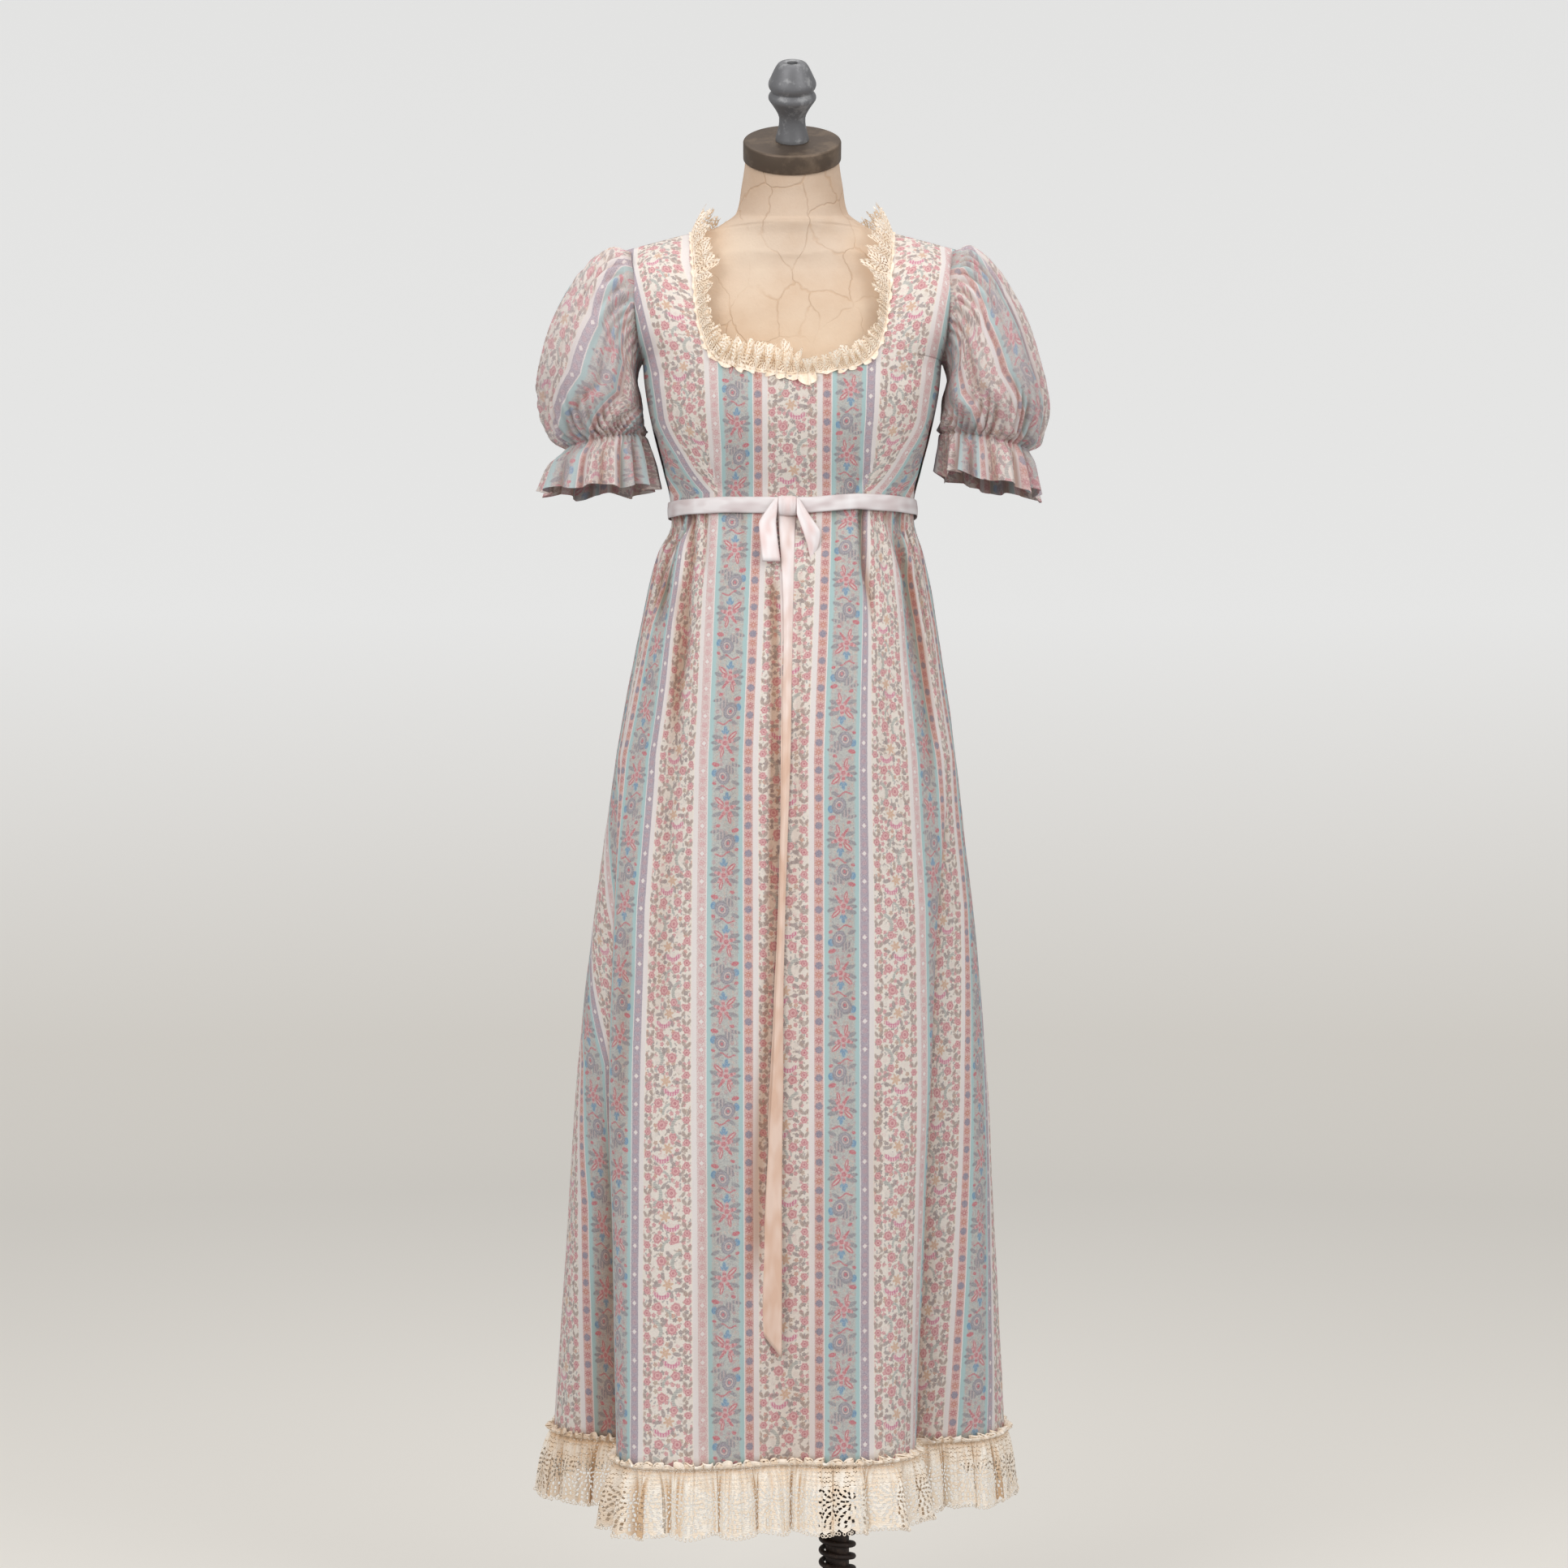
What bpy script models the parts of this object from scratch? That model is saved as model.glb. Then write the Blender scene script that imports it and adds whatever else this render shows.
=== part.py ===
# Prairie dress on a limbless dress form with a round base, in metres, +Z up.
# The front faces -Y. The origin is the middle of the base's flat underside, under the column.
# The dress and the form are centred on the plane x = FORM_X, to the left of the column.
# Cloth is an open surface with Solidify. Each surface is worked out from short tables of
# sections and folds, and the pieces stand SEAM_GAP apart where they are sewn together.

import math

import bmesh
import bpy
from mathutils import Matrix, Vector

COLLECTION_NAME = "prairie_dress"

# Driving sizes
FORM_X = -0.049            # middle plane of dress and form, from the column
CLOTH = 0.0014             # wall of the printed cotton
LACE = 0.0016              # wall of the crocheted lace
RIBBON = 0.0012            # wall of the satin ribbon
SEAM_GAP = 0.0003          # left open between two pieces
END_GAP = 0.0005           # each side of a side seam, where two walls turn
SEAM_Z = 1.2960            # seam between bodice and skirt
HEM_Z = 0.3050             # seam between skirt and hem lace
UNDERARM_Z = 1.4550
SIDE_ANGLE = 90.0          # side seams of the bodice, from centre front
SEAM_ANGLE = {"front": 0.1, "back": 0.35}   # by which a bodice piece stops short of its seam
WAIST = {"half_width": 0.1316, "front": 0.0980, "back": 0.0880}
SASH_HEIGHT = 0.0180
SASH_STAND_OFF = 0.0028    # from the seam ring to the middle of the ribbon
SASH_FALL = 0.0115         # share of the skirt's length that the sash holds in

# Bodice sections: height, half width, depth in front, depth behind
BODICE_SECTIONS = (
    (1.2960, 0.1316, 0.0980, 0.0880),
    (1.3060, 0.1318, 0.0983, 0.0881),
    (1.3370, 0.1390, 0.1090, 0.0900),
    (1.3800, 0.1500, 0.1200, 0.0950),
    (1.4200, 0.1580, 0.1220, 0.1000),
    (1.4550, 0.1615, 0.1170, 0.1030),
    (1.5000, 0.1640, 0.1000, 0.1000),
)
FRONT_SQUARENESS = 0.82    # power of the cosine, below 1 is boxier than an ellipse
BUST = {"x": 0.070, "z": 1.392, "rise": 0.007, "radius": 0.050}

# Neckline on the right half: x, y, z, from centre front over the shoulder to centre back
NECK_FRONT_LOW = ((0.000, 1.4270), (0.030, 1.4300), (0.060, 1.4360), (0.079, 1.4440), (0.090, 1.4560))
NECK_FRONT_SIDE = (
    (0.0990, -0.0850, 1.4860),
    (0.1040, -0.0630, 1.5250),
    (0.1075, -0.0330, 1.5720),
    (0.1090, 0.0000, 1.5970),
)
NECK_BACK = (
    (0.1090, 0.0000, 1.5970),
    (0.0960, 0.0370, 1.5890),
    (0.0620, 0.0680, 1.5730),
    (0.0000, 0.0810, 1.5640),
)
SHOULDER_TIP = (0.1810, 0.0000, 1.5780)
ARMHOLE_FRONT = (
    (0.1615, 0.0000, 1.4550),
    (0.1640, -0.0420, 1.4720),
    (0.1680, -0.0560, 1.5080),
    (0.1725, -0.0420, 1.5480),
    SHOULDER_TIP,
)
ARMHOLE_BACK = (
    (0.1615, 0.0000, 1.4550),
    (0.1650, 0.0460, 1.4740),
    (0.1680, 0.0600, 1.5120),
    (0.1725, 0.0440, 1.5500),
    SHOULDER_TIP,
)

BACK_BULGE = 0.008         # of the centre back seam between underarm and neckline
# Faces of the bodice: rows up to the underarm, rows above it, columns between the seams
BODICE_LOW_ROWS = 5
STRAP_ROWS = 6
NECK_COLUMNS = 12
STRAP_COLUMNS = 6
BACK_NECK_COLUMNS = 6
BACK_STRAP_COLUMNS = 4

# Skirt folds, from the left side seam round the front: name, angle at the waist seam,
# then x and y of the fold line at hip, knee and hem. Angles run from centre front to +x.
FOLD_FRONT = (
    ("left seam", -98, -0.1890, 0.0280, -0.2290, 0.0220, -0.2540, 0.0220),
    ("left side back", -91, -0.1900, 0.0100, -0.2310, -0.0040, -0.2570, -0.0060),
    ("left side", -84, -0.1895, -0.0080, -0.2220, -0.0380, -0.2380, -0.0460),
    ("left side front", -77, -0.1850, -0.0260, -0.2020, -0.0620, -0.2020, -0.0640),
    ("left fold valley", -70, -0.1780, -0.0400, -0.1800, -0.0800, -0.1700, -0.0860),
    ("left fold turn", -64, -0.1810, -0.0560, -0.1900, -0.1080, -0.1810, -0.1450),
    ("left fold edge", -58, -0.1740, -0.0760, -0.1860, -0.1340, -0.1760, -0.1840),
    ("left panel side", -44, -0.1180, -0.1240, -0.1380, -0.1680, -0.1480, -0.2060),
    ("left panel", -29, -0.0730, -0.1450, -0.0880, -0.1800, -0.1000, -0.2095),
    ("centre left", -14, -0.0350, -0.1530, -0.0430, -0.1790, -0.0500, -0.2000),
    ("centre", 0, -0.0010, -0.1510, -0.0050, -0.1720, -0.0080, -0.1850),
    ("centre right", 14, 0.0340, -0.1520, 0.0390, -0.1750, 0.0460, -0.1930),
    ("right panel", 30, 0.0740, -0.1420, 0.0830, -0.1640, 0.0930, -0.1800),
    ("right panel side", 44, 0.1160, -0.1180, 0.1220, -0.1430, 0.1210, -0.1500),
    ("right fold edge", 57, 0.1620, -0.0640, 0.1450, -0.1180, 0.1290, -0.1180),
    ("right fold valley", 66, 0.1600, -0.0430, 0.1400, -0.0940, 0.1240, -0.0920),
    ("right side front", 75, 0.1700, -0.0280, 0.1640, -0.0780, 0.1560, -0.0780),
    ("right side", 83, 0.1760, -0.0100, 0.1940, -0.0520, 0.2020, -0.0620),
    ("right side back", 91, 0.1765, 0.0100, 0.2090, -0.0080, 0.2280, -0.0140),
    ("right seam", 98, 0.1750, 0.0280, 0.2080, 0.0220, 0.2270, 0.0240),
)
FOLD_BACK = (
    ("right seam", 98, 0.1750, 0.0280, 0.2080, 0.0220, 0.2270, 0.0240),
    ("right back fold 1", 108, 0.1690, 0.0520, 0.2000, 0.0580, 0.2190, 0.0660),
    ("right back hollow 1", 117, 0.1540, 0.0780, 0.1740, 0.0900, 0.1820, 0.1060),
    ("right back fold 2", 128, 0.1380, 0.1070, 0.1540, 0.1320, 0.1620, 0.1600),
    ("right back hollow 2", 140, 0.1060, 0.1270, 0.1140, 0.1480, 0.1160, 0.1720),
    ("right back fold 3", 152, 0.0740, 0.1500, 0.0800, 0.1760, 0.0800, 0.2080),
    ("right back hollow 3", 165, 0.0370, 0.1500, 0.0400, 0.1720, 0.0360, 0.1930),
    ("centre back", 180, -0.0020, 0.1590, -0.0040, 0.1860, -0.0080, 0.2160),
    ("left back hollow 3", 195, -0.0420, 0.1510, -0.0450, 0.1720, -0.0500, 0.1920),
    ("left back fold 3", 208, -0.0780, 0.1500, -0.0850, 0.1790, -0.0930, 0.2100),
    ("left back hollow 2", 220, -0.1090, 0.1270, -0.1200, 0.1490, -0.1280, 0.1710),
    ("left back fold 2", 232, -0.1440, 0.1070, -0.1660, 0.1340, -0.1810, 0.1600),
    ("left back hollow 1", 243, -0.1640, 0.0770, -0.1900, 0.0900, -0.2060, 0.1040),
    ("left back fold 1", 252, -0.1820, 0.0510, -0.2190, 0.0560, -0.2450, 0.0620),
    ("left seam", 262, -0.1890, 0.0280, -0.2290, 0.0220, -0.2540, 0.0220),
)
# Levels of the fold tables: share of the skirt's length, and how the flare grows up to it
FOLD_LEVELS = ((SASH_FALL, 1.0), (0.268, 0.72), (0.600, 0.80), (1.0, 1.0))
SKIRT_ROWS = (0.0, SASH_FALL, 0.045, 0.125, 0.268, 0.430, 0.600, 0.800, 1.0)
FRONT_SPLITS = 2           # columns of faces between two fold lines
BACK_SPLITS = 3
GATHER_DEPTH = 0.0034      # of the waist gathers, just under the sash
GATHER_LENGTHS = (0.20, 0.11, 0.26, 0.15, 0.09, 0.22, 0.13)
FLAT_FRONT = (-38.0, 33.0)  # no gathers between these angles

# Hem lace rows: drop below the hem seam, distance out, height of a wave, holes below it
HEM_LACE_ROWS = (
    (0.0004, 0.0000, 0.0002, False),
    (0.0080, 0.0012, 0.0012, False),
    (0.0200, 0.0040, 0.0046, True),
    (0.0255, 0.0052, 0.0056, False),
    (0.0420, 0.0085, 0.0074, True),
    (0.0475, 0.0095, 0.0078, False),
    (0.0700, 0.0125, 0.0090, False),
)
HEM_WAVES = {"front": 22, "back": 20}
HOLE_SHARE = 0.13          # part of a wave's length that a holed column takes
NORMAL_REACH = 0.026       # along the hem, over which the lace's outward direction is averaged

# Neck lace rows: distance from the neckline, lift off the body, height of a wave, holes above
NECK_LACE_ROWS = (
    (0.0000, 0.0006, 0.0002, False),
    (0.0085, 0.0034, 0.0028, True),
    (0.0135, 0.0050, 0.0042, False),
    (0.0270, 0.0075, 0.0058, False),
)
NECK_WAVES = {"front": 22, "back": 12}
NECK_LACE_TARGET = (0.0, -0.0100, 1.7200)   # the ruffle stands towards this point
NECK_LACE_GAP = {"front": 0.0017, "back": 0.0009}

# Sleeve sections: outer x and z, inner x and z, half depth, gather height
SLEEVE_LEFT = (
    (0.1816, 1.5785, 0.1622, 1.4548, 0.0575, 0.0000),
    (0.1960, 1.5775, 0.1650, 1.4490, 0.0660, 0.0022),
    (0.2230, 1.5570, 0.1668, 1.4360, 0.0780, 0.0012),
    (0.2530, 1.5090, 0.1630, 1.4200, 0.0860, 0.0004),
    (0.2700, 1.4530, 0.1612, 1.4050, 0.0860, 0.0006),
    (0.2705, 1.4080, 0.1595, 1.3930, 0.0780, 0.0018),
    (0.2590, 1.3760, 0.1590, 1.3840, 0.0640, 0.0028),
    (0.2445, 1.3620, 0.1580, 1.3780, 0.0520, 0.0016),
    (0.2590, 1.3460, 0.1520, 1.3560, 0.0610, 0.0034),
    (0.2680, 1.3160, 0.1470, 1.3190, 0.0680, 0.0048),
)
SLEEVE_RIGHT = (
    (0.1806, 1.5790, 0.1622, 1.4548, 0.0575, 0.0000),
    (0.1940, 1.5800, 0.1650, 1.4490, 0.0660, 0.0022),
    (0.2200, 1.5560, 0.1672, 1.4360, 0.0780, 0.0012),
    (0.2470, 1.5090, 0.1632, 1.4200, 0.0860, 0.0004),
    (0.2650, 1.4560, 0.1615, 1.4060, 0.0880, 0.0006),
    (0.2740, 1.4120, 0.1598, 1.3950, 0.0820, 0.0018),
    (0.2665, 1.3740, 0.1592, 1.3860, 0.0660, 0.0028),
    (0.2560, 1.3610, 0.1590, 1.3800, 0.0520, 0.0016),
    (0.2600, 1.3470, 0.1575, 1.3610, 0.0600, 0.0034),
    (0.2650, 1.3120, 0.1560, 1.3360, 0.0660, 0.0048),
)
SLEEVE_COLUMNS = 26

# Ribbon outline seen from the front: height, left edge x, right edge x, distance off the skirt
TAIL_FRONT = (
    (1.2843, -0.0145, 0.0042, 0.0090),
    (1.2100, -0.0120, 0.0018, 0.0065),
    (1.0500, -0.0104, -0.0016, 0.0060),
    (0.8300, -0.0150, -0.0085, 0.0060),
    (0.6370, -0.0242, -0.0102, 0.0060),
    (0.4900, -0.0310, -0.0110, 0.0060),
    (0.4370, -0.0316, -0.0110, 0.0060),
)
TAIL_BACK = (
    (1.2843, -0.0150, 0.0030, 0.0062),
    (1.2100, -0.0128, 0.0008, 0.0030),
    (1.0500, -0.0116, -0.0030, 0.0024),
    (0.8300, -0.0166, -0.0096, 0.0022),
    (0.6370, -0.0264, -0.0120, 0.0022),
    (0.4900, -0.0320, -0.0124, 0.0022),
    (0.4470, -0.0324, -0.0124, 0.0022),
)
TAIL_POINT = 0.0260        # extra length of the slanted end on its right edge
# Bow loops: x of one edge, x of the other edge, height, distance off the sash
BOW_LOOP_LEFT = (
    (-0.0230, -0.0160, 1.3000, 0.0030),
    (-0.0330, -0.0160, 1.2830, 0.0075),
    (-0.0350, -0.0150, 1.2560, 0.0100),
    (-0.0300, -0.0130, 1.2330, 0.0085),
)
BOW_LOOP_RIGHT = (
    (0.0052, 0.0100, 1.3010, 0.0030),
    (0.0064, 0.0230, 1.2810, 0.0080),
    (0.0130, 0.0300, 1.2600, 0.0105),
    (0.0190, 0.0225, 1.2360, 0.0085),
)
KNOT = {"x": (-0.0152, 0.0044), "z": (1.2848, 1.3046), "depth": 0.0085}

# Form sections: height, half width, front depth, back depth, middle y, tilt, power of the cosine
FORM_SECTIONS = (
    (0.9300, 0.148, 0.098, 0.106, 0.000, 0.0, 1.0),
    (0.9450, 0.158, 0.106, 0.115, 0.000, 0.0, 1.0),
    (1.0000, 0.160, 0.108, 0.120, 0.000, 0.0, 1.0),
    (1.0800, 0.150, 0.103, 0.110, 0.000, 0.0, 1.0),
    (1.1800, 0.119, 0.087, 0.085, 0.000, 0.0, 1.0),
    (1.2350, 0.115, 0.084, 0.078, 0.000, 0.0, 1.0),
    (1.2960, 0.1245, 0.090, 0.080, 0.000, 0.0, 1.0),
    (1.3450, 0.1345, 0.102, 0.084, 0.000, 0.0, 1.0),
    (1.4000, 0.1475, 0.113, 0.091, 0.000, 0.0, 1.0),
    (1.4550, 0.1530, 0.101, 0.094, 0.000, 0.0, 1.0),
    (1.5050, 0.1570, 0.084, 0.087, 0.000, 0.0, 1.1),
    (1.5450, 0.1620, 0.068, 0.077, 0.000, 0.0, 1.5),
    (1.5680, 0.1640, 0.059, 0.069, 0.000, 0.0, 2.2),
    (1.5811, 0.1590, 0.054, 0.060, 0.000, 0.0, 3.4),
    (1.5965, 0.1060, 0.048, 0.048, 0.000, 0.0, 2.8),
    (1.6030, 0.0800, 0.057, 0.056, 0.001, 4.0, 1.2),
    (1.6180, 0.0610, 0.061, 0.056, 0.000, 12.0, 1.0),
    (1.6470, 0.0545, 0.054, 0.053, -0.010, 22.0, 1.0),
    (1.6733, 0.0505, 0.0505, 0.0505, -0.0193, 30.0, 1.0),
)
FORM_COLUMNS = 22
CAP = {"y": -0.0300, "z": 1.6920, "radius": 0.0528, "height": 0.0215, "tilt": 30.0}
# Finial profile: height above the cap, radius
FINIAL_PROFILE = (
    (0.0843, 0.0060),
    (0.0850, 0.0110),
    (0.0832, 0.0155),
    (0.0740, 0.0205),
    (0.0665, 0.0242),
    (0.0615, 0.0256),
    (0.0570, 0.0246),
    (0.0537, 0.0222),
    (0.0505, 0.0246),
    (0.0470, 0.0256),
    (0.0430, 0.0240),
    (0.0250, 0.0140),
    (0.0130, 0.0152),
    (0.0040, 0.0178),
    (0.0000, 0.0178),
)
FINIAL_HOLE = {"radius": 0.0060, "depth": 0.0120}

BASE_PROFILE = (
    (0.0600, 0.0300),
    (0.0560, 0.0340),
    (0.0400, 0.0400),
    (0.0280, 0.1050),
    (0.0180, 0.1700),
    (0.0120, 0.1880),
    (0.0060, 0.1920),
    (0.0000, 0.1900),
)
COLUMN_RADIUS = 0.0128
COLUMN_FOOT_Z = BASE_PROFILE[0][0] + SEAM_GAP
COLUMN_TOP_Z = FORM_SECTIONS[0][0] - SEAM_GAP
COLLARS = ((0.1260, 0.1340), (0.2520, 0.2600))   # lowest and highest z of each collar
COLLAR_RADIUS = 0.0215
FLANGE = {"radius": 0.0450, "height": 0.0100}
SPRING = {"radius": 0.0174, "wire": 0.0030, "pitch": 0.0130, "points": 9}

COLOURS = {
    "cotton": (0.80, 0.70, 0.68, 0.85, 0.0),
    "lace": (0.88, 0.80, 0.66, 0.90, 0.0),
    "ribbon": (0.90, 0.78, 0.72, 0.40, 0.0),
    "form": (0.67, 0.52, 0.36, 0.85, 0.0),
    "cap": (0.12, 0.09, 0.07, 0.35, 0.8),
    "finial": (0.20, 0.20, 0.22, 0.35, 0.9),
    "column": (0.05, 0.03, 0.02, 0.50, 0.2),
}


def make_material(name):
    red, green, blue, roughness, metallic = COLOURS[name]
    material = bpy.data.materials.get(name) or bpy.data.materials.new(name)
    material.use_nodes = True
    shader = material.node_tree.nodes["Principled BSDF"]
    shader.inputs["Base Color"].default_value = (red, green, blue, 1.0)
    shader.inputs["Roughness"].default_value = roughness
    shader.inputs["Metallic"].default_value = metallic
    return material


def add_object(name, mesh, material):
    piece = bpy.data.objects.new(name, mesh)
    piece.data.materials.append(make_material(material))
    bpy.data.collections[COLLECTION_NAME].objects.link(piece)
    return piece


def add_mesh(name, points, faces, material):
    mesh = bpy.data.meshes.new(name)
    mesh.from_pydata([tuple(p) for p in points], [], faces)
    mesh.update()
    piece = add_object(name, mesh, material)
    mesh.shade_smooth()
    return piece


def add_wall(name, points, faces, thickness, material):
    """Open surface given a wall by Solidify, half of it on each side."""
    piece = add_mesh(name, points, faces, material)
    wall = piece.modifiers.new("wall", "SOLIDIFY")
    wall.thickness = thickness
    wall.offset = 0.0
    wall.use_even_offset = False
    return piece


def grid_wall(name, rows, thickness, material, closed=False, holes=()):
    """Wall through rows of points. Rows run along +u, and (u, next row) turns outwards."""
    width = len(rows[0])
    points = [p for row in rows for p in row]
    faces = []
    for i in range(len(rows) - 1):
        for j in range(width if closed else width - 1):
            if (i, j) in holes:
                continue
            k = (j + 1) % width
            faces.append((i * width + j, (i + 1) * width + j, (i + 1) * width + k, i * width + k))
    return add_wall(name, points, faces, thickness, material)


def mix(a, b, share):
    return a + (b - a) * share


def table_at(table, key):
    """Row of a table at a value of its first column, read along straight lines."""
    if key <= table[0][0]:
        return table[0]
    for low, high in zip(table, table[1:]):
        if key <= high[0]:
            share = (key - low[0]) / (high[0] - low[0])
            return tuple(mix(a, b, share) for a, b in zip(low, high))
    return table[-1]


def smooth_at(rows, place):
    """Point of a smooth curve through rows of numbers, at a place counted in rows."""
    last = len(rows) - 1
    place = min(max(place, 0.0), float(last))
    i = min(int(place), last - 1)
    t = place - i
    a, b, c, d = (rows[min(max(k, 0), last)] for k in (i - 1, i, i + 1, i + 2))
    result = []
    for p, q, r, s in zip(a, b, c, d):
        slope_q = 0.5 * (r - p)
        slope_r = 0.5 * (s - q)
        result.append((2 * t**3 - 3 * t**2 + 1) * q + (t**3 - 2 * t**2 + t) * slope_q
                      + (3 * t**2 - 2 * t**3) * r + (t**3 - t**2) * slope_r)
    return tuple(result)


def resample(points, count):
    """Count + 1 points at even steps of length along a chain of points."""
    lengths = [0.0]
    for p, q in zip(points, points[1:]):
        lengths.append(lengths[-1] + (q - p).length)
    result = []
    segment = 0
    for i in range(count + 1):
        target = lengths[-1] * i / count
        while segment < len(points) - 2 and lengths[segment + 1] < target:
            segment += 1
        step = lengths[segment + 1] - lengths[segment]
        result.append(points[segment].lerp(points[segment + 1], (target - lengths[segment]) / step))
    return result


def placed(x, y, z):
    return Vector((x + FORM_X, y, z))


def ring_point(half_width, front, back, angle, power=1.0):
    """Point of a section, at an angle in degrees from the front towards +x."""
    sine = math.sin(math.radians(angle))
    cosine = math.cos(math.radians(angle))
    reach = abs(cosine) ** power
    return half_width * sine, (-front if cosine > 0 else back) * reach


def dress_ring(half_width, front, back, angle):
    """Section of the dress, a little boxier in front than behind."""
    power = FRONT_SQUARENESS if math.cos(math.radians(angle)) > 0 else 1.0
    return ring_point(half_width, front, back, angle, power)


def waist_point(angle, stand_off=0.0):
    return dress_ring(WAIST["half_width"] + stand_off, WAIST["front"] + stand_off,
                      WAIST["back"] + stand_off, angle)


def bodice_point(angle, z):
    _, half_width, front, back = table_at(BODICE_SECTIONS, z)
    x, y = dress_ring(half_width, front, back, angle)
    if y < 0:
        away = math.hypot(abs(x) - BUST["x"], z - BUST["z"]) / BUST["radius"]
        y -= BUST["rise"] * math.exp(-away * away)
    return placed(x, y, z)


def angle_at_x(x, z):
    half_width = table_at(BODICE_SECTIONS, z)[1]
    return math.degrees(math.asin(min(abs(x) / half_width, 1.0))) * (1 if x >= 0 else -1)


def curve_points(table, side, count):
    """Even points of a smooth curve through x, y, z rows, on one side of the dress."""
    last = len(table) - 1
    fine = [placed(x * side, y, z) for x, y, z in
            (smooth_at(table, last * i / 40.0) for i in range(41))]
    return resample(fine, count)


def patch(bottom, top, inner, outer):
    """Rows of points spanned by four edge chains that meet at their ends."""
    rows = []
    count = len(inner) - 1
    for i in range(count + 1):
        v = i / count
        row = []
        for j, (low, high) in enumerate(zip(bottom, top)):
            u = j / (len(bottom) - 1)
            sides = inner[i].lerp(outer[i], u)
            ends = low.lerp(high, v)
            corners = bottom[0].lerp(bottom[-1], u).lerp(top[0].lerp(top[-1], u), v)
            row.append(sides + ends - corners)
        rows.append(row)
    return rows


def neck_low_points():
    """Low part of the front neckline, from the left corner to the right one."""
    both = [(-x, z) for x, z in reversed(NECK_FRONT_LOW)] + list(NECK_FRONT_LOW[1:])
    return resample([bodice_point(angle_at_x(x, z), z) for x, z in both], NECK_COLUMNS)


def neck_side_points(side, count):
    """Steep part of the front neckline, from its corner to the shoulder."""
    x, z = NECK_FRONT_LOW[-1]
    corner = bodice_point(angle_at_x(x, z), z)
    table = ((corner.x - FORM_X, corner.y, corner.z),) + NECK_FRONT_SIDE
    return curve_points(table, side, count)


def bodice_heights(top):
    """Heights of the rows from the waist seam. The first two lie under the sash."""
    held = SEAM_Z + SASH_HEIGHT * 0.5 + 0.001
    steps = BODICE_LOW_ROWS - 1
    return [SEAM_Z + SEAM_GAP] + [mix(held, top, i / steps) for i in range(steps + 1)]


def make_bodice_front():
    middle = neck_low_points()
    corner_z = NECK_FRONT_LOW[-1][1]
    corner_angle = angle_at_x(NECK_FRONT_LOW[-1][0], corner_z)
    side_top = []
    for j in range(STRAP_COLUMNS + 1):
        share = j / STRAP_COLUMNS
        z = mix(corner_z, UNDERARM_Z, share)
        side_top.append((mix(corner_angle, SIDE_ANGLE - SEAM_ANGLE["front"], share), z))
    left_top = [bodice_point(-a, z) for a, z in reversed(side_top)]
    right_top = [bodice_point(a, z) for a, z in side_top]
    top = left_top[:-1] + middle + right_top[1:]
    rows = []
    for i in range(BODICE_LOW_ROWS + 1):
        row = []
        for p in top:
            z = bodice_heights(p.z)[i]
            limit = SIDE_ANGLE - SEAM_ANGLE["front"]
            angle = max(min(angle_at_x(p.x - FORM_X, p.z), limit), -limit)
            row.append(p if i == BODICE_LOW_ROWS else bodice_point(angle, z))
        rows.append(row)
    width = len(top)
    points = [p for row in rows for p in row]
    faces = []
    for i in range(BODICE_LOW_ROWS):
        for j in range(width - 1):
            faces.append((i * width + j, i * width + j + 1, (i + 1) * width + j + 1, (i + 1) * width + j))
    for side in (-1, 1):
        base = BODICE_LOW_ROWS * width
        if side < 0:
            bottom_ids = [base + STRAP_COLUMNS - j for j in range(STRAP_COLUMNS + 1)]
        else:
            bottom_ids = [base + width - 1 - STRAP_COLUMNS + j for j in range(STRAP_COLUMNS + 1)]
        bottom = [points[k] for k in bottom_ids]
        inner = neck_side_points(side, STRAP_ROWS)
        outer = curve_points(ARMHOLE_FRONT, side, STRAP_ROWS)
        tuck = Vector((0.0, -SEAM_GAP - CLOTH * 0.5, 0.0))
        top_edge = [inner[-1].lerp(outer[-1], j / STRAP_COLUMNS) for j in range(STRAP_COLUMNS + 1)]
        inner[0] = bottom[0]
        outer[0] = bottom[-1]
        strap = patch(bottom, top_edge, inner, outer)
        strap[-1] = [p + tuck for p in strap[-1]]
        ids = [bottom_ids]
        for row in strap[1:]:
            ids.append(list(range(len(points), len(points) + len(row))))
            points.extend(row)
        for low, high in zip(ids, ids[1:]):
            for j in range(STRAP_COLUMNS):
                face = (low[j], low[j + 1], high[j + 1], high[j])
                faces.append(face if side > 0 else face[::-1])
    return add_wall("bodice_front", points, faces, CLOTH, "cotton")


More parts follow.
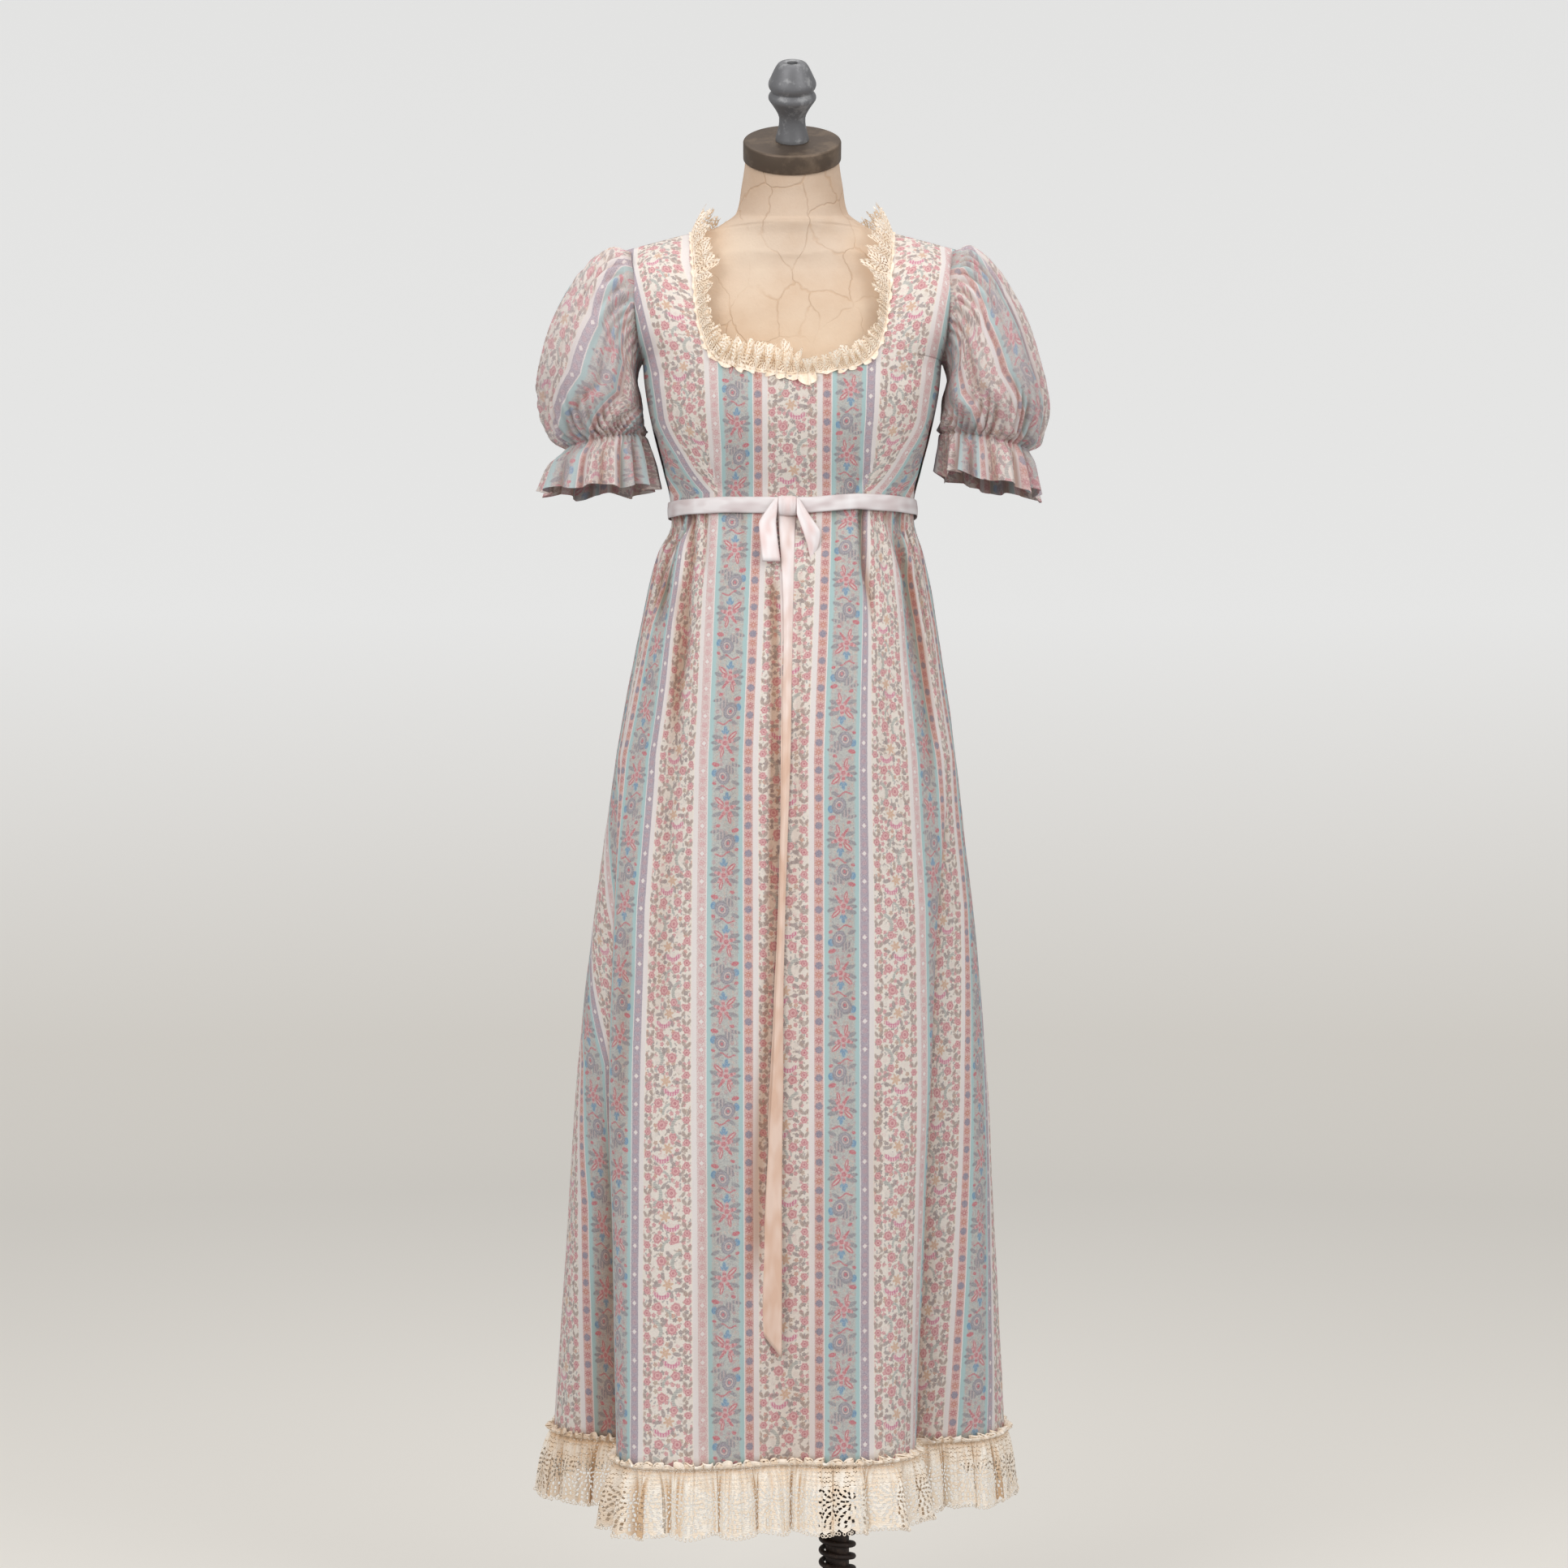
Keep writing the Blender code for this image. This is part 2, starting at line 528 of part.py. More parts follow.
def make_bodice_back(side, name):
    """Half of the back, from the centre seam (first column) to the side seam."""
    columns = BACK_NECK_COLUMNS + BACK_STRAP_COLUMNS
    first = 180.0 - SEAM_ANGLE["back"]
    last = SIDE_ANGLE + SEAM_ANGLE["back"]
    rows = []
    for i in range(BODICE_LOW_ROWS + 1):
        z = bodice_heights(UNDERARM_Z)[i]
        rows.append([bodice_point(side * mix(first, last, j / columns), z) for j in range(columns + 1)])
    bottom = rows[-1]
    middle_shift = Vector((bottom[0].x - FORM_X, 0.0, 0.0))
    neck = list(reversed(curve_points(NECK_BACK, side, BACK_NECK_COLUMNS)))
    neck[0] = neck[0] + middle_shift
    outer = curve_points(ARMHOLE_BACK, side, STRAP_ROWS)
    outer[0] = bottom[-1]
    tip = outer[-1]
    shoulder = [neck[-1].lerp(tip, (j + 1) / BACK_STRAP_COLUMNS) for j in range(BACK_STRAP_COLUMNS)]
    top = neck + shoulder
    inner = []
    for i in range(STRAP_ROWS + 1):
        share = i / STRAP_ROWS
        bulge = BACK_BULGE * math.sin(math.pi * share)
        inner.append(bottom[0].lerp(top[0], share) + Vector((0.0, bulge, 0.0)))
    upper = patch(bottom, top, inner, outer)
    tuck = Vector((0.0, SEAM_GAP + CLOTH * 0.5, 0.0))
    upper[-1] = [p + tuck if j >= BACK_NECK_COLUMNS else p for j, p in enumerate(upper[-1])]
    rows += upper[1:]
    if side > 0:
        rows = [row[::-1] for row in rows]
    return grid_wall(name, rows[::-1], CLOTH, "cotton")


def fold_levels(row):
    """Points of one fold line at the seam, hip, knee and hem."""
    return (waist_point(row[0]), (row[1], row[2]), (row[3], row[4]), (row[5], row[6]))


def pull_in(row, distance):
    """Row of points with its two ends drawn back, so that a seam stays open."""
    first = row[0] + (row[1] - row[0]).normalized() * distance
    last = row[-1] + (row[-2] - row[-1]).normalized() * distance
    return [first] + row[1:-1] + [last]


def skirt_point(table, place, fall):
    """Point of the skirt at a place counted in fold lines and a share of its length."""
    row = smooth_at([r[1:] for r in table], place)
    levels = fold_levels(row)
    k = 0
    while k < 2 and fall > FOLD_LEVELS[k + 1][0]:
        k += 1
    low = FOLD_LEVELS[k][0]
    high, power = FOLD_LEVELS[k + 1]
    share = (max(fall - low, 0.0) / (high - low)) ** power
    x = mix(levels[k][0], levels[k + 1][0], share)
    y = mix(levels[k][1], levels[k + 1][1], share)
    return placed(x, y, mix(SEAM_Z - SEAM_GAP, HEM_Z + SEAM_GAP, fall)), row[0]


def gather_offset(angle, column, fall):
    """Outward shift of a waist gather. Neighbouring columns stand in and out."""
    if FLAT_FRONT[0] < angle < FLAT_FRONT[1]:
        return 0.0
    length = GATHER_LENGTHS[(column // 2) % len(GATHER_LENGTHS)]
    fade = max(0.0, 1.0 - fall / length)
    grow = min(1.0, 0.16 + max(0.0, fall - SASH_FALL) / 0.03)
    return GATHER_DEPTH * fade * grow * (1 if column % 2 else -1)


def make_skirt(table, splits, name):
    columns = (len(table) - 1) * splits
    rows = []
    for fall in SKIRT_ROWS:
        row = []
        for j in range(columns + 1):
            point, angle = skirt_point(table, j / splits, fall)
            shift = gather_offset(angle, j, fall) if 0 < j < columns else 0.0
            outward = Vector((point.x - FORM_X, point.y, 0.0)).normalized()
            row.append(point + outward * shift)
        rows.append(pull_in(row, END_GAP))
    return grid_wall(name, rows, CLOTH, "cotton")


def hem_chain(table, count):
    """Even points of the hem between two side seams."""
    last = len(table) - 1
    fine = [skirt_point(table, last * i / 400.0, 1.0)[0] for i in range(401)]
    return resample(fine, count)


def outward_at(chain, i, reach):
    """Level direction away from the hem. At a side seam it points away from the middle."""
    last = len(chain) - 1
    low = chain[max(i - reach, 0)]
    high = chain[min(i + reach, last)]
    along = (high - low).normalized()
    across = Vector((along.y, -along.x, 0.0))
    end = chain[0] if i < last - i else chain[-1]
    away = Vector((end.x - FORM_X, 0.0, 0.0)).normalized()
    return away.lerp(across, min(min(i, last - i) / reach, 1.0)).normalized()


def make_hem_lace(table, waves, name):
    steps = waves * 16
    chain = hem_chain(table, steps)
    length = sum((q - p).length for p, q in zip(chain, chain[1:]))
    reach = max(1, int(NORMAL_REACH / (length / steps)))
    marks = []
    for wave in range(waves):
        for share, height in ((0.0, 1.0), (HOLE_SHARE, 1.0), (0.5, -1.0), (0.5 + HOLE_SHARE, -1.0)):
            marks.append(((wave + share) / waves, height))
    marks.append((1.0, 1.0))
    rows = []
    for drop, out, wave_height, _ in HEM_LACE_ROWS:
        row = []
        for share, height in marks:
            place = share * steps
            i = min(int(place), steps - 1)
            base = chain[i].lerp(chain[i + 1], place - i)
            normal = outward_at(chain, i, reach)
            point = base + normal * (out + wave_height * height)
            row.append(Vector((point.x, point.y, HEM_Z - drop)))
        rows.append(pull_in(row, END_GAP))
    holes = set()
    for i, line in enumerate(HEM_LACE_ROWS):
        if line[3]:
            holes.update((i, j) for j in range(0, len(marks) - 1, 2))
    return grid_wall(name, rows, LACE, "lace", holes=holes)


def neck_frames(part, count):
    """Point, direction towards the neck and outward direction along the neckline."""
    if part == "front":
        left = neck_side_points(-1, STRAP_ROWS)[::-1]
        right = neck_side_points(1, STRAP_ROWS)
        chain = left[:-1] + neck_low_points() + right[1:]
    else:
        right = curve_points(NECK_BACK, 1, BACK_NECK_COLUMNS)
        chain = right + curve_points(NECK_BACK, -1, BACK_NECK_COLUMNS)[::-1][1:]
    chain = resample(chain, count)
    target = placed(*NECK_LACE_TARGET)
    across_all = []
    for i, point in enumerate(chain):
        along = (chain[min(i + 2, count)] - chain[max(i - 2, 0)]).normalized()
        if i in (0, count):
            along = Vector((0.0, 1.0, 0.0))
        across = target - point
        across_all.append((across - along * across.dot(along)).normalized())
    frames = []
    for i, point in enumerate(chain):
        along = (chain[min(i + 2, count)] - chain[max(i - 2, 0)]).normalized()
        if i in (0, count):
            along = Vector((0.0, 1.0, 0.0))
        near = across_all[max(i - 2, 0):i + 3] if 0 < i < count else [across_all[i]]
        across = sum(near, Vector()).normalized()
        outward = along.cross(across).normalized()
        if outward.dot(Vector((point.x - FORM_X, point.y, 0.02))) < 0:
            outward = -outward
        frames.append((point, across, outward))
    return frames


def make_neck_lace(part, name):
    waves = NECK_WAVES[part]
    count = waves * 2
    frames = neck_frames(part, count)
    gap = NECK_LACE_GAP[part]
    rows = []
    for width, lift, wave_height, _ in NECK_LACE_ROWS:
        row = []
        for j, (point, across, outward) in enumerate(frames):
            height = 1.0 if j % 2 == 0 else -1.0
            row.append(point + across * (width + gap) + outward * (lift + wave_height * height))
        rows.append(pull_in(row, END_GAP * 2.0))
    holes = set()
    for i, line in enumerate(NECK_LACE_ROWS):
        if line[3]:
            holes.update((i, j) for j in range(1, count - 1, 2))
    return grid_wall(name, rows[::-1], LACE, "lace",
                     holes={(len(rows) - 2 - i, j) for i, j in holes})


def make_sleeve(side, table, name):
    gap = SEAM_GAP + CLOTH * 0.6
    rows = []
    for out_x, out_z, in_x, in_z, depth, gather in table:
        outer = Vector((out_x + gap, 0.0, out_z))
        inner = Vector((in_x + gap, 0.0, in_z))
        middle = (outer + inner) * 0.5
        half = (outer - inner) * 0.5
        row = []
        for j in range(SLEEVE_COLUMNS):
            turn = 2.0 * math.pi * j / SLEEVE_COLUMNS
            wave = gather * (1.0 if j % 2 else -1.0)
            swell = 1.0 + wave / half.length
            local = middle + half * math.cos(turn) * swell
            y = -(depth + wave) * math.sin(turn)
            row.append(placed(local.x * side, y, local.z))
        rows.append(row)
    if side < 0:
        rows = [row[::-1] for row in rows]
    return grid_wall(name, rows, CLOTH, "cotton", closed=True)


def make_sash():
    columns = 40
    rows = []
    for z in (SEAM_Z + SASH_HEIGHT * 0.5, SEAM_Z - SASH_HEIGHT * 0.5):
        row = []
        for j in range(columns):
            x, y = waist_point(360.0 * j / columns, SASH_STAND_OFF)
            row.append(placed(x, y, z))
        rows.append(row)
    return grid_wall("sash", rows, RIBBON, "ribbon", closed=True)


def sash_front(x):
    """Front face of the sash, y at a place across it."""
    angle = math.degrees(math.asin(x / (WAIST["half_width"] + SASH_STAND_OFF)))
    return waist_point(angle, SASH_STAND_OFF)[1] - RIBBON * 0.5


def skirt_front(x, z):
    """Front face of the skirt near centre front, y at a place and height."""
    fall = min(max((SEAM_Z - z) / (SEAM_Z - HEM_Z), 0.0), 1.0)
    places = [i / 10.0 for i in range(70, 140)]
    near = min(places, key=lambda p: abs(skirt_point(FOLD_FRONT, p, fall)[0].x - FORM_X - x))
    return skirt_point(FOLD_FRONT, near, fall)[0].y - CLOTH * 0.5


def make_knot():
    low_x, high_x = KNOT["x"]
    low_z, high_z = KNOT["z"]
    near = sash_front(0.0) - SEAM_GAP - KNOT["depth"]
    far = sash_front(0.0) - SEAM_GAP
    mesh = bpy.data.meshes.new("bow_knot")
    cage = bmesh.new()
    bmesh.ops.create_cube(cage, size=1.0)
    size = Matrix.Diagonal((high_x - low_x, far - near, high_z - low_z, 1.0))
    bmesh.ops.transform(cage, matrix=size, verts=cage.verts)
    bmesh.ops.bevel(cage, geom=cage.edges, offset=0.0028, segments=2, profile=0.5, affect="EDGES")
    cage.to_mesh(mesh)
    cage.free()
    piece = add_object("bow_knot", mesh, "ribbon")
    piece.location = placed((low_x + high_x) * 0.5, (near + far) * 0.5, (low_z + high_z) * 0.5)
    return piece


def make_bow_loop(table, name):
    rows = []
    count = 6
    for i in range(count + 1):
        left, right, z, off = smooth_at(table, (len(table) - 1) * i / count)
        row = []
        for j in range(3):
            x = mix(left, right, j / 2)
            crown = 0.0016 * math.sin(math.pi * j / 2)
            behind = min(sash_front(x), skirt_front(x, z))
            row.append(placed(x, behind - SEAM_GAP - RIBBON - off - crown, z))
        rows.append(row)
    return grid_wall(name, rows, RIBBON * 2.0, "ribbon")


def make_tail(table, name):
    rows = []
    count = 13
    for i in range(count + 1):
        z, left, right, off = smooth_at(table, (len(table) - 1) * i / count)
        row = []
        for j in range(3):
            share = j / 2
            x = mix(left, right, share)
            low = z - TAIL_POINT * share * max(0.0, (i - count + 3) / 3)
            row.append(placed(x, skirt_front(x, low) - off, low))
        rows.append(row)
    return grid_wall(name, rows, RIBBON, "ribbon")


def make_form_torso():
    rows = []
    for z, half_width, front, back, middle_y, tilt, power in FORM_SECTIONS:
        turn = Matrix.Rotation(math.radians(tilt), 3, "X")
        row = []
        for j in range(FORM_COLUMNS):
            x, y = ring_point(half_width, front, back, 360.0 * j / FORM_COLUMNS, power)
            offset = turn @ Vector((x, y, 0.0))
            row.append(placed(offset.x, middle_y + offset.y, z + offset.z))
        rows.append(row)
    width = FORM_COLUMNS
    points = [p for row in rows for p in row]
    faces = [tuple(range(width))[::-1]]
    for i in range(len(rows) - 1):
        for j in range(width):
            k = (j + 1) % width
            faces.append((i * width + j, i * width + k, (i + 1) * width + k, (i + 1) * width + j))
    faces.append(tuple((len(rows) - 1) * width + j for j in range(width)))
    return add_mesh("form_torso", points, faces, "form")


def turned(name, profile, steps, material, closed=True):
    """Profile of height and radius, top to bottom, turned about Z by a Screw modifier."""
    line = list(profile)
    if closed:
        line = [(line[0][0], 0.0)] + line + [(line[-1][0], 0.0)]
    mesh = bpy.data.meshes.new(name)
    mesh.from_pydata([(r, 0.0, z) for z, r in line], [(i, i + 1) for i in range(len(line) - 1)], [])
    piece = add_object(name, mesh, material)
    screw = piece.modifiers.new("turn", "SCREW")
    screw.steps = steps
    screw.render_steps = steps
    screw.use_merge_vertices = True
    screw.merge_threshold = 0.00001
    return piece


def cap_axis():
    return Matrix.Rotation(math.radians(CAP["tilt"]), 4, "X")


def make_cap():
    radius = CAP["radius"]
    low = SEAM_GAP - CAP["height"]
    profile = ((0.0, radius - 0.0030), (-0.0010, radius - 0.0008), (-0.0030, radius),
               (low + 0.0020, radius), (low, radius - 0.0012))
    piece = turned("neck_cap", profile, 28, "cap")
    piece.matrix_world = Matrix.Translation(placed(0.0, CAP["y"], CAP["z"])) @ cap_axis()
    return piece


def make_finial():
    lift = SEAM_GAP
    top = FINIAL_PROFILE[0][0]
    hole = ((top - FINIAL_HOLE["depth"], FINIAL_HOLE["radius"] - 0.0002),)
    profile = [(z + lift, r) for z, r in hole + FINIAL_PROFILE]
    piece = turned("finial", profile, 16, "finial")
    piece.matrix_world = Matrix.Translation(placed(0.0, CAP["y"], CAP["z"])) @ cap_axis()
    return piece


def make_base():
    return turned("base", BASE_PROFILE, 32, "column")


def make_column():
    profile = [(COLUMN_TOP_Z, FLANGE["radius"]), (COLUMN_TOP_Z - FLANGE["height"], FLANGE["radius"]),
               (COLUMN_TOP_Z - FLANGE["height"], COLUMN_RADIUS)]
    for low, high in reversed(COLLARS):
        profile += [(high, COLUMN_RADIUS), (high, COLLAR_RADIUS), (low, COLLAR_RADIUS), (low, COLUMN_RADIUS)]
    profile.append((COLUMN_FOOT_Z, COLUMN_RADIUS))
    return turned("column", profile, 14, "column")


def make_spring():
    clear = SPRING["wire"] + SEAM_GAP
    low = COLLARS[0][1] + clear
    high = COLLARS[1][0] - clear
    turns = (high - low) / SPRING["pitch"]
    count = int(turns * SPRING["points"])
    curve = bpy.data.curves.new("column_spring", "CURVE")
    curve.dimensions = "3D"
    curve.bevel_depth = SPRING["wire"]
    curve.bevel_resolution = 1
    curve.use_fill_caps = True
    spline = curve.splines.new("POLY")
    spline.points.add(count)
    for i in range(count + 1):
        turn = 2.0 * math.pi * turns * i / count
        spline.points[i].co = (SPRING["radius"] * math.cos(turn), SPRING["radius"] * math.sin(turn),
                               mix(low, high, i / count), 1.0)
    return add_object("column_spring", curve, "column")


def build():
    for old in list(bpy.data.objects):
        bpy.data.objects.remove(old, do_unlink=True)
    collection = bpy.data.collections.get(COLLECTION_NAME)
    if collection is None:
        collection = bpy.data.collections.new(COLLECTION_NAME)
        bpy.context.scene.collection.children.link(collection)
    make_bodice_front()
    make_bodice_back(-1, "bodice_back_left")
    make_bodice_back(1, "bodice_back_right")
    make_skirt(FOLD_FRONT, FRONT_SPLITS, "skirt_front")
    make_skirt(FOLD_BACK, BACK_SPLITS, "skirt_back")
    make_hem_lace(FOLD_FRONT, HEM_WAVES["front"], "hem_lace_front")
    make_hem_lace(FOLD_BACK, HEM_WAVES["back"], "hem_lace_back")
    make_neck_lace("front", "neck_lace_front")
    make_neck_lace("back", "neck_lace_back")
    make_sleeve(-1, SLEEVE_LEFT, "sleeve_left")
    make_sleeve(1, SLEEVE_RIGHT, "sleeve_right")
    make_sash()
    make_knot()
    make_bow_loop(BOW_LOOP_LEFT, "bow_loop_left")
    make_bow_loop(BOW_LOOP_RIGHT, "bow_loop_right")
    make_tail(TAIL_FRONT, "ribbon_tail_front")
    make_tail(TAIL_BACK, "ribbon_tail_back")
    make_form_torso()
    make_cap()
    make_finial()
    make_column()
    make_spring()
    make_base()


build()
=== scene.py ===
# A prairie dress on a limbless dress form: cloth, lace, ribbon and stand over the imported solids.
# Metres, +Z up. The dress faces -Y and hangs about the plane x = formX, beside the stand's column.

import math

import bmesh
import bpy
import numpy as np
from mathutils import Matrix, Vector


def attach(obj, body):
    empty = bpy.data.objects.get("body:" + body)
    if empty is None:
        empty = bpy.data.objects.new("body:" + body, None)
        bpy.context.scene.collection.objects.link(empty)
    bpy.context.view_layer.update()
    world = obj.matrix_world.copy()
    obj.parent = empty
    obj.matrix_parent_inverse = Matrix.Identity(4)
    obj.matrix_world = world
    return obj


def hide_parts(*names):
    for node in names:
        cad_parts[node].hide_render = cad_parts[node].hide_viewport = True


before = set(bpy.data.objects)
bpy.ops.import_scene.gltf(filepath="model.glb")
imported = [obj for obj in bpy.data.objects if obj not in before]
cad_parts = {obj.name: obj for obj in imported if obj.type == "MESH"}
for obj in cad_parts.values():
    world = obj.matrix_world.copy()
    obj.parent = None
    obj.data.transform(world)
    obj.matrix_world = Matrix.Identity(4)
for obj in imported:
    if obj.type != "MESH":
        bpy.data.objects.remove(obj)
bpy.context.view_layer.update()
print("frame loaded,", len(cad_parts), "nodes")

formX = -0.049


# Curves through rows of numbers

def between(t, a, b, slopeA, slopeB):
    # cubic from one value to the next, with a slope at each
    return ((2 * t**3 - 3 * t**2 + 1) * a + (t**3 - 2 * t**2 + t) * slopeA
            + (3 * t**2 - 2 * t**3) * b + (t**3 - t**2) * slopeB)


def smoothRows(rows, place):
    rows = np.asarray(rows, float)
    last = len(rows) - 1
    place = np.clip(np.asarray(place, float), 0.0, last)
    i = np.minimum(place.astype(int), last - 1)
    a = rows[np.maximum(i - 1, 0)]
    b = rows[i]
    c = rows[i + 1]
    d = rows[np.minimum(i + 2, last)]
    return between((place - i)[..., None], b, c, 0.5 * (c - a), 0.5 * (d - b))


def throughKnots(knots, values, at):
    # smooth curve through values at uneven knots
    knots = np.asarray(knots, float)
    values = np.asarray(values, float)
    slopes = np.gradient(values, knots, axis=0)
    at = np.clip(np.asarray(at, float), knots[0], knots[-1])
    i = np.clip(np.searchsorted(knots, at, side="right") - 1, 0, len(knots) - 2)
    step = knots[i + 1] - knots[i]
    shape = (-1,) + (1,) * (values.ndim - 1)
    t = ((at - knots[i]) / step).reshape(shape)
    step = step.reshape(shape)
    return between(t, values[i], values[i + 1], step * slopes[i], step * slopes[i + 1])


def fade(x, low, high):
    t = np.clip((np.asarray(x, float) - low) / (high - low), 0.0, 1.0)
    return t * t * (3 - 2 * t)


def hump(x, width):
    return np.exp(-(x / width) ** 2)


def alongLength(points):
    # running length down each chain of points, the chains lie along axis 0
    steps = np.linalg.norm(np.diff(points, axis=0), axis=-1)
    return np.concatenate([np.zeros((1,) + steps.shape[1:]), np.cumsum(steps, axis=0)])


def alongRows(points):
    # the same from left to right, for every row of a grid
    return alongLength(points.swapaxes(0, 1)).T


def crossed(u, v):
    # cloth coordinates of a grid whose columns share u and whose rows share v
    return np.stack(np.broadcast_arrays(u[None, :], v[:, None]), axis=-1)


def fromEnds(count):
    # number of places between each place and the nearer end
    return np.minimum(np.arange(count), np.arange(count)[::-1])


def unit(vectors):
    return vectors / np.linalg.norm(vectors, axis=-1, keepdims=True)


def evenChain(points, count):
    points = np.asarray(points, float)
    run = alongLength(points)
    at = np.linspace(0.0, run[-1], count)
    return np.stack([np.interp(at, run, points[:, k]) for k in range(3)], axis=-1)


def rumple(u, v, seed, sizes=((0.11, 0.9), (0.05, 0.45), (0.023, 0.2))):
    # soft uneven surface from a few slanted waves, for cloth that has been worn
    dice = np.random.default_rng(seed)
    total = np.zeros(np.broadcast(u, v).shape)
    for size, height in sizes:
        for _ in range(5):
            slant = dice.uniform(-0.9, 0.9)
            phase = dice.uniform(0.0, 2 * math.pi)
            stretch = dice.uniform(0.7, 1.5)
            slanted = u * math.cos(slant) + v * 0.35 * math.sin(slant)
            wave = np.sin(slanted * 2 * math.pi * stretch / size + phase)
            total += height * wave * np.sin(v * 2 * math.pi / (size * dice.uniform(2.5, 5.0)) + phase * 1.7)
    return total / 5.0


# Meshes

def toNormals(points):
    # outward side of a grid whose rows run down and whose columns run to the right seen from outside
    normal = np.cross(np.gradient(points, axis=0), np.gradient(points, axis=1))
    return normal / np.maximum(np.linalg.norm(normal, axis=-1, keepdims=True), 1e-9)


def quadCorners(values):
    # the values at the four corners of every face of a grid
    return np.stack([values[:-1, :-1], values[1:, :-1], values[1:, 1:], values[:-1, 1:]], axis=2)


def gridFaces(rows, columns, start=0, closed=False):
    row = start + np.arange(rows - 1)[:, None] * columns
    left = np.arange(columns if closed else columns - 1)[None, :]
    right = (left + 1) % columns
    below = row + columns
    return np.stack([row + left, below + left, below + right, row + right], axis=-1).reshape(-1, 4)


def clothMesh(name, points, faces, corners):
    # a mesh that knows where each corner lies on the flat cloth
    mesh = bpy.data.meshes.new(name)
    mesh.from_pydata(points.tolist(), [], faces.tolist())
    layer = mesh.uv_layers.new(name="cloth")
    layer.data.foreach_set("uv", corners.reshape(-1).astype(np.float32))
    return mesh


def placed(name, mesh, material=None):
    # a new object in the scene, smooth and in its material when one is given
    if material:
        mesh.shade_smooth()
        mesh.materials.append(material)
    piece = bpy.data.objects.new(name, mesh)
    bpy.context.collection.objects.link(piece)
    return piece


def gridMesh(name, points, flat, material):
    mesh = clothMesh(name, points.reshape(-1, 3), gridFaces(*points.shape[:2]), quadCorners(flat))
    return placed(name, mesh, material)


def thicken(piece, thickness):
    wall = piece.modifiers.new("wall", "SOLIDIFY")
    wall.thickness = thickness
    wall.offset = 0.0
    wall.use_even_offset = False
    return piece


def setShade(piece, values, name="paintedShade"):
    # a number for every point, read by the materials; by default the amount of painted shade
    layer = piece.data.attributes.new(name, "FLOAT", "POINT")
    layer.data.foreach_set("value", np.asarray(values, np.float32).reshape(-1))


def hollows(points, reaches):
    # how far each place lies sunk between its neighbours to the left and right, used for painted shade
    normal = toNormals(points)
    last = points.shape[1] - 1
    index = np.arange(last + 1)
    total = np.zeros(points.shape[:2])
    for reach, weight in reaches:
        left = points[:, np.maximum(index - reach, 0)]
        right = points[:, np.minimum(index + reach, last)]
        width = np.linalg.norm(right - left, axis=-1) + 1e-6
        total += weight * (((left + right) * 0.5 - points) * normal).sum(axis=-1) / width
    return total


class Growth:
    # a geometry node group with named inputs, which ends in one material
    def __init__(self, name, **inputs):
        self.group = bpy.data.node_groups.new(name, "GeometryNodeTree")
        self.group.interface.new_socket("Geometry", in_out="INPUT", socket_type="NodeSocketGeometry")
        self.identifiers = {}
        for key, kind in dict(inputs, Material="Material").items():
            socket = self.group.interface.new_socket(key, in_out="INPUT", socket_type="NodeSocket" + kind)
            self.identifiers[key] = socket.identifier
        self.group.interface.new_socket("Geometry", in_out="OUTPUT", socket_type="NodeSocketGeometry")
        self.given = self.group.nodes.new("NodeGroupInput").outputs

    def node(self, kind, output, **inputs):
        made = self.group.nodes.new(kind)
        for key, value in inputs.items():
            socket = made.inputs[key.replace("_", " ")]
            if isinstance(value, bpy.types.NodeSocket):
                self.group.links.new(value, socket)
            else:
                socket.default_value = value
        return made.outputs[output]

    def circle(self, radius, steps):
        return self.node("GeometryNodeCurvePrimitiveCircle", "Curve", Radius=radius, Resolution=steps)

    def grow(self, name, mesh, shape, **values):
        # runs the group on a mesh and keeps the result as a plain mesh
        real = self.node("GeometryNodeRealizeInstances", "Geometry", Geometry=shape)
        material = self.given["Material"]
        inked = self.node("GeometryNodeSetMaterial", "Geometry", Geometry=real, Material=material)
        end = self.group.nodes.new("NodeGroupOutput")
        self.group.links.new(inked, end.inputs["Geometry"])
        base = placed(name + "_base", mesh)
        growing = base.modifiers.new("grow", "NODES")
        growing.node_group = self.group
        for key, value in values.items():
            growing[self.identifiers[key]] = value
        graph = bpy.context.evaluated_depsgraph_get()
        grown = bpy.data.meshes.new_from_object(base.evaluated_get(graph))
        grown.name = name
        bpy.data.objects.remove(base)
        grown.shade_smooth()
        return placed(name, grown)


def dress(piece, slotName, *nodes):
    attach(piece, "root")
    if nodes:
        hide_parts(*nodes)
    return piece


# Shader maths

def ink(red, green, blue):
    # colour as read from a screen, 0 to 255, turned to light
    linear = []
    for value in (red, green, blue):
        value = value / 255.0
        linear.append(value / 12.92 if value <= 0.04045 else ((value + 0.055) / 1.055) ** 2.4)
    return tuple(linear) + (1.0,)


class Wire:
    # one output; adding or multiplying wires adds the maths nodes
    def __init__(self, net, socket):
        self.net = net
        self.socket = socket

    def __add__(self, other):
        return self.net.maths("ADD", self, other)

    def __sub__(self, other):
        return self.net.maths("SUBTRACT", self, other)

    def __rsub__(self, other):
        return self.net.maths("SUBTRACT", other, self)

    def __mul__(self, other):
        return self.net.maths("MULTIPLY", self, other)

    def __truediv__(self, other):
        return self.net.maths("DIVIDE", self, other)

    __radd__ = __add__
    __rmul__ = __mul__


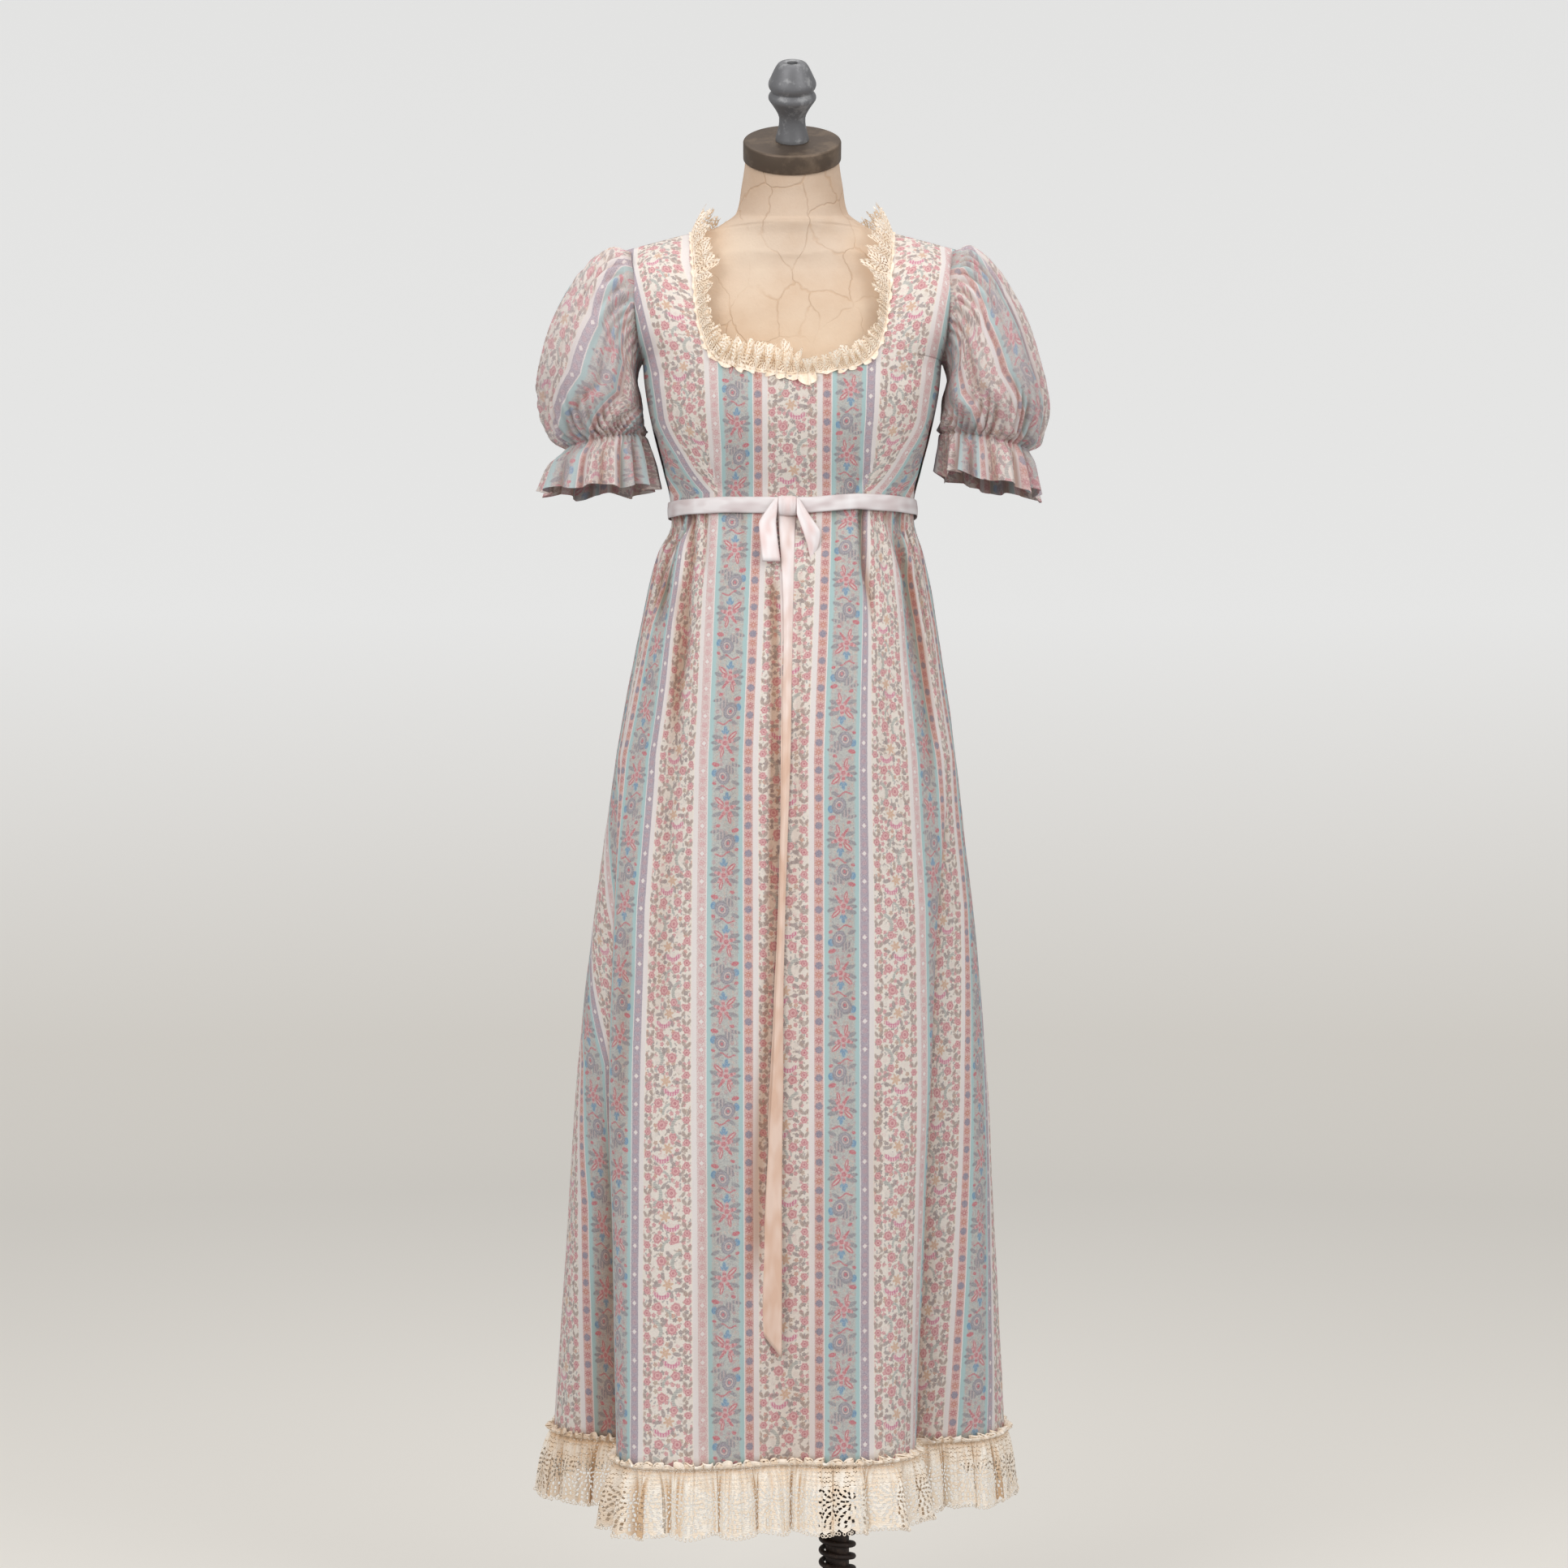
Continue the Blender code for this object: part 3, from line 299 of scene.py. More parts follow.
class Net:
    # the node tree of one material
    def __init__(self, name):
        self.material = bpy.data.materials.new(name)
        self.material.use_nodes = True
        self.tree = self.material.node_tree
        self.shader = self.tree.nodes["Principled BSDF"]

    def feed(self, socket, value):
        if isinstance(value, Wire):
            self.tree.links.new(value.socket, socket)
        else:
            socket.default_value = value

    def node(self, kind, settings=None, inputs=None, output=0):
        made = self.tree.nodes.new("ShaderNode" + kind)
        for key, value in (settings or {}).items():
            setattr(made, key, value)
        for key, value in (inputs or {}).items():
            self.feed(made.inputs[key], value)
        return Wire(self, made.outputs[output])

    def maths(self, operation, a, b=None, c=None, clamp=False):
        inputs = {k: v for k, v in enumerate((a, b, c)) if v is not None}
        return self.node("Math", {"operation": operation, "use_clamp": clamp}, inputs)

    def size(self, value):
        return self.maths("ABSOLUTE", value)

    def sign(self, value):
        return self.maths("SIGN", value)

    def sine(self, value):
        return self.maths("SINE", value)

    def cosine(self, value):
        return self.maths("COSINE", value)

    def mixed(self, share, a, b, blend="MIX"):
        return self.node("Mix", {"data_type": "RGBA", "blend_type": blend}, {0: share, 6: a, 7: b}, output=2)

    def layered(self, colour, *layers):
        # colours laid over the first one after another, each through its mask
        for mask, over in layers:
            colour = self.mixed(mask, colour, over)
        return colour

    def noise(self, place, scale, detail=1.0, dimensions="3D", **more):
        return self.node("TexNoise", {"noise_dimensions": dimensions},
                         dict(more, Vector=place, Scale=scale, Detail=detail))

    def stored(self, name):
        # the number that setShade gave every point
        return self.node("Attribute", {"attribute_name": name}, output="Fac")

    def here(self):
        return self.node("TexCoord", output="Object")

    def split(self, vector):
        parts = self.tree.nodes.new("ShaderNodeSeparateXYZ")
        self.feed(parts.inputs[0], vector)
        return [Wire(self, part) for part in parts.outputs]

    def turn(self, vector):
        x, y, _ = self.split(vector)
        return self.maths("ARCTAN2", y, x)

    def set(self, **values):
        for key, value in values.items():
            self.feed(self.shader.inputs[key.replace("_", " ")], value)

    def flatUv(self):
        # cloth coordinates in millimetres
        u, v, _ = self.split(self.node("UVMap", {"uv_map": "cloth"}))
        return u * 1000.0, v * 1000.0

    def wrap(self, value, half):
        return self.maths("WRAP", value, half, -half)

    def above(self, value, edge, soft):
        # 0 below an edge, 1 above it
        return self.maths("MULTIPLY_ADD", value, 1.0 / soft, 0.5 - edge / soft, clamp=True)

    def below(self, value, edge, soft):
        return self.maths("MULTIPLY_ADD", value, -1.0 / soft, 0.5 + edge / soft, clamp=True)

    def near(self, value, middle, half, soft):
        return self.below(self.size(value - middle), half, soft)

    def point(self, x, y):
        return self.node("CombineXYZ", None, {0: x, 1: y})

    def local(self, point, x, y, across, down, turn=0.0):
        # the point seen from the middle of an ellipse, which becomes the unit circle
        around = (0.0, 0.0, math.radians(turn))
        return self.node("Mapping", {"vector_type": "TEXTURE"},
                         {0: point, 1: (x, y, 0.0), 2: around, 3: (across, down, 1.0)})

    def reach(self, vector):
        return self.node("VectorMath", {"operation": "LENGTH"}, {0: vector}, output="Value")

    def blob(self, point, x, y, across, down, turn=0.0, soft=0.5):
        far = self.reach(self.local(point, x, y, across, down, turn))
        return self.below(far, 1.0, soft / min(across, down))

    def blobs(self, point, name):
        return self.most(*[self.blob(point, *row) for row in motifs[name]])

    def ring(self, point, x, y, radius, width, squash=1.0, turn=0.0, soft=0.5):
        far = self.reach(self.local(point, x, y, radius, radius * squash, turn))
        return self.near(far, 1.0, 0.5 * width / radius, soft / radius)

    def flower(self, point, x, y, radius, petals, depth=0.3, turn=0.0, soft=0.5):
        # petals round a middle: returns the petals and the distance in radii
        seen = self.local(point, x, y, radius, radius, turn)
        far = self.reach(seen)
        wave = self.cosine(self.turn(seen) * petals)
        edge = self.maths("MULTIPLY_ADD", wave, depth * 0.5, 1.0 - depth * 0.5)
        return self.below(far - edge, 0.0, soft / radius), far

    def folded(self, operation, values):
        total = values[0]
        for value in values[1:]:
            total = self.maths(operation, total, value)
        return total

    def most(self, *values):
        return self.folded("MAXIMUM", values)

    def least(self, *values):
        return self.folded("MINIMUM", values)

    def bump(self, height, distance, strength=1.0):
        return self.node("Bump", None, {"Strength": strength, "Distance": distance, "Height": height})


# The printed cotton: stripes and flowers in millimetres of flat cloth
cloth = {
    "halfRepeat": 122.0,
    "creamEdge": 26.5,
    "coralMiddle": 36.5,
    "narrowHalf": 4.7,
    "aquaMiddle": 61.0,
    "aquaHalf": 18.7,
    "sideMiddle": 85.4,
    "squarePitch": 28.9,
    "flowerPitch": 69.0,
    "threadPitch": 0.55,
    "cream": ink(243, 233, 222),
    "white": ink(239, 230, 226),
    "aqua": ink(181, 207, 206),
    "taupe": ink(205, 193, 183),
    "foliage": ink(166, 164, 166),
    "coral": ink(228, 184, 176),
    "coralDeep": ink(196, 108, 116),
    "orange": ink(226, 182, 160),
    "brick": ink(208, 130, 106),
    "pink": ink(230, 172, 172),
    "pinkDeep": ink(200, 110, 124),
    "rose": ink(212, 96, 108),
    "magenta": ink(216, 112, 150),
    "lavender": ink(178, 166, 178),
    "palePink": ink(232, 204, 196),
    "sidePink": ink(230, 212, 206),
    "plum": ink(146, 122, 140),
    "square": ink(124, 136, 160),
    "bud": ink(112, 156, 190),
    "leaf": ink(142, 134, 142),
    "leafWarm": ink(168, 144, 134),
    "stem": ink(190, 196, 186),
    "tan": ink(220, 182, 146),
    # colour of the painted shade in folds, creases and beside the ribbon tails
    "fold": ink(200, 166, 144),
    "sheer": ink(204, 186, 188),
}


# Motifs of the print: x, y, half width, half height, turn and softness of each blob;
# of a rose x, y, radius, number of petals and their depth
motifs = {
    "leaves": ((-9.6, -23.6, 5.6, 2.4, 22, 0.8), (-9.8, -12.6, 5.8, 2.6, -16, 0.8),
               (8.6, -24.4, 5.6, 2.2, -18, 0.8), (10.8, -15.0, 5.0, 2.3, 24, 0.8),
               (-11.6, -18.0, 4.8, 1.9, 0, 0.8), (6.6, 3.6, 5.0, 2.0, -30, 0.8),
               (-10.6, 8.6, 4.6, 2.1, 24, 0.8)),
    "redPetals": ((6.4, -10.8, 6.2, 2.5, 42, 0.8), (-4.2, -29.0, 5.2, 1.9, 76, 0.8),
                  (4.6, -27.0, 3.8, 1.4, -50, 0.8), (10.6, 28.0, 4.0, 2.3, 14, 0.8)),
    "petalLights": ((6.4, -10.8, 4.4, 0.8, 42, 0.5), (-4.2, -29.0, 3.4, 0.6, 76, 0.5)),
    "budBed": ((-1.4, -4.0, 4.0, 5.4, 0, 1.6),),
    "bud": ((-1.4, -4.6, 2.0, 4.0, 6, 0.7), (-3.8, -7.2, 1.2, 2.6, 35, 0.7),
            (1.0, -7.4, 1.2, 2.6, -35, 0.7), (11.8, 19.2, 3.0, 4.0, 10, 0.9)),
    "paisley": ((3.0, 15.6, 7.4, 9.0, -24, 1.0),),
    "tail": ((-4.6, 22.6, 6.0, 3.4, 46, 1.0), (-10.6, 27.0, 5.2, 1.9, 12, 0.9)),
    "redDots": ((3.0, 14.8, 1.5, 1.9, 0, 0.7), (-7.6, 33.0, 2.6, 1.9, 30, 0.8),
                (12.0, 8.0, 2.2, 1.6, 20, 0.8)),
    "halo": ((1.5, 0.0, 7.4, 6.2, 0, 1.6), (-5.6, -10.4, 8.6, 5.2, 0, 1.6),
             (12.4, 21.0, 6.4, 4.0, 30, 1.8), (-13.0, 12.0, 5.0, 3.4, 50, 1.8)),
    "creamLeaves": ((-10.4, -0.8, 4.8, 2.0, 8, 0.8), (-4.0, 8.6, 2.1, 4.2, 12, 0.8),
                    (4.8, -9.2, 2.0, 4.6, 24, 0.8), (12.6, 5.2, 4.2, 2.0, -30, 0.8),
                    (11.4, -4.6, 4.0, 1.8, 14, 0.8), (2.6, 31.0, 4.2, 2.0, -50, 0.8)),
    "borderLeaf": ((-2.6, 7.4, 1.9, 3.8, 35, 0.8), (2.4, 7.0, 1.7, 3.4, -32, 0.8),
                   (-3.6, -7.6, 1.6, 3.2, -30, 0.8)),
    "roses": ((9.8, -22.6, 5.6, 7, 0.26), (-5.4, 24.0, 6.0, 8, 0.22),
              (-9.0, -22.6, 5.6, 5, 0.34), (7.0, 12.0, 4.8, 6, 0.26)),
}


def scattered(net, x, y, size, petals, shift):
    # small flowers or leaves strewn by cells: distance from the middle, petal edge and a random number
    point = net.point((x + shift) / size, (y - shift * 0.7) / size)
    cells = net.tree.nodes.new("ShaderNodeTexVoronoi")
    cells.voronoi_dimensions = "2D"
    cells.feature = "F1"
    net.feed(cells.inputs["Vector"], point)
    cells.inputs["Scale"].default_value = 1.0
    cells.inputs["Randomness"].default_value = 0.72
    middle = Wire(net, cells.outputs["Position"])
    local = net.node("VectorMath", {"operation": "SUBTRACT"}, {0: point, 1: middle})
    pick = net.node("SeparateColor", None, {0: Wire(net, cells.outputs["Color"])})
    return net.reach(local), net.cosine(net.turn(local) * petals + pick * 12.0), pick


def printedCotton(name, sheer=0.0):
    net = Net(name)
    flatX, flatY = net.flatUv()
    # the print is never quite sharp or straight
    wander = net.noise(net.point(flatX, flatY), 0.35) - 0.5
    grain = net.noise(net.point(flatX, flatY), 0.9, 2.0)
    flatX = flatX + wander * 0.8
    flatY = flatY + wander * 1.2
    flat = net.point(flatX, flatY)
    # fine squiggles that break every ink into small strokes
    strokes = net.noise(flat, 0.85, dimensions="2D", Distortion=1.2)
    pale = net.above(strokes, 0.545, 0.06)
    dark = net.below(strokes, 0.44, 0.06)
    fleck = net.noise(flat, 1.35, dimensions="2D", Distortion=0.6)
    paleFleck = net.above(fleck, 0.53, 0.06)
    darkFleck = net.below(fleck, 0.43, 0.06)
    u = net.wrap(flatX, cloth["halfRepeat"])
    side = net.sign(u)
    a = net.size(u)

    # two layers of small flowers and leaves, used under the larger ones everywhere
    farA, waveA, pickA = scattered(net, flatX, flatY, 6.4, 5.0, 3.0)
    farB, waveB, pickB = scattered(net, flatX, flatY, 4.6, 2.0, 41.0)
    bloom = net.below(farA - waveA * 0.07, 0.36, 0.07)
    bloomLine = net.most(net.near(farA - waveA * 0.05, 0.24, 0.045, 0.05), net.below(farA, 0.09, 0.05))
    sprig = net.below(farB - waveB * 0.14, 0.27, 0.08)
    sprigLine = net.near(farB - waveB * 0.14, 0.26, 0.05, 0.05)

    # narrow stripes: blue squares on coral, white diamonds on lavender and on pink
    inner = net.below(a, cloth["aquaMiddle"], 0.01)
    nx = a - (cloth["sideMiddle"] + (inner * (cloth["coralMiddle"] - cloth["sideMiddle"])))
    sy = net.wrap(flatY, cloth["squarePitch"] / 2)
    fy = net.wrap(flatY, cloth["squarePitch"] / 6)
    boxX = net.size(nx)
    boxY = net.size(sy)
    floret, far = net.flower(net.point(nx, fy), 0, 0, 4.2, 8, 0.36, soft=0.7)
    heart = net.below(far, 0.26, 0.14)
    ringDots = net.near(far, 0.62, 0.12, 0.12)
    speck = net.above(net.noise(flat, 0.85, dimensions="2D"), 0.5, 0.08)
    square = net.below(net.reach(net.point(boxX, boxY)) + (speck - 0.5) * 0.9, 3.7, 0.9)
    alternate = net.above(net.cosine(flatY * (2 * math.pi / cloth["squarePitch"] * 1.5)), 0.0, 0.2)
    coral = net.layered(
        net.mixed(0.60, cloth["coral"], cloth["palePink"]),
        (floret * 0.95, net.mixed(alternate, cloth["coralDeep"], cloth["brick"])),
        (net.most(heart * 0.8, ringDots * 0.35), cloth["palePink"]),
        (speck * 0.30, cloth["coralDeep"]),
        (square * 0.92, cloth["square"]),
        (paleFleck * 0.40, cloth["palePink"]),
        (darkFleck * 0.35, cloth["leafWarm"]),
        (square * speck * 0.3, cloth["lavender"]))
    isLavender = net.above(side, 0.0, 0.1)
    smallFloret = net.below(far, 0.70, 0.2) * net.below(boxX, 3.3, 0.6)
    sideBase = net.layered(
        net.mixed(isLavender, cloth["sidePink"], cloth["lavender"]),
        (smallFloret * 0.35, cloth["pink"]),
        (net.most(heart * 0.3, darkFleck * 0.55, ringDots * smallFloret * 0.4),
         net.mixed(isLavender, cloth["pinkDeep"], cloth["plum"])),
        (paleFleck * 0.40, cloth["white"]),
        (net.below(boxX + boxY, 2.7, 0.8), cloth["white"]))
    narrow = net.mixed(inner, sideBase, coral)

    # aqua stripe: starburst, bud, squiggle and paisley, every second one mirrored
    bandX = cloth["aquaMiddle"] - a
    bandY = flatY * side * -1.0
    parity = net.sign(net.sine(bandY * (math.pi / cloth["flowerPitch"])))
    bandY = net.wrap(bandY - cloth["flowerPitch"] / 2, cloth["flowerPitch"] / 2)
    mirrored = bandX * parity
    p = net.point(mirrored, bandY)
    ground = net.below(net.size(bandX + (grain - 0.5) * 5.0), 13.6, 2.0)
    star, starFar = net.flower(p, -1.5, -18.5, 10.2, 5, 0.74, 18, soft=0.9)
    squiggleY = net.sine(mirrored * 0.45) * 1.6 + (mirrored * 0.18)
    squiggle = net.near(bandY - squiggleY, 3.4, 0.95, 0.7) * net.near(mirrored, -3.0, 8.0, 1.5)
    tail = net.blobs(p, "tail")
    aqua = net.layered(
        net.mixed(ground * net.maths("MULTIPLY_ADD", grain, 0.7, 0.38), cloth["aqua"], cloth["taupe"]),
        (sprig * ground * 0.45, net.mixed(net.above(pickB, 0.55, 0.05), cloth["foliage"], cloth["orange"])),
        (bloomLine * ground * net.below(pickA, 0.45, 0.05) * 0.8, cloth["pinkDeep"]),
        (net.blobs(p, "leaves") * 0.8, cloth["leaf"]),
        (star * 0.95, cloth["pink"]),
        (star * net.above(net.sine(starFar * 14.0), -0.2, 0.5) * 0.85, cloth["rose"]),
        (net.blobs(p, "redPetals"), cloth["rose"]),
        (net.blobs(p, "petalLights"), cloth["palePink"]),
        (net.blobs(p, "budBed") * 0.55, cloth["aqua"]),
        (net.blobs(p, "bud"), cloth["bud"]),
        (net.most(net.blobs(p, "paisley"), tail) * 0.95, cloth["leaf"]),
        (net.ring(p, 3.0, 15.0, 5.2, 1.6, 1.2, -24, 0.9) * 0.6, cloth["lavender"]),
        (net.most(tail * net.above(net.sine(mirrored * 1.8), 0.1, 0.5) * 0.5,
                  net.ring(p, 3.0, 15.0, 3.2, 1.0, 1.2, -24, 0.8)), cloth["palePink"]),
        (net.most(squiggle * 0.9, net.blobs(p, "redDots")), cloth["rose"]),
        (net.most(pale, paleFleck * 0.8) * ground * 0.36, net.mixed(grain, cloth["aqua"], cloth["cream"])),
        (net.most(dark, darkFleck * 0.8) * ground * 0.32, cloth["leaf"]))

    # wide cream stripe: border of rosettes and leaves, vine of bigger flowers between
    outer = net.above(a, cloth["aquaMiddle"], 0.01)
    creamX = u - side * outer * cloth["halfRepeat"]
    creamParity = net.sign(net.sine(flatY * (math.pi / cloth["flowerPitch"]) + outer * 1.1))
    creamY = net.wrap(flatY + outer * (cloth["flowerPitch"] * 1.1 / math.pi) - cloth["flowerPitch"] / 2,
                      cloth["flowerPitch"] / 2)
    vineX = creamX * creamParity
    q = net.point(vineX, creamY)
    inField = net.below(net.size(creamX), 25.4, 1.0)
    bloomInk = net.mixed(net.above(pickA, 0.62, 0.04), cloth["pink"],
                         net.mixed(net.above(pickA, 0.80, 0.04), cloth["tan"], cloth["leafWarm"]))
    shownBloom = inField * net.above(pickA, 0.22, 0.04)
    stem = net.most(net.ring(q, 17.0, 22.0, 11.0, 3.6, 1.0, 0, 0.9) * net.below(vineX, 15.0, 1.5),
                    net.ring(q, -6.0, -33.0, 10.0, 2.6, 1.0, 0, 0.9) * net.above(vineX, -6.0, 1.5))
    tanFlower, tanFar = net.flower(q, 1.5, 0.2, 6.0, 6, 0.5, 12, soft=0.9)
    fan = net.ring(q, -5.0, -5.6, 7.6, 4.2, 1.0, 0, 0.9) * net.below(creamY, -7.6, 1.0)
    fanDots = net.above(net.cosine(vineX * 2.3), 0.1, 0.5) * net.above(net.size(creamY + 11.5), 0.4, 1.0)
    roses = [net.flower(q, *row, soft=0.8) for row in motifs["roses"]]
    roseFar = net.least(*[distance for petals, distance in roses])
    borderX = net.size(creamX) - 21.4
    borderY = net.wrap(flatY + net.sign(creamX) * 5.0, cloth["flowerPitch"] / 6)
    b = net.point(borderX, borderY)
    borderRose, borderFar = net.flower(b, 0.0, -1.0, 4.4, 6, 0.26, soft=0.8)
    cream = net.layered(
        cloth["cream"],
        (net.most(sprig * 0.62, sprigLine * 0.55) * inField * net.above(pickB, 0.34, 0.04),
         net.mixed(net.above(pickB, 0.66, 0.05), cloth["leafWarm"], cloth["leaf"])),
        (bloom * shownBloom * 0.85, bloomInk),
        (bloomLine * shownBloom * 0.85,
         net.mixed(net.above(pickA, 0.70, 0.04), cloth["pinkDeep"], cloth["leaf"])),
        (net.blobs(q, "halo") * 0.85, cloth["cream"]),
        (stem * 0.8, cloth["stem"]),
        (stem * net.above(net.sine(creamY * 3.4), 0.2, 0.5) * 0.55, cloth["leaf"]),
        (net.blobs(q, "creamLeaves") * 0.85, net.mixed(grain, cloth["leafWarm"], cloth["leaf"])),
        (tanFlower, cloth["tan"]),
        (tanFlower * net.above(net.sine(tanFar * 15.0), 0.2, 0.5) * 0.6, cloth["coral"]),
        (fan, cloth["magenta"]),
        (fan * fanDots * 0.65, cloth["cream"]),
        (net.most(*[petals for petals, distance in roses]) * 0.9, cloth["pink"]),
        (net.most(net.near(roseFar, 0.66, 0.12, 0.12) * 0.75, net.below(roseFar, 0.30, 0.14) * 0.9),
         cloth["pinkDeep"]),
        (net.blobs(b, "borderLeaf") * 0.85, cloth["leafWarm"]),
        (borderRose * 0.92, cloth["pink"]),
        (net.most(net.near(borderFar, 0.62, 0.13, 0.12) * 0.75, net.below(borderFar, 0.28, 0.12)),
         cloth["pinkDeep"]),
        (net.most(pale * 0.7, paleFleck) * 0.30, cloth["cream"]),
        (net.most(dark * 0.5, darkFleck) * inField * 0.16,
         net.mixed(grain, cloth["leaf"], cloth["leafWarm"])))

    # stripes side by side
    isCream = net.most(net.below(a, cloth["creamEdge"], 0.7),
                       net.above(a, cloth["halfRepeat"] - cloth["creamEdge"], 0.7))
    isNarrow = net.below(boxX, cloth["narrowHalf"], 0.6)
    isAqua = net.below(net.size(bandX), cloth["aquaHalf"], 0.6)
    colour = net.layered(cloth["white"], (isCream, cream), (isNarrow, narrow), (isAqua, aqua))

    # the ink is a little uneven and the voile shows its threads; painted shade makes folds, hollows and
    # creases darker and warmer
    perThread = 2 * math.pi / cloth["threadPitch"]
    threads = net.sine(flatX * perThread) * net.sine(flatY * perThread)
    # painted shade from the number stored on the mesh
    folds = net.maths("MULTIPLY", net.stored("paintedShade"), 0.85, clamp=True)
    colour = net.mixed(folds, colour, cloth["fold"], "MULTIPLY")
    # unlined sleeves are sheer and look paler and greyer
    if sheer:
        colour = net.mixed(sheer, colour, cloth["sheer"])
    tone = net.maths("MULTIPLY_ADD", grain, 0.14, 0.92) + threads * 0.02
    colour = net.node("VectorMath", {"operation": "SCALE"}, {0: colour, "Scale": tone})
    net.set(Base_Color=colour, Roughness=0.86, Normal=net.bump(threads + grain * 1.4, 0.00018, 0.6))
    net.set(Sheen_Weight=0.12, Sheen_Roughness=0.6, Specular_IOR_Level=0.25)
    print("nodes in the print", len(net.tree.nodes))
    return net.material


# Crocheted cotton lace: wheels, fans of small holes and a net at the top, cut out by alpha
lace = {
    "wheelPitch": 30.0,
    "colour": ink(248, 240, 228),
    "blush": ink(246, 230, 210),
    "shade": ink(208, 172, 134),
    "glow": ink(255, 226, 190),
    "shine": 0.05,
    "netPitch": 4.4,
    # radius, holes round it, half height of a hole, share of the turn that is open
    "rings": ((3.8, 6.0, 2.3, 0.02), (8.0, 10.0, 2.3, 0.05), (12.4, 15.0, 2.2, 0.08), (16.8, 18.0, 2.2, 0.10),
              (21.2, 24.0, 2.2, 0.12), (25.6, 28.0, 2.1, 0.15)),
}


def crochetLace(name, width, wheelDown, scale=1.0, top=12.0, shine=1.0):
    net = Net(name)
    flatX, flatY = net.flatUv()
    wander = net.noise(net.point(flatX, flatY), 0.25) - 0.5
    flatX = flatX + wander * 1.6 * scale
    flatY = flatY + wander * 2.2 * scale
    flat = net.point(flatX, flatY)
    half = lace["wheelPitch"] * 0.5 * scale
    cellX = net.wrap(flatX, half)
    cell = net.point(cellX / scale, (flatY - wheelDown) / scale)
    far = net.reach(cell)
    angle = net.turn(cell)
    # holes is 1 in the middle of a hole and falls to 0 on the threads
    holes = net.below(far, 1.5, 1.4)
    for radius, count, wide, duty in lace["rings"]:
        spokes = net.maths("MULTIPLY_ADD", net.cosine(angle * count), 1.0, -duty, clamp=True)
        ringWide = net.maths("MULTIPLY_ADD", net.size(far - radius), -1.0 / wide, 1.0, clamp=True)
        holes = net.most(holes, net.least(spokes * 1.4, ringWide * 1.6))
    inWheel = net.above(flatY, wheelDown - top * scale, 2.0)
    pitch = lace["netPitch"] * 0.5 * scale
    row = net.sign(net.sine(flatY * (math.pi / (2 * pitch))))
    netX = net.wrap(flatX + row * pitch * 0.5, pitch)
    netY = net.wrap(flatY, pitch)
    small = net.maths("MULTIPLY_ADD", net.reach(net.point(netX, netY)), -0.55 / scale, 1.0, clamp=True) * 0.8
    patches = net.noise(flat, 0.09)
    small = small * net.above(flatY, 7.0 * scale, 1.0) * net.above(patches, 0.42, 0.1)
    holes = net.maths("MULTIPLY", inWheel, holes) + (1.0 - inWheel) * small
    edge = net.size(net.sine(flatX * (math.pi / (8.5 * scale)))) * 3.4 * scale
    past = net.above(flatY - edge, width - 3.0 * scale, 0.5)
    threads = net.node("TexVoronoi", {"voronoi_dimensions": "2D"}, {"Vector": flat, "Scale": 0.62})
    rows = net.sine(flatY * (2 * math.pi / (1.9 * scale)))
    hollow = net.maths("MULTIPLY_ADD", threads, 0.5, net.maths("MULTIPLY", holes, 0.8) - 0.30, clamp=True)
    # painted shade: tan in and around the holes, between the threads and in the folds
    colour = net.layered(
        lace["colour"],
        (net.above(patches, 0.5, 0.2), lace["blush"]),
        (net.most(hollow * 0.6, net.above(holes, 0.30, 0.20) * 0.62), lace["shade"]),
        (net.maths("MULTIPLY", net.stored("paintedShade"), 0.95, clamp=True), lace["shade"]))
    open = net.most(net.above(holes, 0.44, 0.02), past)
    net.set(Base_Color=colour, Roughness=0.9, Alpha=net.maths("LESS_THAN", open, 0.5))
    height = threads * -1.0 + rows * 0.22 - holes * 1.6
    net.set(Normal=net.bump(height, 0.0007, 0.7), Sheen_Weight=0.1, Specular_IOR_Level=0.2)
    # painted light: the lace glows a little, standing in for light that comes through the thin thread
    net.set(Emission_Color=lace["glow"], Emission_Strength=lace["shine"] * shine)
    return net.material


# Satin ribbon with a fine lengthwise weave
ribbon = {
    # face, shaded face, and the same lower down
    "sash": (ink(244, 237, 236), ink(218, 203, 202), ink(244, 237, 236), ink(218, 203, 202)),
    "bow": (ink(246, 238, 237), ink(238, 214, 210), ink(246, 238, 237), ink(238, 214, 210)),
    "tail": (ink(248, 236, 233), ink(236, 212, 204), ink(240, 211, 193), ink(228, 190, 166)),
    "turnsBeige": (1.12, 0.16),
    # places of painted highlights on the sash, left to right
    "glints": (-0.152, 0.012),
    "glint": ink(255, 253, 252),
    "width": 0.0176,
    "thickness": 0.0005,
}


def satinRibbon(name, colours, glints=False):
    net = Net(name)
    flatX, flatY = net.flatUv()
    patches = net.noise(net.point(flatX * 0.03, flatY * 0.08), 1.0)
    weave = net.sine(flatY * (2 * math.pi / 0.35))
    edge = net.above(net.size(net.stored("across") - 0.5), 0.455, 0.01)
    x, _, z = net.split(net.here())
    low = net.below(z, *ribbon["turnsBeige"])
    face = net.mixed(low, colours[0], colours[2])
    shade = net.mixed(low, colours[1], colours[3])
    # painted shade and sheen: patches of the lit and the shaded face, and the shaded colour along both edges;
    # lower down the tail's colours are darker and more beige
    colour = net.mixed(net.above(patches, 0.5, 0.25), face, shade)
    colour = net.mixed(edge * 0.45, colour, shade)
    if glints:
        # painted highlights at fixed places across the sash
        glint = net.most(*[net.near(x, place, 0.003, 0.012) for place in ribbon["glints"]])
        colour = net.mixed(glint * 0.7, colour, ribbon["glint"])
    net.set(Base_Color=colour, Roughness=net.maths("MULTIPLY_ADD", patches, 0.2, 0.32))
    net.set(Normal=net.bump(weave + edge * 2.0, 0.00008, 0.5), Sheen_Weight=0.25, Anisotropic=0.5)
    return net.material


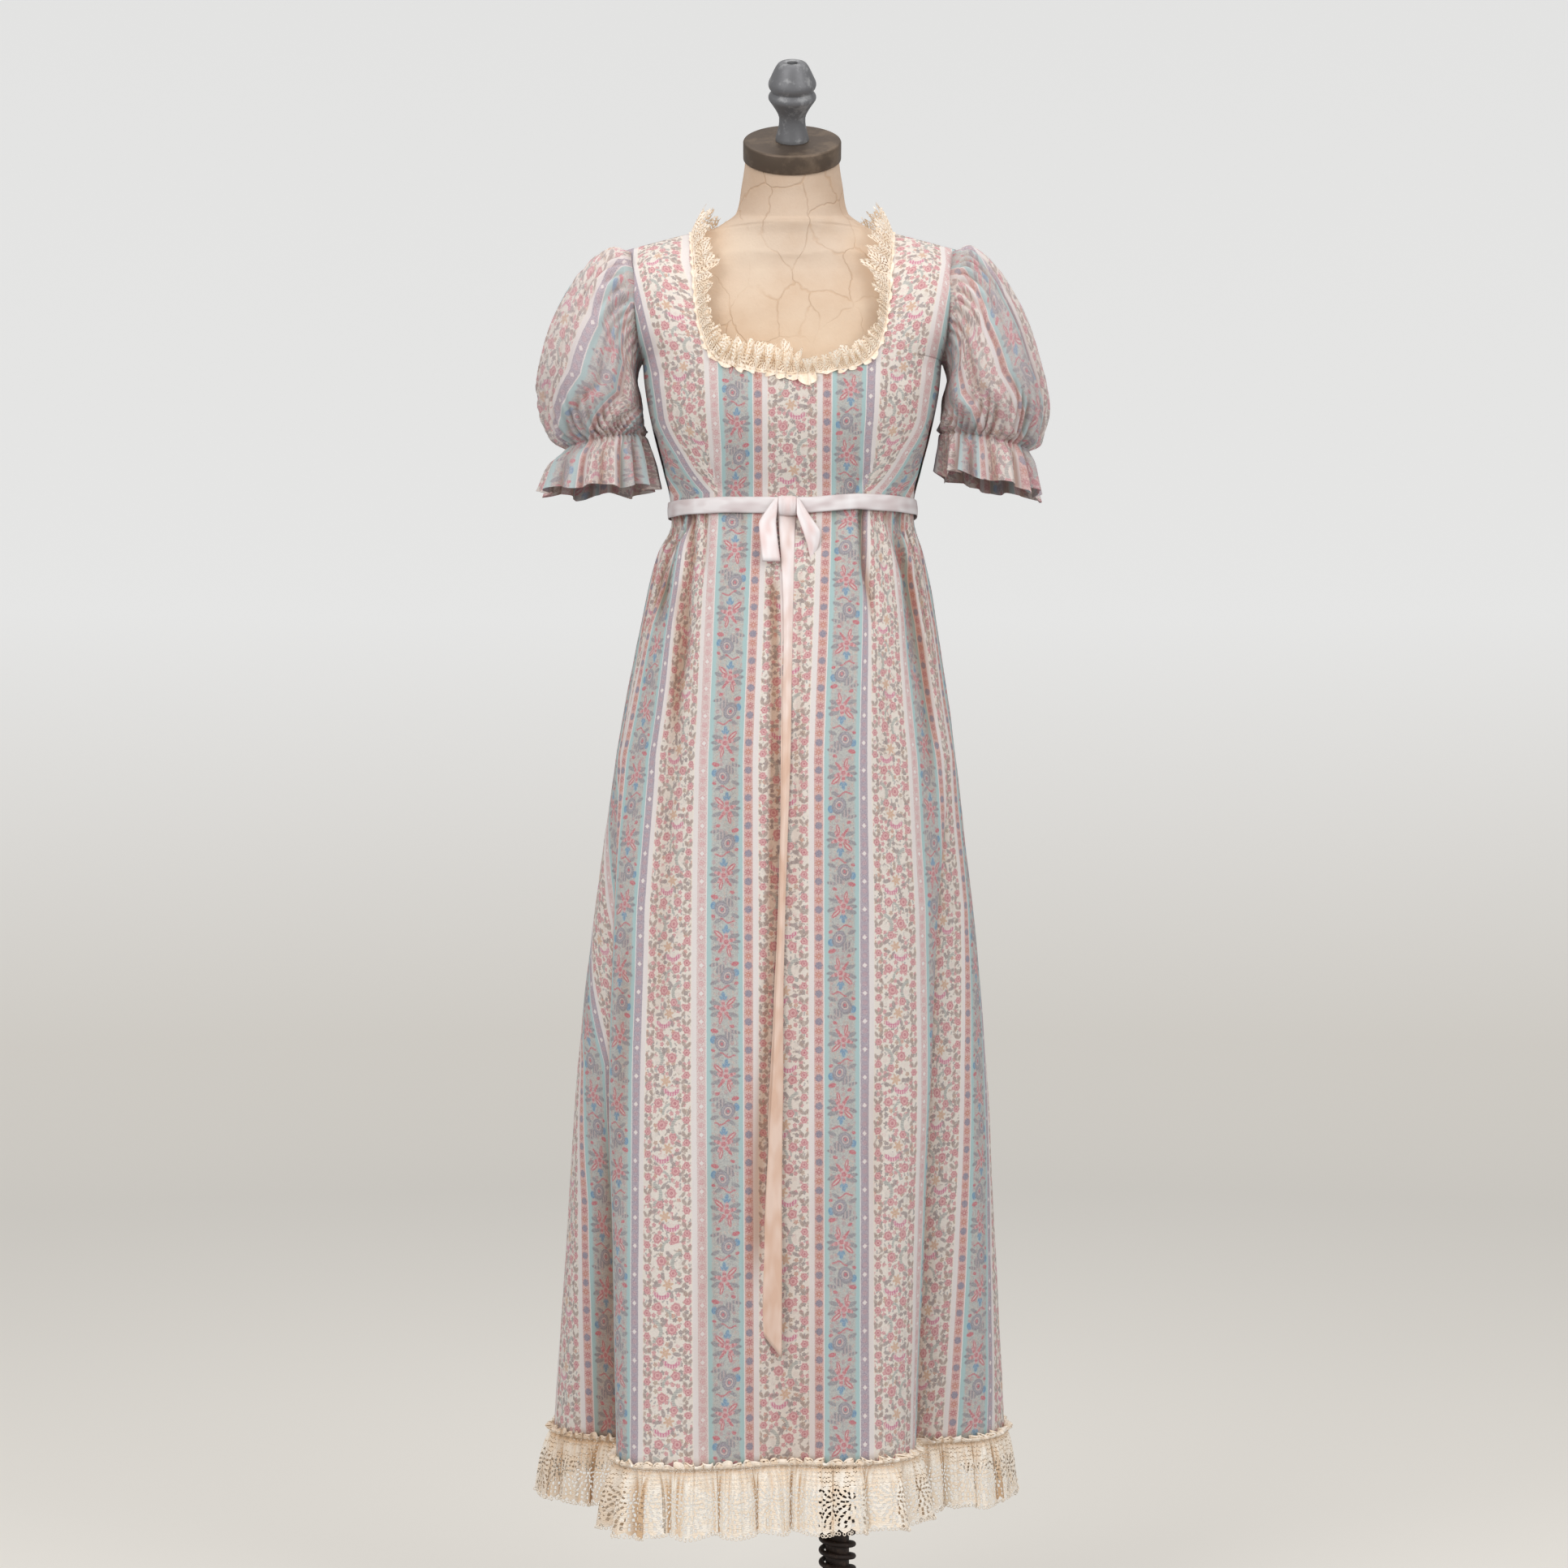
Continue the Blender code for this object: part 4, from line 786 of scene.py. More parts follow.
# Aged canvas of the form, bronze cap, cast finial and painted column
stand = {
    "canvas": ink(214, 192, 171),
    "canvasWarm": ink(206, 172, 134),
    "canvasNeck": ink(194, 164, 138),
    "canvasStain": ink(186, 148, 112),
    "canvasPale": ink(228, 210, 188),
    "crack": ink(182, 142, 104),
    "bronze": ink(100, 86, 74),
    "bronzeWorn": ink(138, 120, 102),
    "iron": ink(116, 116, 118),
    "ironWorn": ink(172, 172, 172),
    "paint": ink(52, 40, 34),
    "paintWorn": ink(96, 78, 66),
}


def agedCanvas(name):
    net = Net(name)
    place = net.here()
    big = net.noise(place, 9.0, 5.0, Roughness=0.6)
    veins = net.node("TexNoise", {"noise_type": "RIDGED_MULTIFRACTAL"},
                     {"Vector": place, "Scale": 13.0, "Detail": 3.0, "Distortion": 0.6})
    fibre = net.noise(place, 320.0, 2.0)
    height = net.split(place)[2]
    # fine cracks of the old skin, in some places only
    swirl = net.node("TexNoise", None, {"Vector": place, "Scale": 22.0, "Detail": 3.0}, output="Color")
    bent = net.node("VectorMath", {"operation": "MULTIPLY_ADD"},
                    {0: swirl, 1: (0.035, 0.035, 0.035), 2: place})
    bent = net.node("VectorMath", {"operation": "MULTIPLY"}, {0: bent, 1: (1.0, 1.0, 0.55)})
    edges = net.node("TexVoronoi", {"feature": "DISTANCE_TO_EDGE"}, {"Vector": bent, "Scale": 24.0})
    crack = net.below(edges, 0.012, 0.024) * net.above(big, 0.45, 0.16)
    # more orange on the breast, darker at the neck, and painted shade near the lace
    colour = net.layered(
        stand["canvas"],
        (net.most(net.below(height, 1.50, 0.14) * 0.55, net.stored("paintedShade")), stand["canvasWarm"]),
        (net.above(big, 0.56, 0.16) * 0.30, stand["canvasStain"]),
        (net.above(veins, 1.55, 0.35) * 0.30, stand["canvasStain"]),
        (net.below(big, 0.40, 0.16) * 0.35, stand["canvasPale"]),
        (net.above(height, 1.605, 0.02) * 0.24, stand["canvasNeck"]),
        (crack * 0.34, stand["crack"]))
    net.set(Base_Color=colour, Roughness=0.78)
    net.set(Normal=net.bump(fibre * 0.5 + veins * 0.6 - crack * 0.8, 0.0008, 0.8))
    net.set(Specular_IOR_Level=0.3)
    return net.material


def wornMetal(name, dark, worn, metallic, roughness, scale):
    net = Net(name)
    patches = net.noise(net.here(), scale, 6.0, Roughness=0.65)
    fine = net.noise(net.here(), scale * 7.0, 2.0)
    colour = net.mixed(net.above(patches, 0.58, 0.14) * 0.7, dark, worn)
    net.set(Base_Color=colour, Metallic=metallic)
    net.set(Roughness=net.maths("MULTIPLY_ADD", patches, 0.25, roughness))
    net.set(Normal=net.bump(fine * 0.4 + patches, 0.0005, 0.5))
    return net.material


def plainThread(name, colour):
    net = Net(name)
    twist = net.noise(net.here(), 900.0, 2.0)
    net.set(Base_Color=net.mixed(twist, colour, lace["blush"]), Roughness=0.9)
    net.set(Normal=net.bump(twist, 0.0003, 0.6))
    # painted light: the thread glows a little, like the lace
    net.set(Specular_IOR_Level=0.2, Emission_Color=lace["glow"], Emission_Strength=lace["shine"])
    return net.material


cotton = printedCotton("printed cotton")
sheerCotton = printedCotton("printed cotton sheer", 0.26)
hemLace = crochetLace("hem lace", 81.0, 50.0)
# the neck lace glows more than the hem lace: painted light
neckLace = crochetLace("neck lace", 36.0, 20.0, 0.8, shine=3.2)
laceThread = plainThread("lace thread", lace["colour"])
sashSatin = satinRibbon("sash satin", ribbon["sash"], True)
bowSatin = satinRibbon("bow satin", ribbon["bow"])
tailSatin = satinRibbon("tail satin", ribbon["tail"])
canvas = agedCanvas("aged canvas")
bronze = wornMetal("bronze cap", stand["bronze"], stand["bronzeWorn"], 0.65, 0.34, 26.0)
iron = wornMetal("cast finial", stand["iron"], stand["ironWorn"], 0.35, 0.38, 70.0)
paint = wornMetal("painted column", stand["paint"], stand["paintWorn"], 0.15, 0.45, 90.0)
print("materials made")


# Places as seen by the camera, for creases that are listed as picture places

eye = (-0.0578, -3.4, 1.0)
pictureMiddle = 966.0
# picture points that one metre takes up at a distance of one metre
zoom = 3863.6


def seenAt(points):
    perMetre = zoom / (points[..., 1] - eye[1])
    return (pictureMiddle + (points[..., 0] - eye[0]) * perMetre,
            pictureMiddle - (points[..., 2] - eye[2]) * perMetre)


def pressed(points, creases):
    # depth of the creases at each point; a crease is a chain of picture places, a depth and a width
    px, py = seenAt(points)
    total = np.zeros(px.shape)
    for chain, depth, width, fadeIn, fadeOut in creases:
        chain = np.asarray(chain, float)
        run = alongLength(chain)
        nearest = np.full(px.shape, 1e9)
        place = np.zeros(px.shape)
        for k in range(len(chain) - 1):
            ax, ay = chain[k]
            bx, by = chain[k + 1]
            length = run[k + 1] - run[k]
            share = np.clip(((px - ax) * (bx - ax) + (py - ay) * (by - ay)) / length**2, 0.0, 1.0)
            away = np.hypot(px - ax - share * (bx - ax), py - ay - share * (by - ay))
            closer = away < nearest
            nearest = np.where(closer, away, nearest)
            place = np.where(closer, (run[k] + share * length) / run[-1], place)
        weight = np.ones(px.shape)
        if fadeIn:
            weight *= fade(place, 0.0, fadeIn)
        if fadeOut:
            weight *= 1.0 - fade(place, 1.0 - fadeOut, 1.0)
        wide = width * (1.0 + 0.8 * place)
        total += depth * weight * hump(nearest, wide)
    return total


# The skirt

skirt = {
    "seamZ": 1.2957,
    "hemZ": 0.3053,
    "halfWidth": 0.1316,
    "front": 0.0980,
    "back": 0.0880,
    "rows": (0.0, 0.0115, 0.045, 0.125, 0.268, 0.430, 0.600, 0.800, 1.0),
    "levels": ((0.0115, 1.0), (0.268, 0.72), (0.600, 0.80), (1.0, 1.0)),
    "thickness": 0.0006,
    "rowCount": 116,
    "frontColumns": 310,
    "backColumns": 290,
    # fullness of the cloth against the modelled surface, by share of the fall
    "fullFront": ((0.0, 0.045, 0.125, 0.268, 0.43, 1.0), (2.3, 1.9, 1.5, 1.12, 1.0, 1.0)),
    "fullBack": ((0.0, 0.045, 0.125, 0.268, 0.43, 1.0), (2.2, 1.8, 1.45, 1.15, 1.0, 1.0)),
    # course of the middle stripe, and cloth that is tucked away beside the big folds
    "stripeMiddle": ((0.0, 0.12, 0.27, 1.0), (0.0, -0.004, -0.0095, -0.009)),
    "tuckRight": ((0.0, 0.268, 0.6, 1.0), (0.0, 0.006, 0.022, 0.022)),
    "tuckLeft": ((0.0, 0.268, 0.45, 0.6, 0.75, 1.0), (0.0, 0.015, 0.080, 0.135, 0.135, 0.117)),
    "ungathered": (-0.092, 0.077),
    "backStart": 0.424,
}
foldFront = (
    (-98, -0.1890, 0.0280, -0.2290, 0.0220, -0.2540, 0.0220),
    (-91, -0.1900, 0.0100, -0.2310, -0.0040, -0.2570, -0.0060),
    (-84, -0.1895, -0.0080, -0.2220, -0.0380, -0.2380, -0.0460),
    (-77, -0.1850, -0.0260, -0.2020, -0.0620, -0.2020, -0.0640),
    (-70, -0.1780, -0.0400, -0.1800, -0.0800, -0.1700, -0.0860),
    (-64, -0.1810, -0.0560, -0.1900, -0.1080, -0.1810, -0.1450),
    (-58, -0.1740, -0.0760, -0.1860, -0.1340, -0.1760, -0.1840),
    (-44, -0.1180, -0.1240, -0.1380, -0.1680, -0.1480, -0.2060),
    (-29, -0.0730, -0.1450, -0.0880, -0.1800, -0.1000, -0.2095),
    (-14, -0.0350, -0.1530, -0.0430, -0.1790, -0.0500, -0.2000),
    (0, -0.0010, -0.1510, -0.0050, -0.1720, -0.0080, -0.1850),
    (14, 0.0340, -0.1520, 0.0390, -0.1750, 0.0460, -0.1930),
    (30, 0.0740, -0.1420, 0.0830, -0.1640, 0.0930, -0.1800),
    (44, 0.1160, -0.1180, 0.1220, -0.1430, 0.1210, -0.1500),
    (57, 0.1620, -0.0640, 0.1450, -0.1180, 0.1290, -0.1180),
    (66, 0.1600, -0.0430, 0.1380, -0.0920, 0.1230, -0.0890),
    (75, 0.1700, -0.0280, 0.1640, -0.0780, 0.1560, -0.0780),
    (83, 0.1760, -0.0100, 0.1940, -0.0520, 0.2020, -0.0620),
    (91, 0.1765, 0.0100, 0.2090, -0.0080, 0.2280, -0.0140),
    (98, 0.1750, 0.0280, 0.2080, 0.0220, 0.2270, 0.0240),
)
foldBack = (
    (98, 0.1750, 0.0280, 0.2080, 0.0220, 0.2270, 0.0240),
    (108, 0.1690, 0.0520, 0.2000, 0.0580, 0.2190, 0.0660),
    (117, 0.1540, 0.0780, 0.1740, 0.0900, 0.1820, 0.1060),
    (128, 0.1380, 0.1070, 0.1540, 0.1320, 0.1620, 0.1600),
    (140, 0.1060, 0.1270, 0.1140, 0.1480, 0.1160, 0.1720),
    (152, 0.0740, 0.1500, 0.0800, 0.1760, 0.0800, 0.2080),
    (165, 0.0370, 0.1500, 0.0400, 0.1720, 0.0360, 0.1930),
    (180, -0.0020, 0.1590, -0.0040, 0.1860, -0.0080, 0.2160),
    (195, -0.0420, 0.1510, -0.0450, 0.1720, -0.0500, 0.1920),
    (208, -0.0780, 0.1500, -0.0850, 0.1790, -0.0930, 0.2100),
    (220, -0.1090, 0.1270, -0.1200, 0.1490, -0.1280, 0.1710),
    (232, -0.1440, 0.1070, -0.1660, 0.1340, -0.1810, 0.1600),
    (243, -0.1640, 0.0770, -0.1900, 0.0900, -0.2060, 0.1040),
    (252, -0.1820, 0.0510, -0.2190, 0.0560, -0.2450, 0.0620),
    (262, -0.1890, 0.0280, -0.2290, 0.0220, -0.2540, 0.0220),
)
skirtCreases = (
    # chain of picture places, depth, width in picture points, fade at both ends
    (((836, 636), (826, 664), (820, 692), (816, 718), (808, 800)), 0.0080, 5.0, 0, 0.5),
    (((851, 636), (850, 684), (844, 726), (841, 796), (834, 838), (826, 930)), 0.0070, 6.0, 0, 0.4),
    (((869, 636), (867, 684), (862, 740)), 0.0035, 5.0, 0, 0.6),
    (((1062, 630), (1064, 670), (1066, 698), (1074, 735), (1080, 790)), 0.0080, 4.6, 0, 0.5),
    (((1080, 632), (1090, 690), (1098, 760)), 0.0030, 6.0, 0, 0.6),
    (((1094, 636), (1110, 680), (1122, 712), (1127, 796), (1132, 880)), 0.0055, 6.0, 0, 0.5),
    (((1109, 636), (1116, 684), (1133, 768), (1144, 880), (1150, 980)), 0.0050, 6.0, 0, 0.4),
    (((956, 690), (955, 820), (955, 1000), (950, 1160)), 0.0032, 5.0, 0.15, 0.3),
    (((915, 640), (914, 690), (911, 760)), 0.0014, 5.0, 0, 0.7),
    (((1028, 634), (1030, 690), (1032, 770)), 0.0016, 5.0, 0, 0.7),
    (((838, 840), (822, 990), (812, 1180), (806, 1420)), 0.0035, 13.0, 0.2, 0.4),
    (((905, 760), (900, 980), (893, 1250)), 0.0020, 12.0, 0.3, 0.4),
    (((1090, 740), (1096, 900), (1100, 1150)), 0.0030, 12.0, 0.3, 0.5),
    (((1040, 900), (1046, 1150), (1048, 1450)), 0.0020, 14.0, 0.3, 0.4),
    (((880, 1350), (872, 1560), (870, 1790)), 0.0030, 16.0, 0.3, 0.0),
    (((930, 1300), (926, 1550), (922, 1790)), 0.0025, 12.0, 0.3, 0.0),
    (((1015, 1280), (1012, 1560), (1008, 1795)), 0.0025, 13.0, 0.3, 0.0),
    (((1080, 1240), (1076, 1500), (1070, 1795)), 0.0030, 14.0, 0.3, 0.0),
)

skirtShadows = (
    # warm shadow beside the ribbon tails and in the folds, same columns, depth counts as shade
    (((949, 700), (953, 800), (954, 900), (951, 1160), (939, 1380), (930, 1600)), 0.95, 6.5, 0.03, 0.10),
    (((985, 700), (984, 900), (976, 1160)), 0.30, 4.0, 0.03, 0.3),
    (((834, 700), (834, 838), (826, 960)), 0.60, 6.0, 0.1, 0.4),
    (((775, 1020), (764, 1300), (752, 1500), (744, 1790)), 0.75, 12.0, 0.3, 0.0),
    (((1133, 768), (1144, 880), (1152, 1060)), 0.45, 6.0, 0.1, 0.4),
)


def waistAt(angle, off=0.0):
    sine = np.sin(np.radians(angle))
    cosine = np.cos(np.radians(angle))
    front = (skirt["front"] + off) * np.abs(cosine) ** 0.82
    back = (skirt["back"] + off) * np.abs(cosine)
    return (skirt["halfWidth"] + off) * sine, np.where(cosine > 0, -front, back)


def skirtShape(table, places, falls):
    rows = smoothRows(table, places)
    waist = np.stack(waistAt(rows[:, 0]), axis=-1)
    levels = (waist, rows[:, 1:3], rows[:, 3:5], rows[:, 5:7])
    knots = []
    for fall in skirt["rows"]:
        k = 0
        while k < 2 and fall > skirt["levels"][k + 1][0]:
            k += 1
        low = skirt["levels"][k][0]
        high, power = skirt["levels"][k + 1]
        share = (max(fall - low, 0.0) / (high - low)) ** power
        knots.append(levels[k] + (levels[k + 1] - levels[k]) * share)
    flat = throughKnots(skirt["rows"], np.stack(knots), falls)
    z = skirt["seamZ"] + (skirt["hemZ"] - skirt["seamZ"]) * falls
    tall = np.broadcast_to(z[:, None, None], flat.shape[:2] + (1,))
    points = np.concatenate([flat, tall], axis=-1)
    points[..., 0] += formX
    return points, rows[:, 0]


def gatherDepth(angles, falls, seed, skip):
    # troughs that run down from the waist seam, uneven in place, length and depth
    dice = np.random.default_rng(seed)
    total = np.zeros((len(falls), len(angles)))
    at = angles.min() + 1.0
    while at < angles.max():
        if not skip[0] < at < skip[1]:
            length = dice.uniform(0.09, 0.34)
            depth = dice.uniform(0.0022, 0.0062)
            width = dice.uniform(1.1, 1.9)
            drift = dice.uniform(-3.0, 3.0)
            f = falls[:, None]
            line = hump(angles[None, :] - at - drift * f / length, width * (1 + 1.2 * f / length))
            total += depth * line * np.clip(1 - f / length, 0, 1) ** 1.1
        at += dice.uniform(3.4, 6.6)
    return total * fade(falls, 0.006, 0.030)[:, None]


def skirtFlat(points, places, falls, isFront):
    # cloth coordinates: along the cloth from the middle stripe, fuller where it is gathered
    run = alongRows(points)
    down = alongLength(points)
    v = down * (down[-1].mean() / down[-1])[None, :]
    if not isFront:
        return skirt["backStart"] + run * np.interp(falls, *skirt["fullBack"])[:, None], v
    full = np.interp(falls, *skirt["fullFront"])
    middle = np.interp(falls, *skirt["stripeMiddle"]) + formX
    left, right = skirt["ungathered"]
    u = np.zeros(run.shape)
    for i in range(len(falls)):
        s = run[i] - np.interp(middle[i], points[i, 80:-80, 0], run[i, 80:-80])
        u[i] = s + (np.maximum(s - right, 0.0) + np.minimum(s - left, 0.0)) * (full[i] - 1.0)
    u += np.interp(falls, *skirt["tuckRight"])[:, None] * fade(places, 14, 16)[None, :]
    u -= np.interp(falls, *skirt["tuckLeft"])[:, None] * (1.0 - fade(places, 3, 6))[None, :]
    return u, v


def makeSkirt(table, columns, isFront, name):
    falls = np.linspace(0.0, 1.0, skirt["rowCount"]) ** 1.12
    # columns at even steps along the hem
    fine = np.linspace(0, len(table) - 1, 900)
    hem = skirtShape(table, fine, np.array([0.55, 1.0]))[0]
    run = alongLength(hem[1]) * 0.5 + alongLength(hem[0]) * 0.5
    places = np.interp(np.linspace(0, run[-1], columns), run, fine)
    points, angles = skirtShape(table, places, falls)
    u, v = skirtFlat(points, places, falls, isFront)
    normal = toNormals(points)
    shift = np.zeros(u.shape)
    if isFront:
        shift -= pressed(points, skirtCreases)
        shift -= gatherDepth(angles, falls, 5, (-57.0, 62.0))
    else:
        shift -= gatherDepth(angles, falls, 8, (400.0, 401.0))
    loose = fade(falls, 0.03, 0.20)[:, None]
    shift += rumple(u, v, 21 if isFront else 22) * 0.0011 * loose
    shift += rumple(u, v, 31 if isFront else 32, ((0.016, 1.0), (0.009, 0.6))) * 0.00025 * loose
    shift *= np.clip(fromEnds(columns) / 6.0, 0, 1)[None, :]
    points = points + normal * shift[..., None]
    piece = gridMesh(name, points, np.stack([u, -v], axis=-1), cotton)
    # painted shade: darker in hollows and creases, in the listed shadows beside the ribbon tails and folds,
    # and in the strip under the sash
    paintedShade = hollows(points, ((3, 1.5), (9, 1.6), (22, 1.1)))
    if isFront:
        paintedShade += pressed(points, skirtCreases) * 75.0 + pressed(points, skirtShadows)
    paintedShade += 0.55 * (1 - fade(falls, 0.004, 0.022))[:, None]
    setShade(piece, np.clip(paintedShade, 0, 1))
    return thicken(piece, skirt["thickness"]), points


frontSkirt, frontPoints = makeSkirt(foldFront, skirt["frontColumns"], True, "skirt_front_cloth")
backSkirt, backPoints = makeSkirt(foldBack, skirt["backColumns"], False, "skirt_back_cloth")
dress(frontSkirt, "cotton", "skirt_front")
dress(backSkirt, "cotton", "skirt_back")
print("skirt made")


def skirtFrontY(x, z):
    # front of the skirt near its middle, for what lies on it
    zs = frontPoints[:, 0, 2]
    row = np.interp(-np.atleast_1d(z), -zs, np.arange(len(zs)))
    result = []
    for place, at in zip(row, np.atleast_1d(x)):
        i = int(min(place, len(zs) - 2))
        share = place - i
        a = np.interp(at, frontPoints[i, 90:-90, 0], frontPoints[i, 90:-90, 1])
        b = np.interp(at, frontPoints[i + 1, 90:-90, 0], frontPoints[i + 1, 90:-90, 1])
        result.append(a + (b - a) * share)
    return np.array(result)


# The bodice

bodice = {
    "sections": ((1.2960, 0.1316, 0.0980, 0.0880), (1.3060, 0.1318, 0.0983, 0.0881),
                 (1.3370, 0.1390, 0.1090, 0.0900), (1.3800, 0.1500, 0.1200, 0.0950),
                 (1.4200, 0.1580, 0.1220, 0.1000), (1.4550, 0.1615, 0.1170, 0.1030),
                 (1.5000, 0.1640, 0.1000, 0.1000)),
    "neckLow": ((-0.090, 1.4560), (-0.079, 1.4440), (-0.060, 1.4360), (-0.030, 1.4300), (0.0, 1.4270),
                (0.030, 1.4300), (0.060, 1.4360), (0.079, 1.4440), (0.090, 1.4560)),
    "neckSide": ((0.0990, -0.0850, 1.4860), (0.1040, -0.0630, 1.5250), (0.1075, -0.0330, 1.5720),
                 (0.1090, 0.0000, 1.5970)),
    "neckBack": ((0.1090, 0.0000, 1.5970), (0.0960, 0.0370, 1.5890), (0.0620, 0.0680, 1.5730),
                 (0.0000, 0.0810, 1.5640)),
    "armFront": ((0.1615, 0.0000, 1.4550), (0.1640, -0.0420, 1.4720), (0.1680, -0.0560, 1.5080),
                 (0.1725, -0.0420, 1.5480), (0.1810, 0.0000, 1.5780)),
    "armBack": ((0.1615, 0.0000, 1.4550), (0.1650, 0.0460, 1.4740), (0.1680, 0.0600, 1.5120),
                (0.1725, 0.0440, 1.5500), (0.1810, 0.0000, 1.5780)),
    # heights and distances of the foot and the tip of each dart
    "rightDart": ((1.300, 1.359), (0.0724, 0.0937)),
    "leftDart": ((1.300, 1.374), (-0.0758, -0.0980)),
    # the breast: distance from the middle, height, reach and rise
    "breast": (0.070, 1.392, 0.050, 0.007),
    "armholeZ": 1.4550,
    "lowZ": 1.2963,
    "thickness": 0.0006,
}
bodiceCreases = (
    (((862, 555), (880, 585), (893, 612)), 0.0016, 3.0, 0.3, 0),
    (((1078, 560), (1064, 590), (1053, 610)), 0.0016, 3.0, 0.3, 0),
    (((800, 520), (812, 560), (830, 600)), 0.0022, 6.0, 0.3, 0),
    (((1150, 500), (1146, 550), (1128, 600)), 0.0022, 6.0, 0.3, 0),
    (((796, 450), (830, 470), (868, 470)), 0.0014, 7.0, 0.3, 0.4),
    (((1160, 440), (1120, 462), (1085, 470)), 0.0014, 7.0, 0.3, 0.4),
    (((940, 480), (930, 530), (925, 600)), 0.0009, 8.0, 0.4, 0.2),
    (((1005, 490), (1010, 540), (1012, 600)), 0.0009, 8.0, 0.4, 0.2),
)


def bodicePoint(angle, z):
    section = throughKnots([s[0] for s in bodice["sections"]], [s[1:] for s in bodice["sections"]], z.ravel())
    section = section.reshape(z.shape + (3,))
    sine = np.sin(np.radians(angle))
    cosine = np.cos(np.radians(angle))
    x = section[..., 0] * sine
    y = np.where(cosine > 0, -section[..., 1] * np.abs(cosine) ** 0.82, section[..., 2] * np.abs(cosine))
    apart, high, reach, rise = bodice["breast"]
    away = np.hypot(np.abs(x) - apart, z - high)
    y = np.where(cosine > 0, y - rise * hump(away, reach), y)
    return np.stack([x + formX, y, z], axis=-1)


def angleAt(x, z):
    wide = throughKnots([s[0] for s in bodice["sections"]], [s[1] for s in bodice["sections"]], z)
    return np.degrees(np.arcsin(np.clip(x / wide, -0.9999, 0.9999)))


def sideCurve(rows, side, count):
    rows = np.asarray(rows, float)
    fine = smoothRows(rows, np.linspace(0, len(rows) - 1, 200))
    fine = fine * np.array([side, 1, 1]) + np.array([formX, 0, 0])
    return evenChain(fine, count)


def patch(bottom, top, inner, outer):
    # rows of points between four edges that meet at their ends
    u = np.linspace(0, 1, len(bottom))[None, :, None]
    v = np.linspace(0, 1, len(inner))[:, None, None]
    sides = inner[:, None] * (1 - u) + outer[:, None] * u
    ends = bottom[None] * (1 - v) + top[None] * v
    corners = (bottom[0] * (1 - u) + bottom[-1] * u) * (1 - v) + (top[0] * (1 - u) + top[-1] * u) * v
    return sides + ends - corners


def bodicePrint(points):
    # across the cloth, without the take-up of the darts
    x = points[..., 0] - formX
    z = points[..., 2]
    cubic = np.interp(z, (1.35, 1.39, 1.45), (13.0, 7.0, 3.1))
    pull = np.interp(z, (1.45, 1.56), (0.0, 1.0)) * np.where(x < 0, 0.033, 0.025)
    pull *= fade(np.abs(x), 0.05, 0.14)
    return np.sign(x) * (np.abs(x) + cubic * np.abs(x) ** 3 - pull)


def dartTake(points):
    return 0.058 * np.clip((1.385 - points[..., 2]) / 0.076, 0, 1) ** 1.6


def outsideDart(centres):
    # -1, 0 or 1 for faces left of, between and right of the darts
    x = centres[..., 0] - formX
    right = np.interp(centres[..., 2], *bodice["rightDart"])
    left = np.interp(centres[..., 2], *bodice["leftDart"])
    return np.where(x > right, 1.0, 0.0) - np.where(x < left, 1.0, 0.0)


def dartedCorners(points, flat):
    # cloth coordinates of the corners, with the take-up of the darts added outside them
    corners = quadCorners(flat)
    side = outsideDart((points[:-1, :-1] + points[1:, 1:]) * 0.5)
    corners[..., 0] += side[..., None] * quadCorners(dartTake(points))
    return corners


def gridsMesh(name, grids, material):
    # several grids with per-corner cloth coordinates in one mesh, welded where they meet
    points, faces, uvs, start = [], [], [], 0
    for grid, corners in grids:
        faces.append(gridFaces(*grid.shape[:2], start))
        points.append(grid.reshape(-1, 3))
        uvs.append(corners.reshape(-1, 2))
        start += len(points[-1])
    mesh = clothMesh(name, np.concatenate(points), np.concatenate(faces), np.concatenate(uvs))
    weld = bmesh.new()
    weld.from_mesh(mesh)
    bmesh.ops.remove_doubles(weld, verts=weld.verts, dist=0.00002)
    weld.to_mesh(mesh)
    weld.free()
    return placed(name, mesh, material)


def neckLow():
    # the low front edge of the neck, from left to right
    low = np.asarray(bodice["neckLow"])
    fine = smoothRows(low, np.linspace(0, len(low) - 1, 200))
    return bodicePoint(angleAt(fine[:, 0], fine[:, 1]), fine[:, 1])


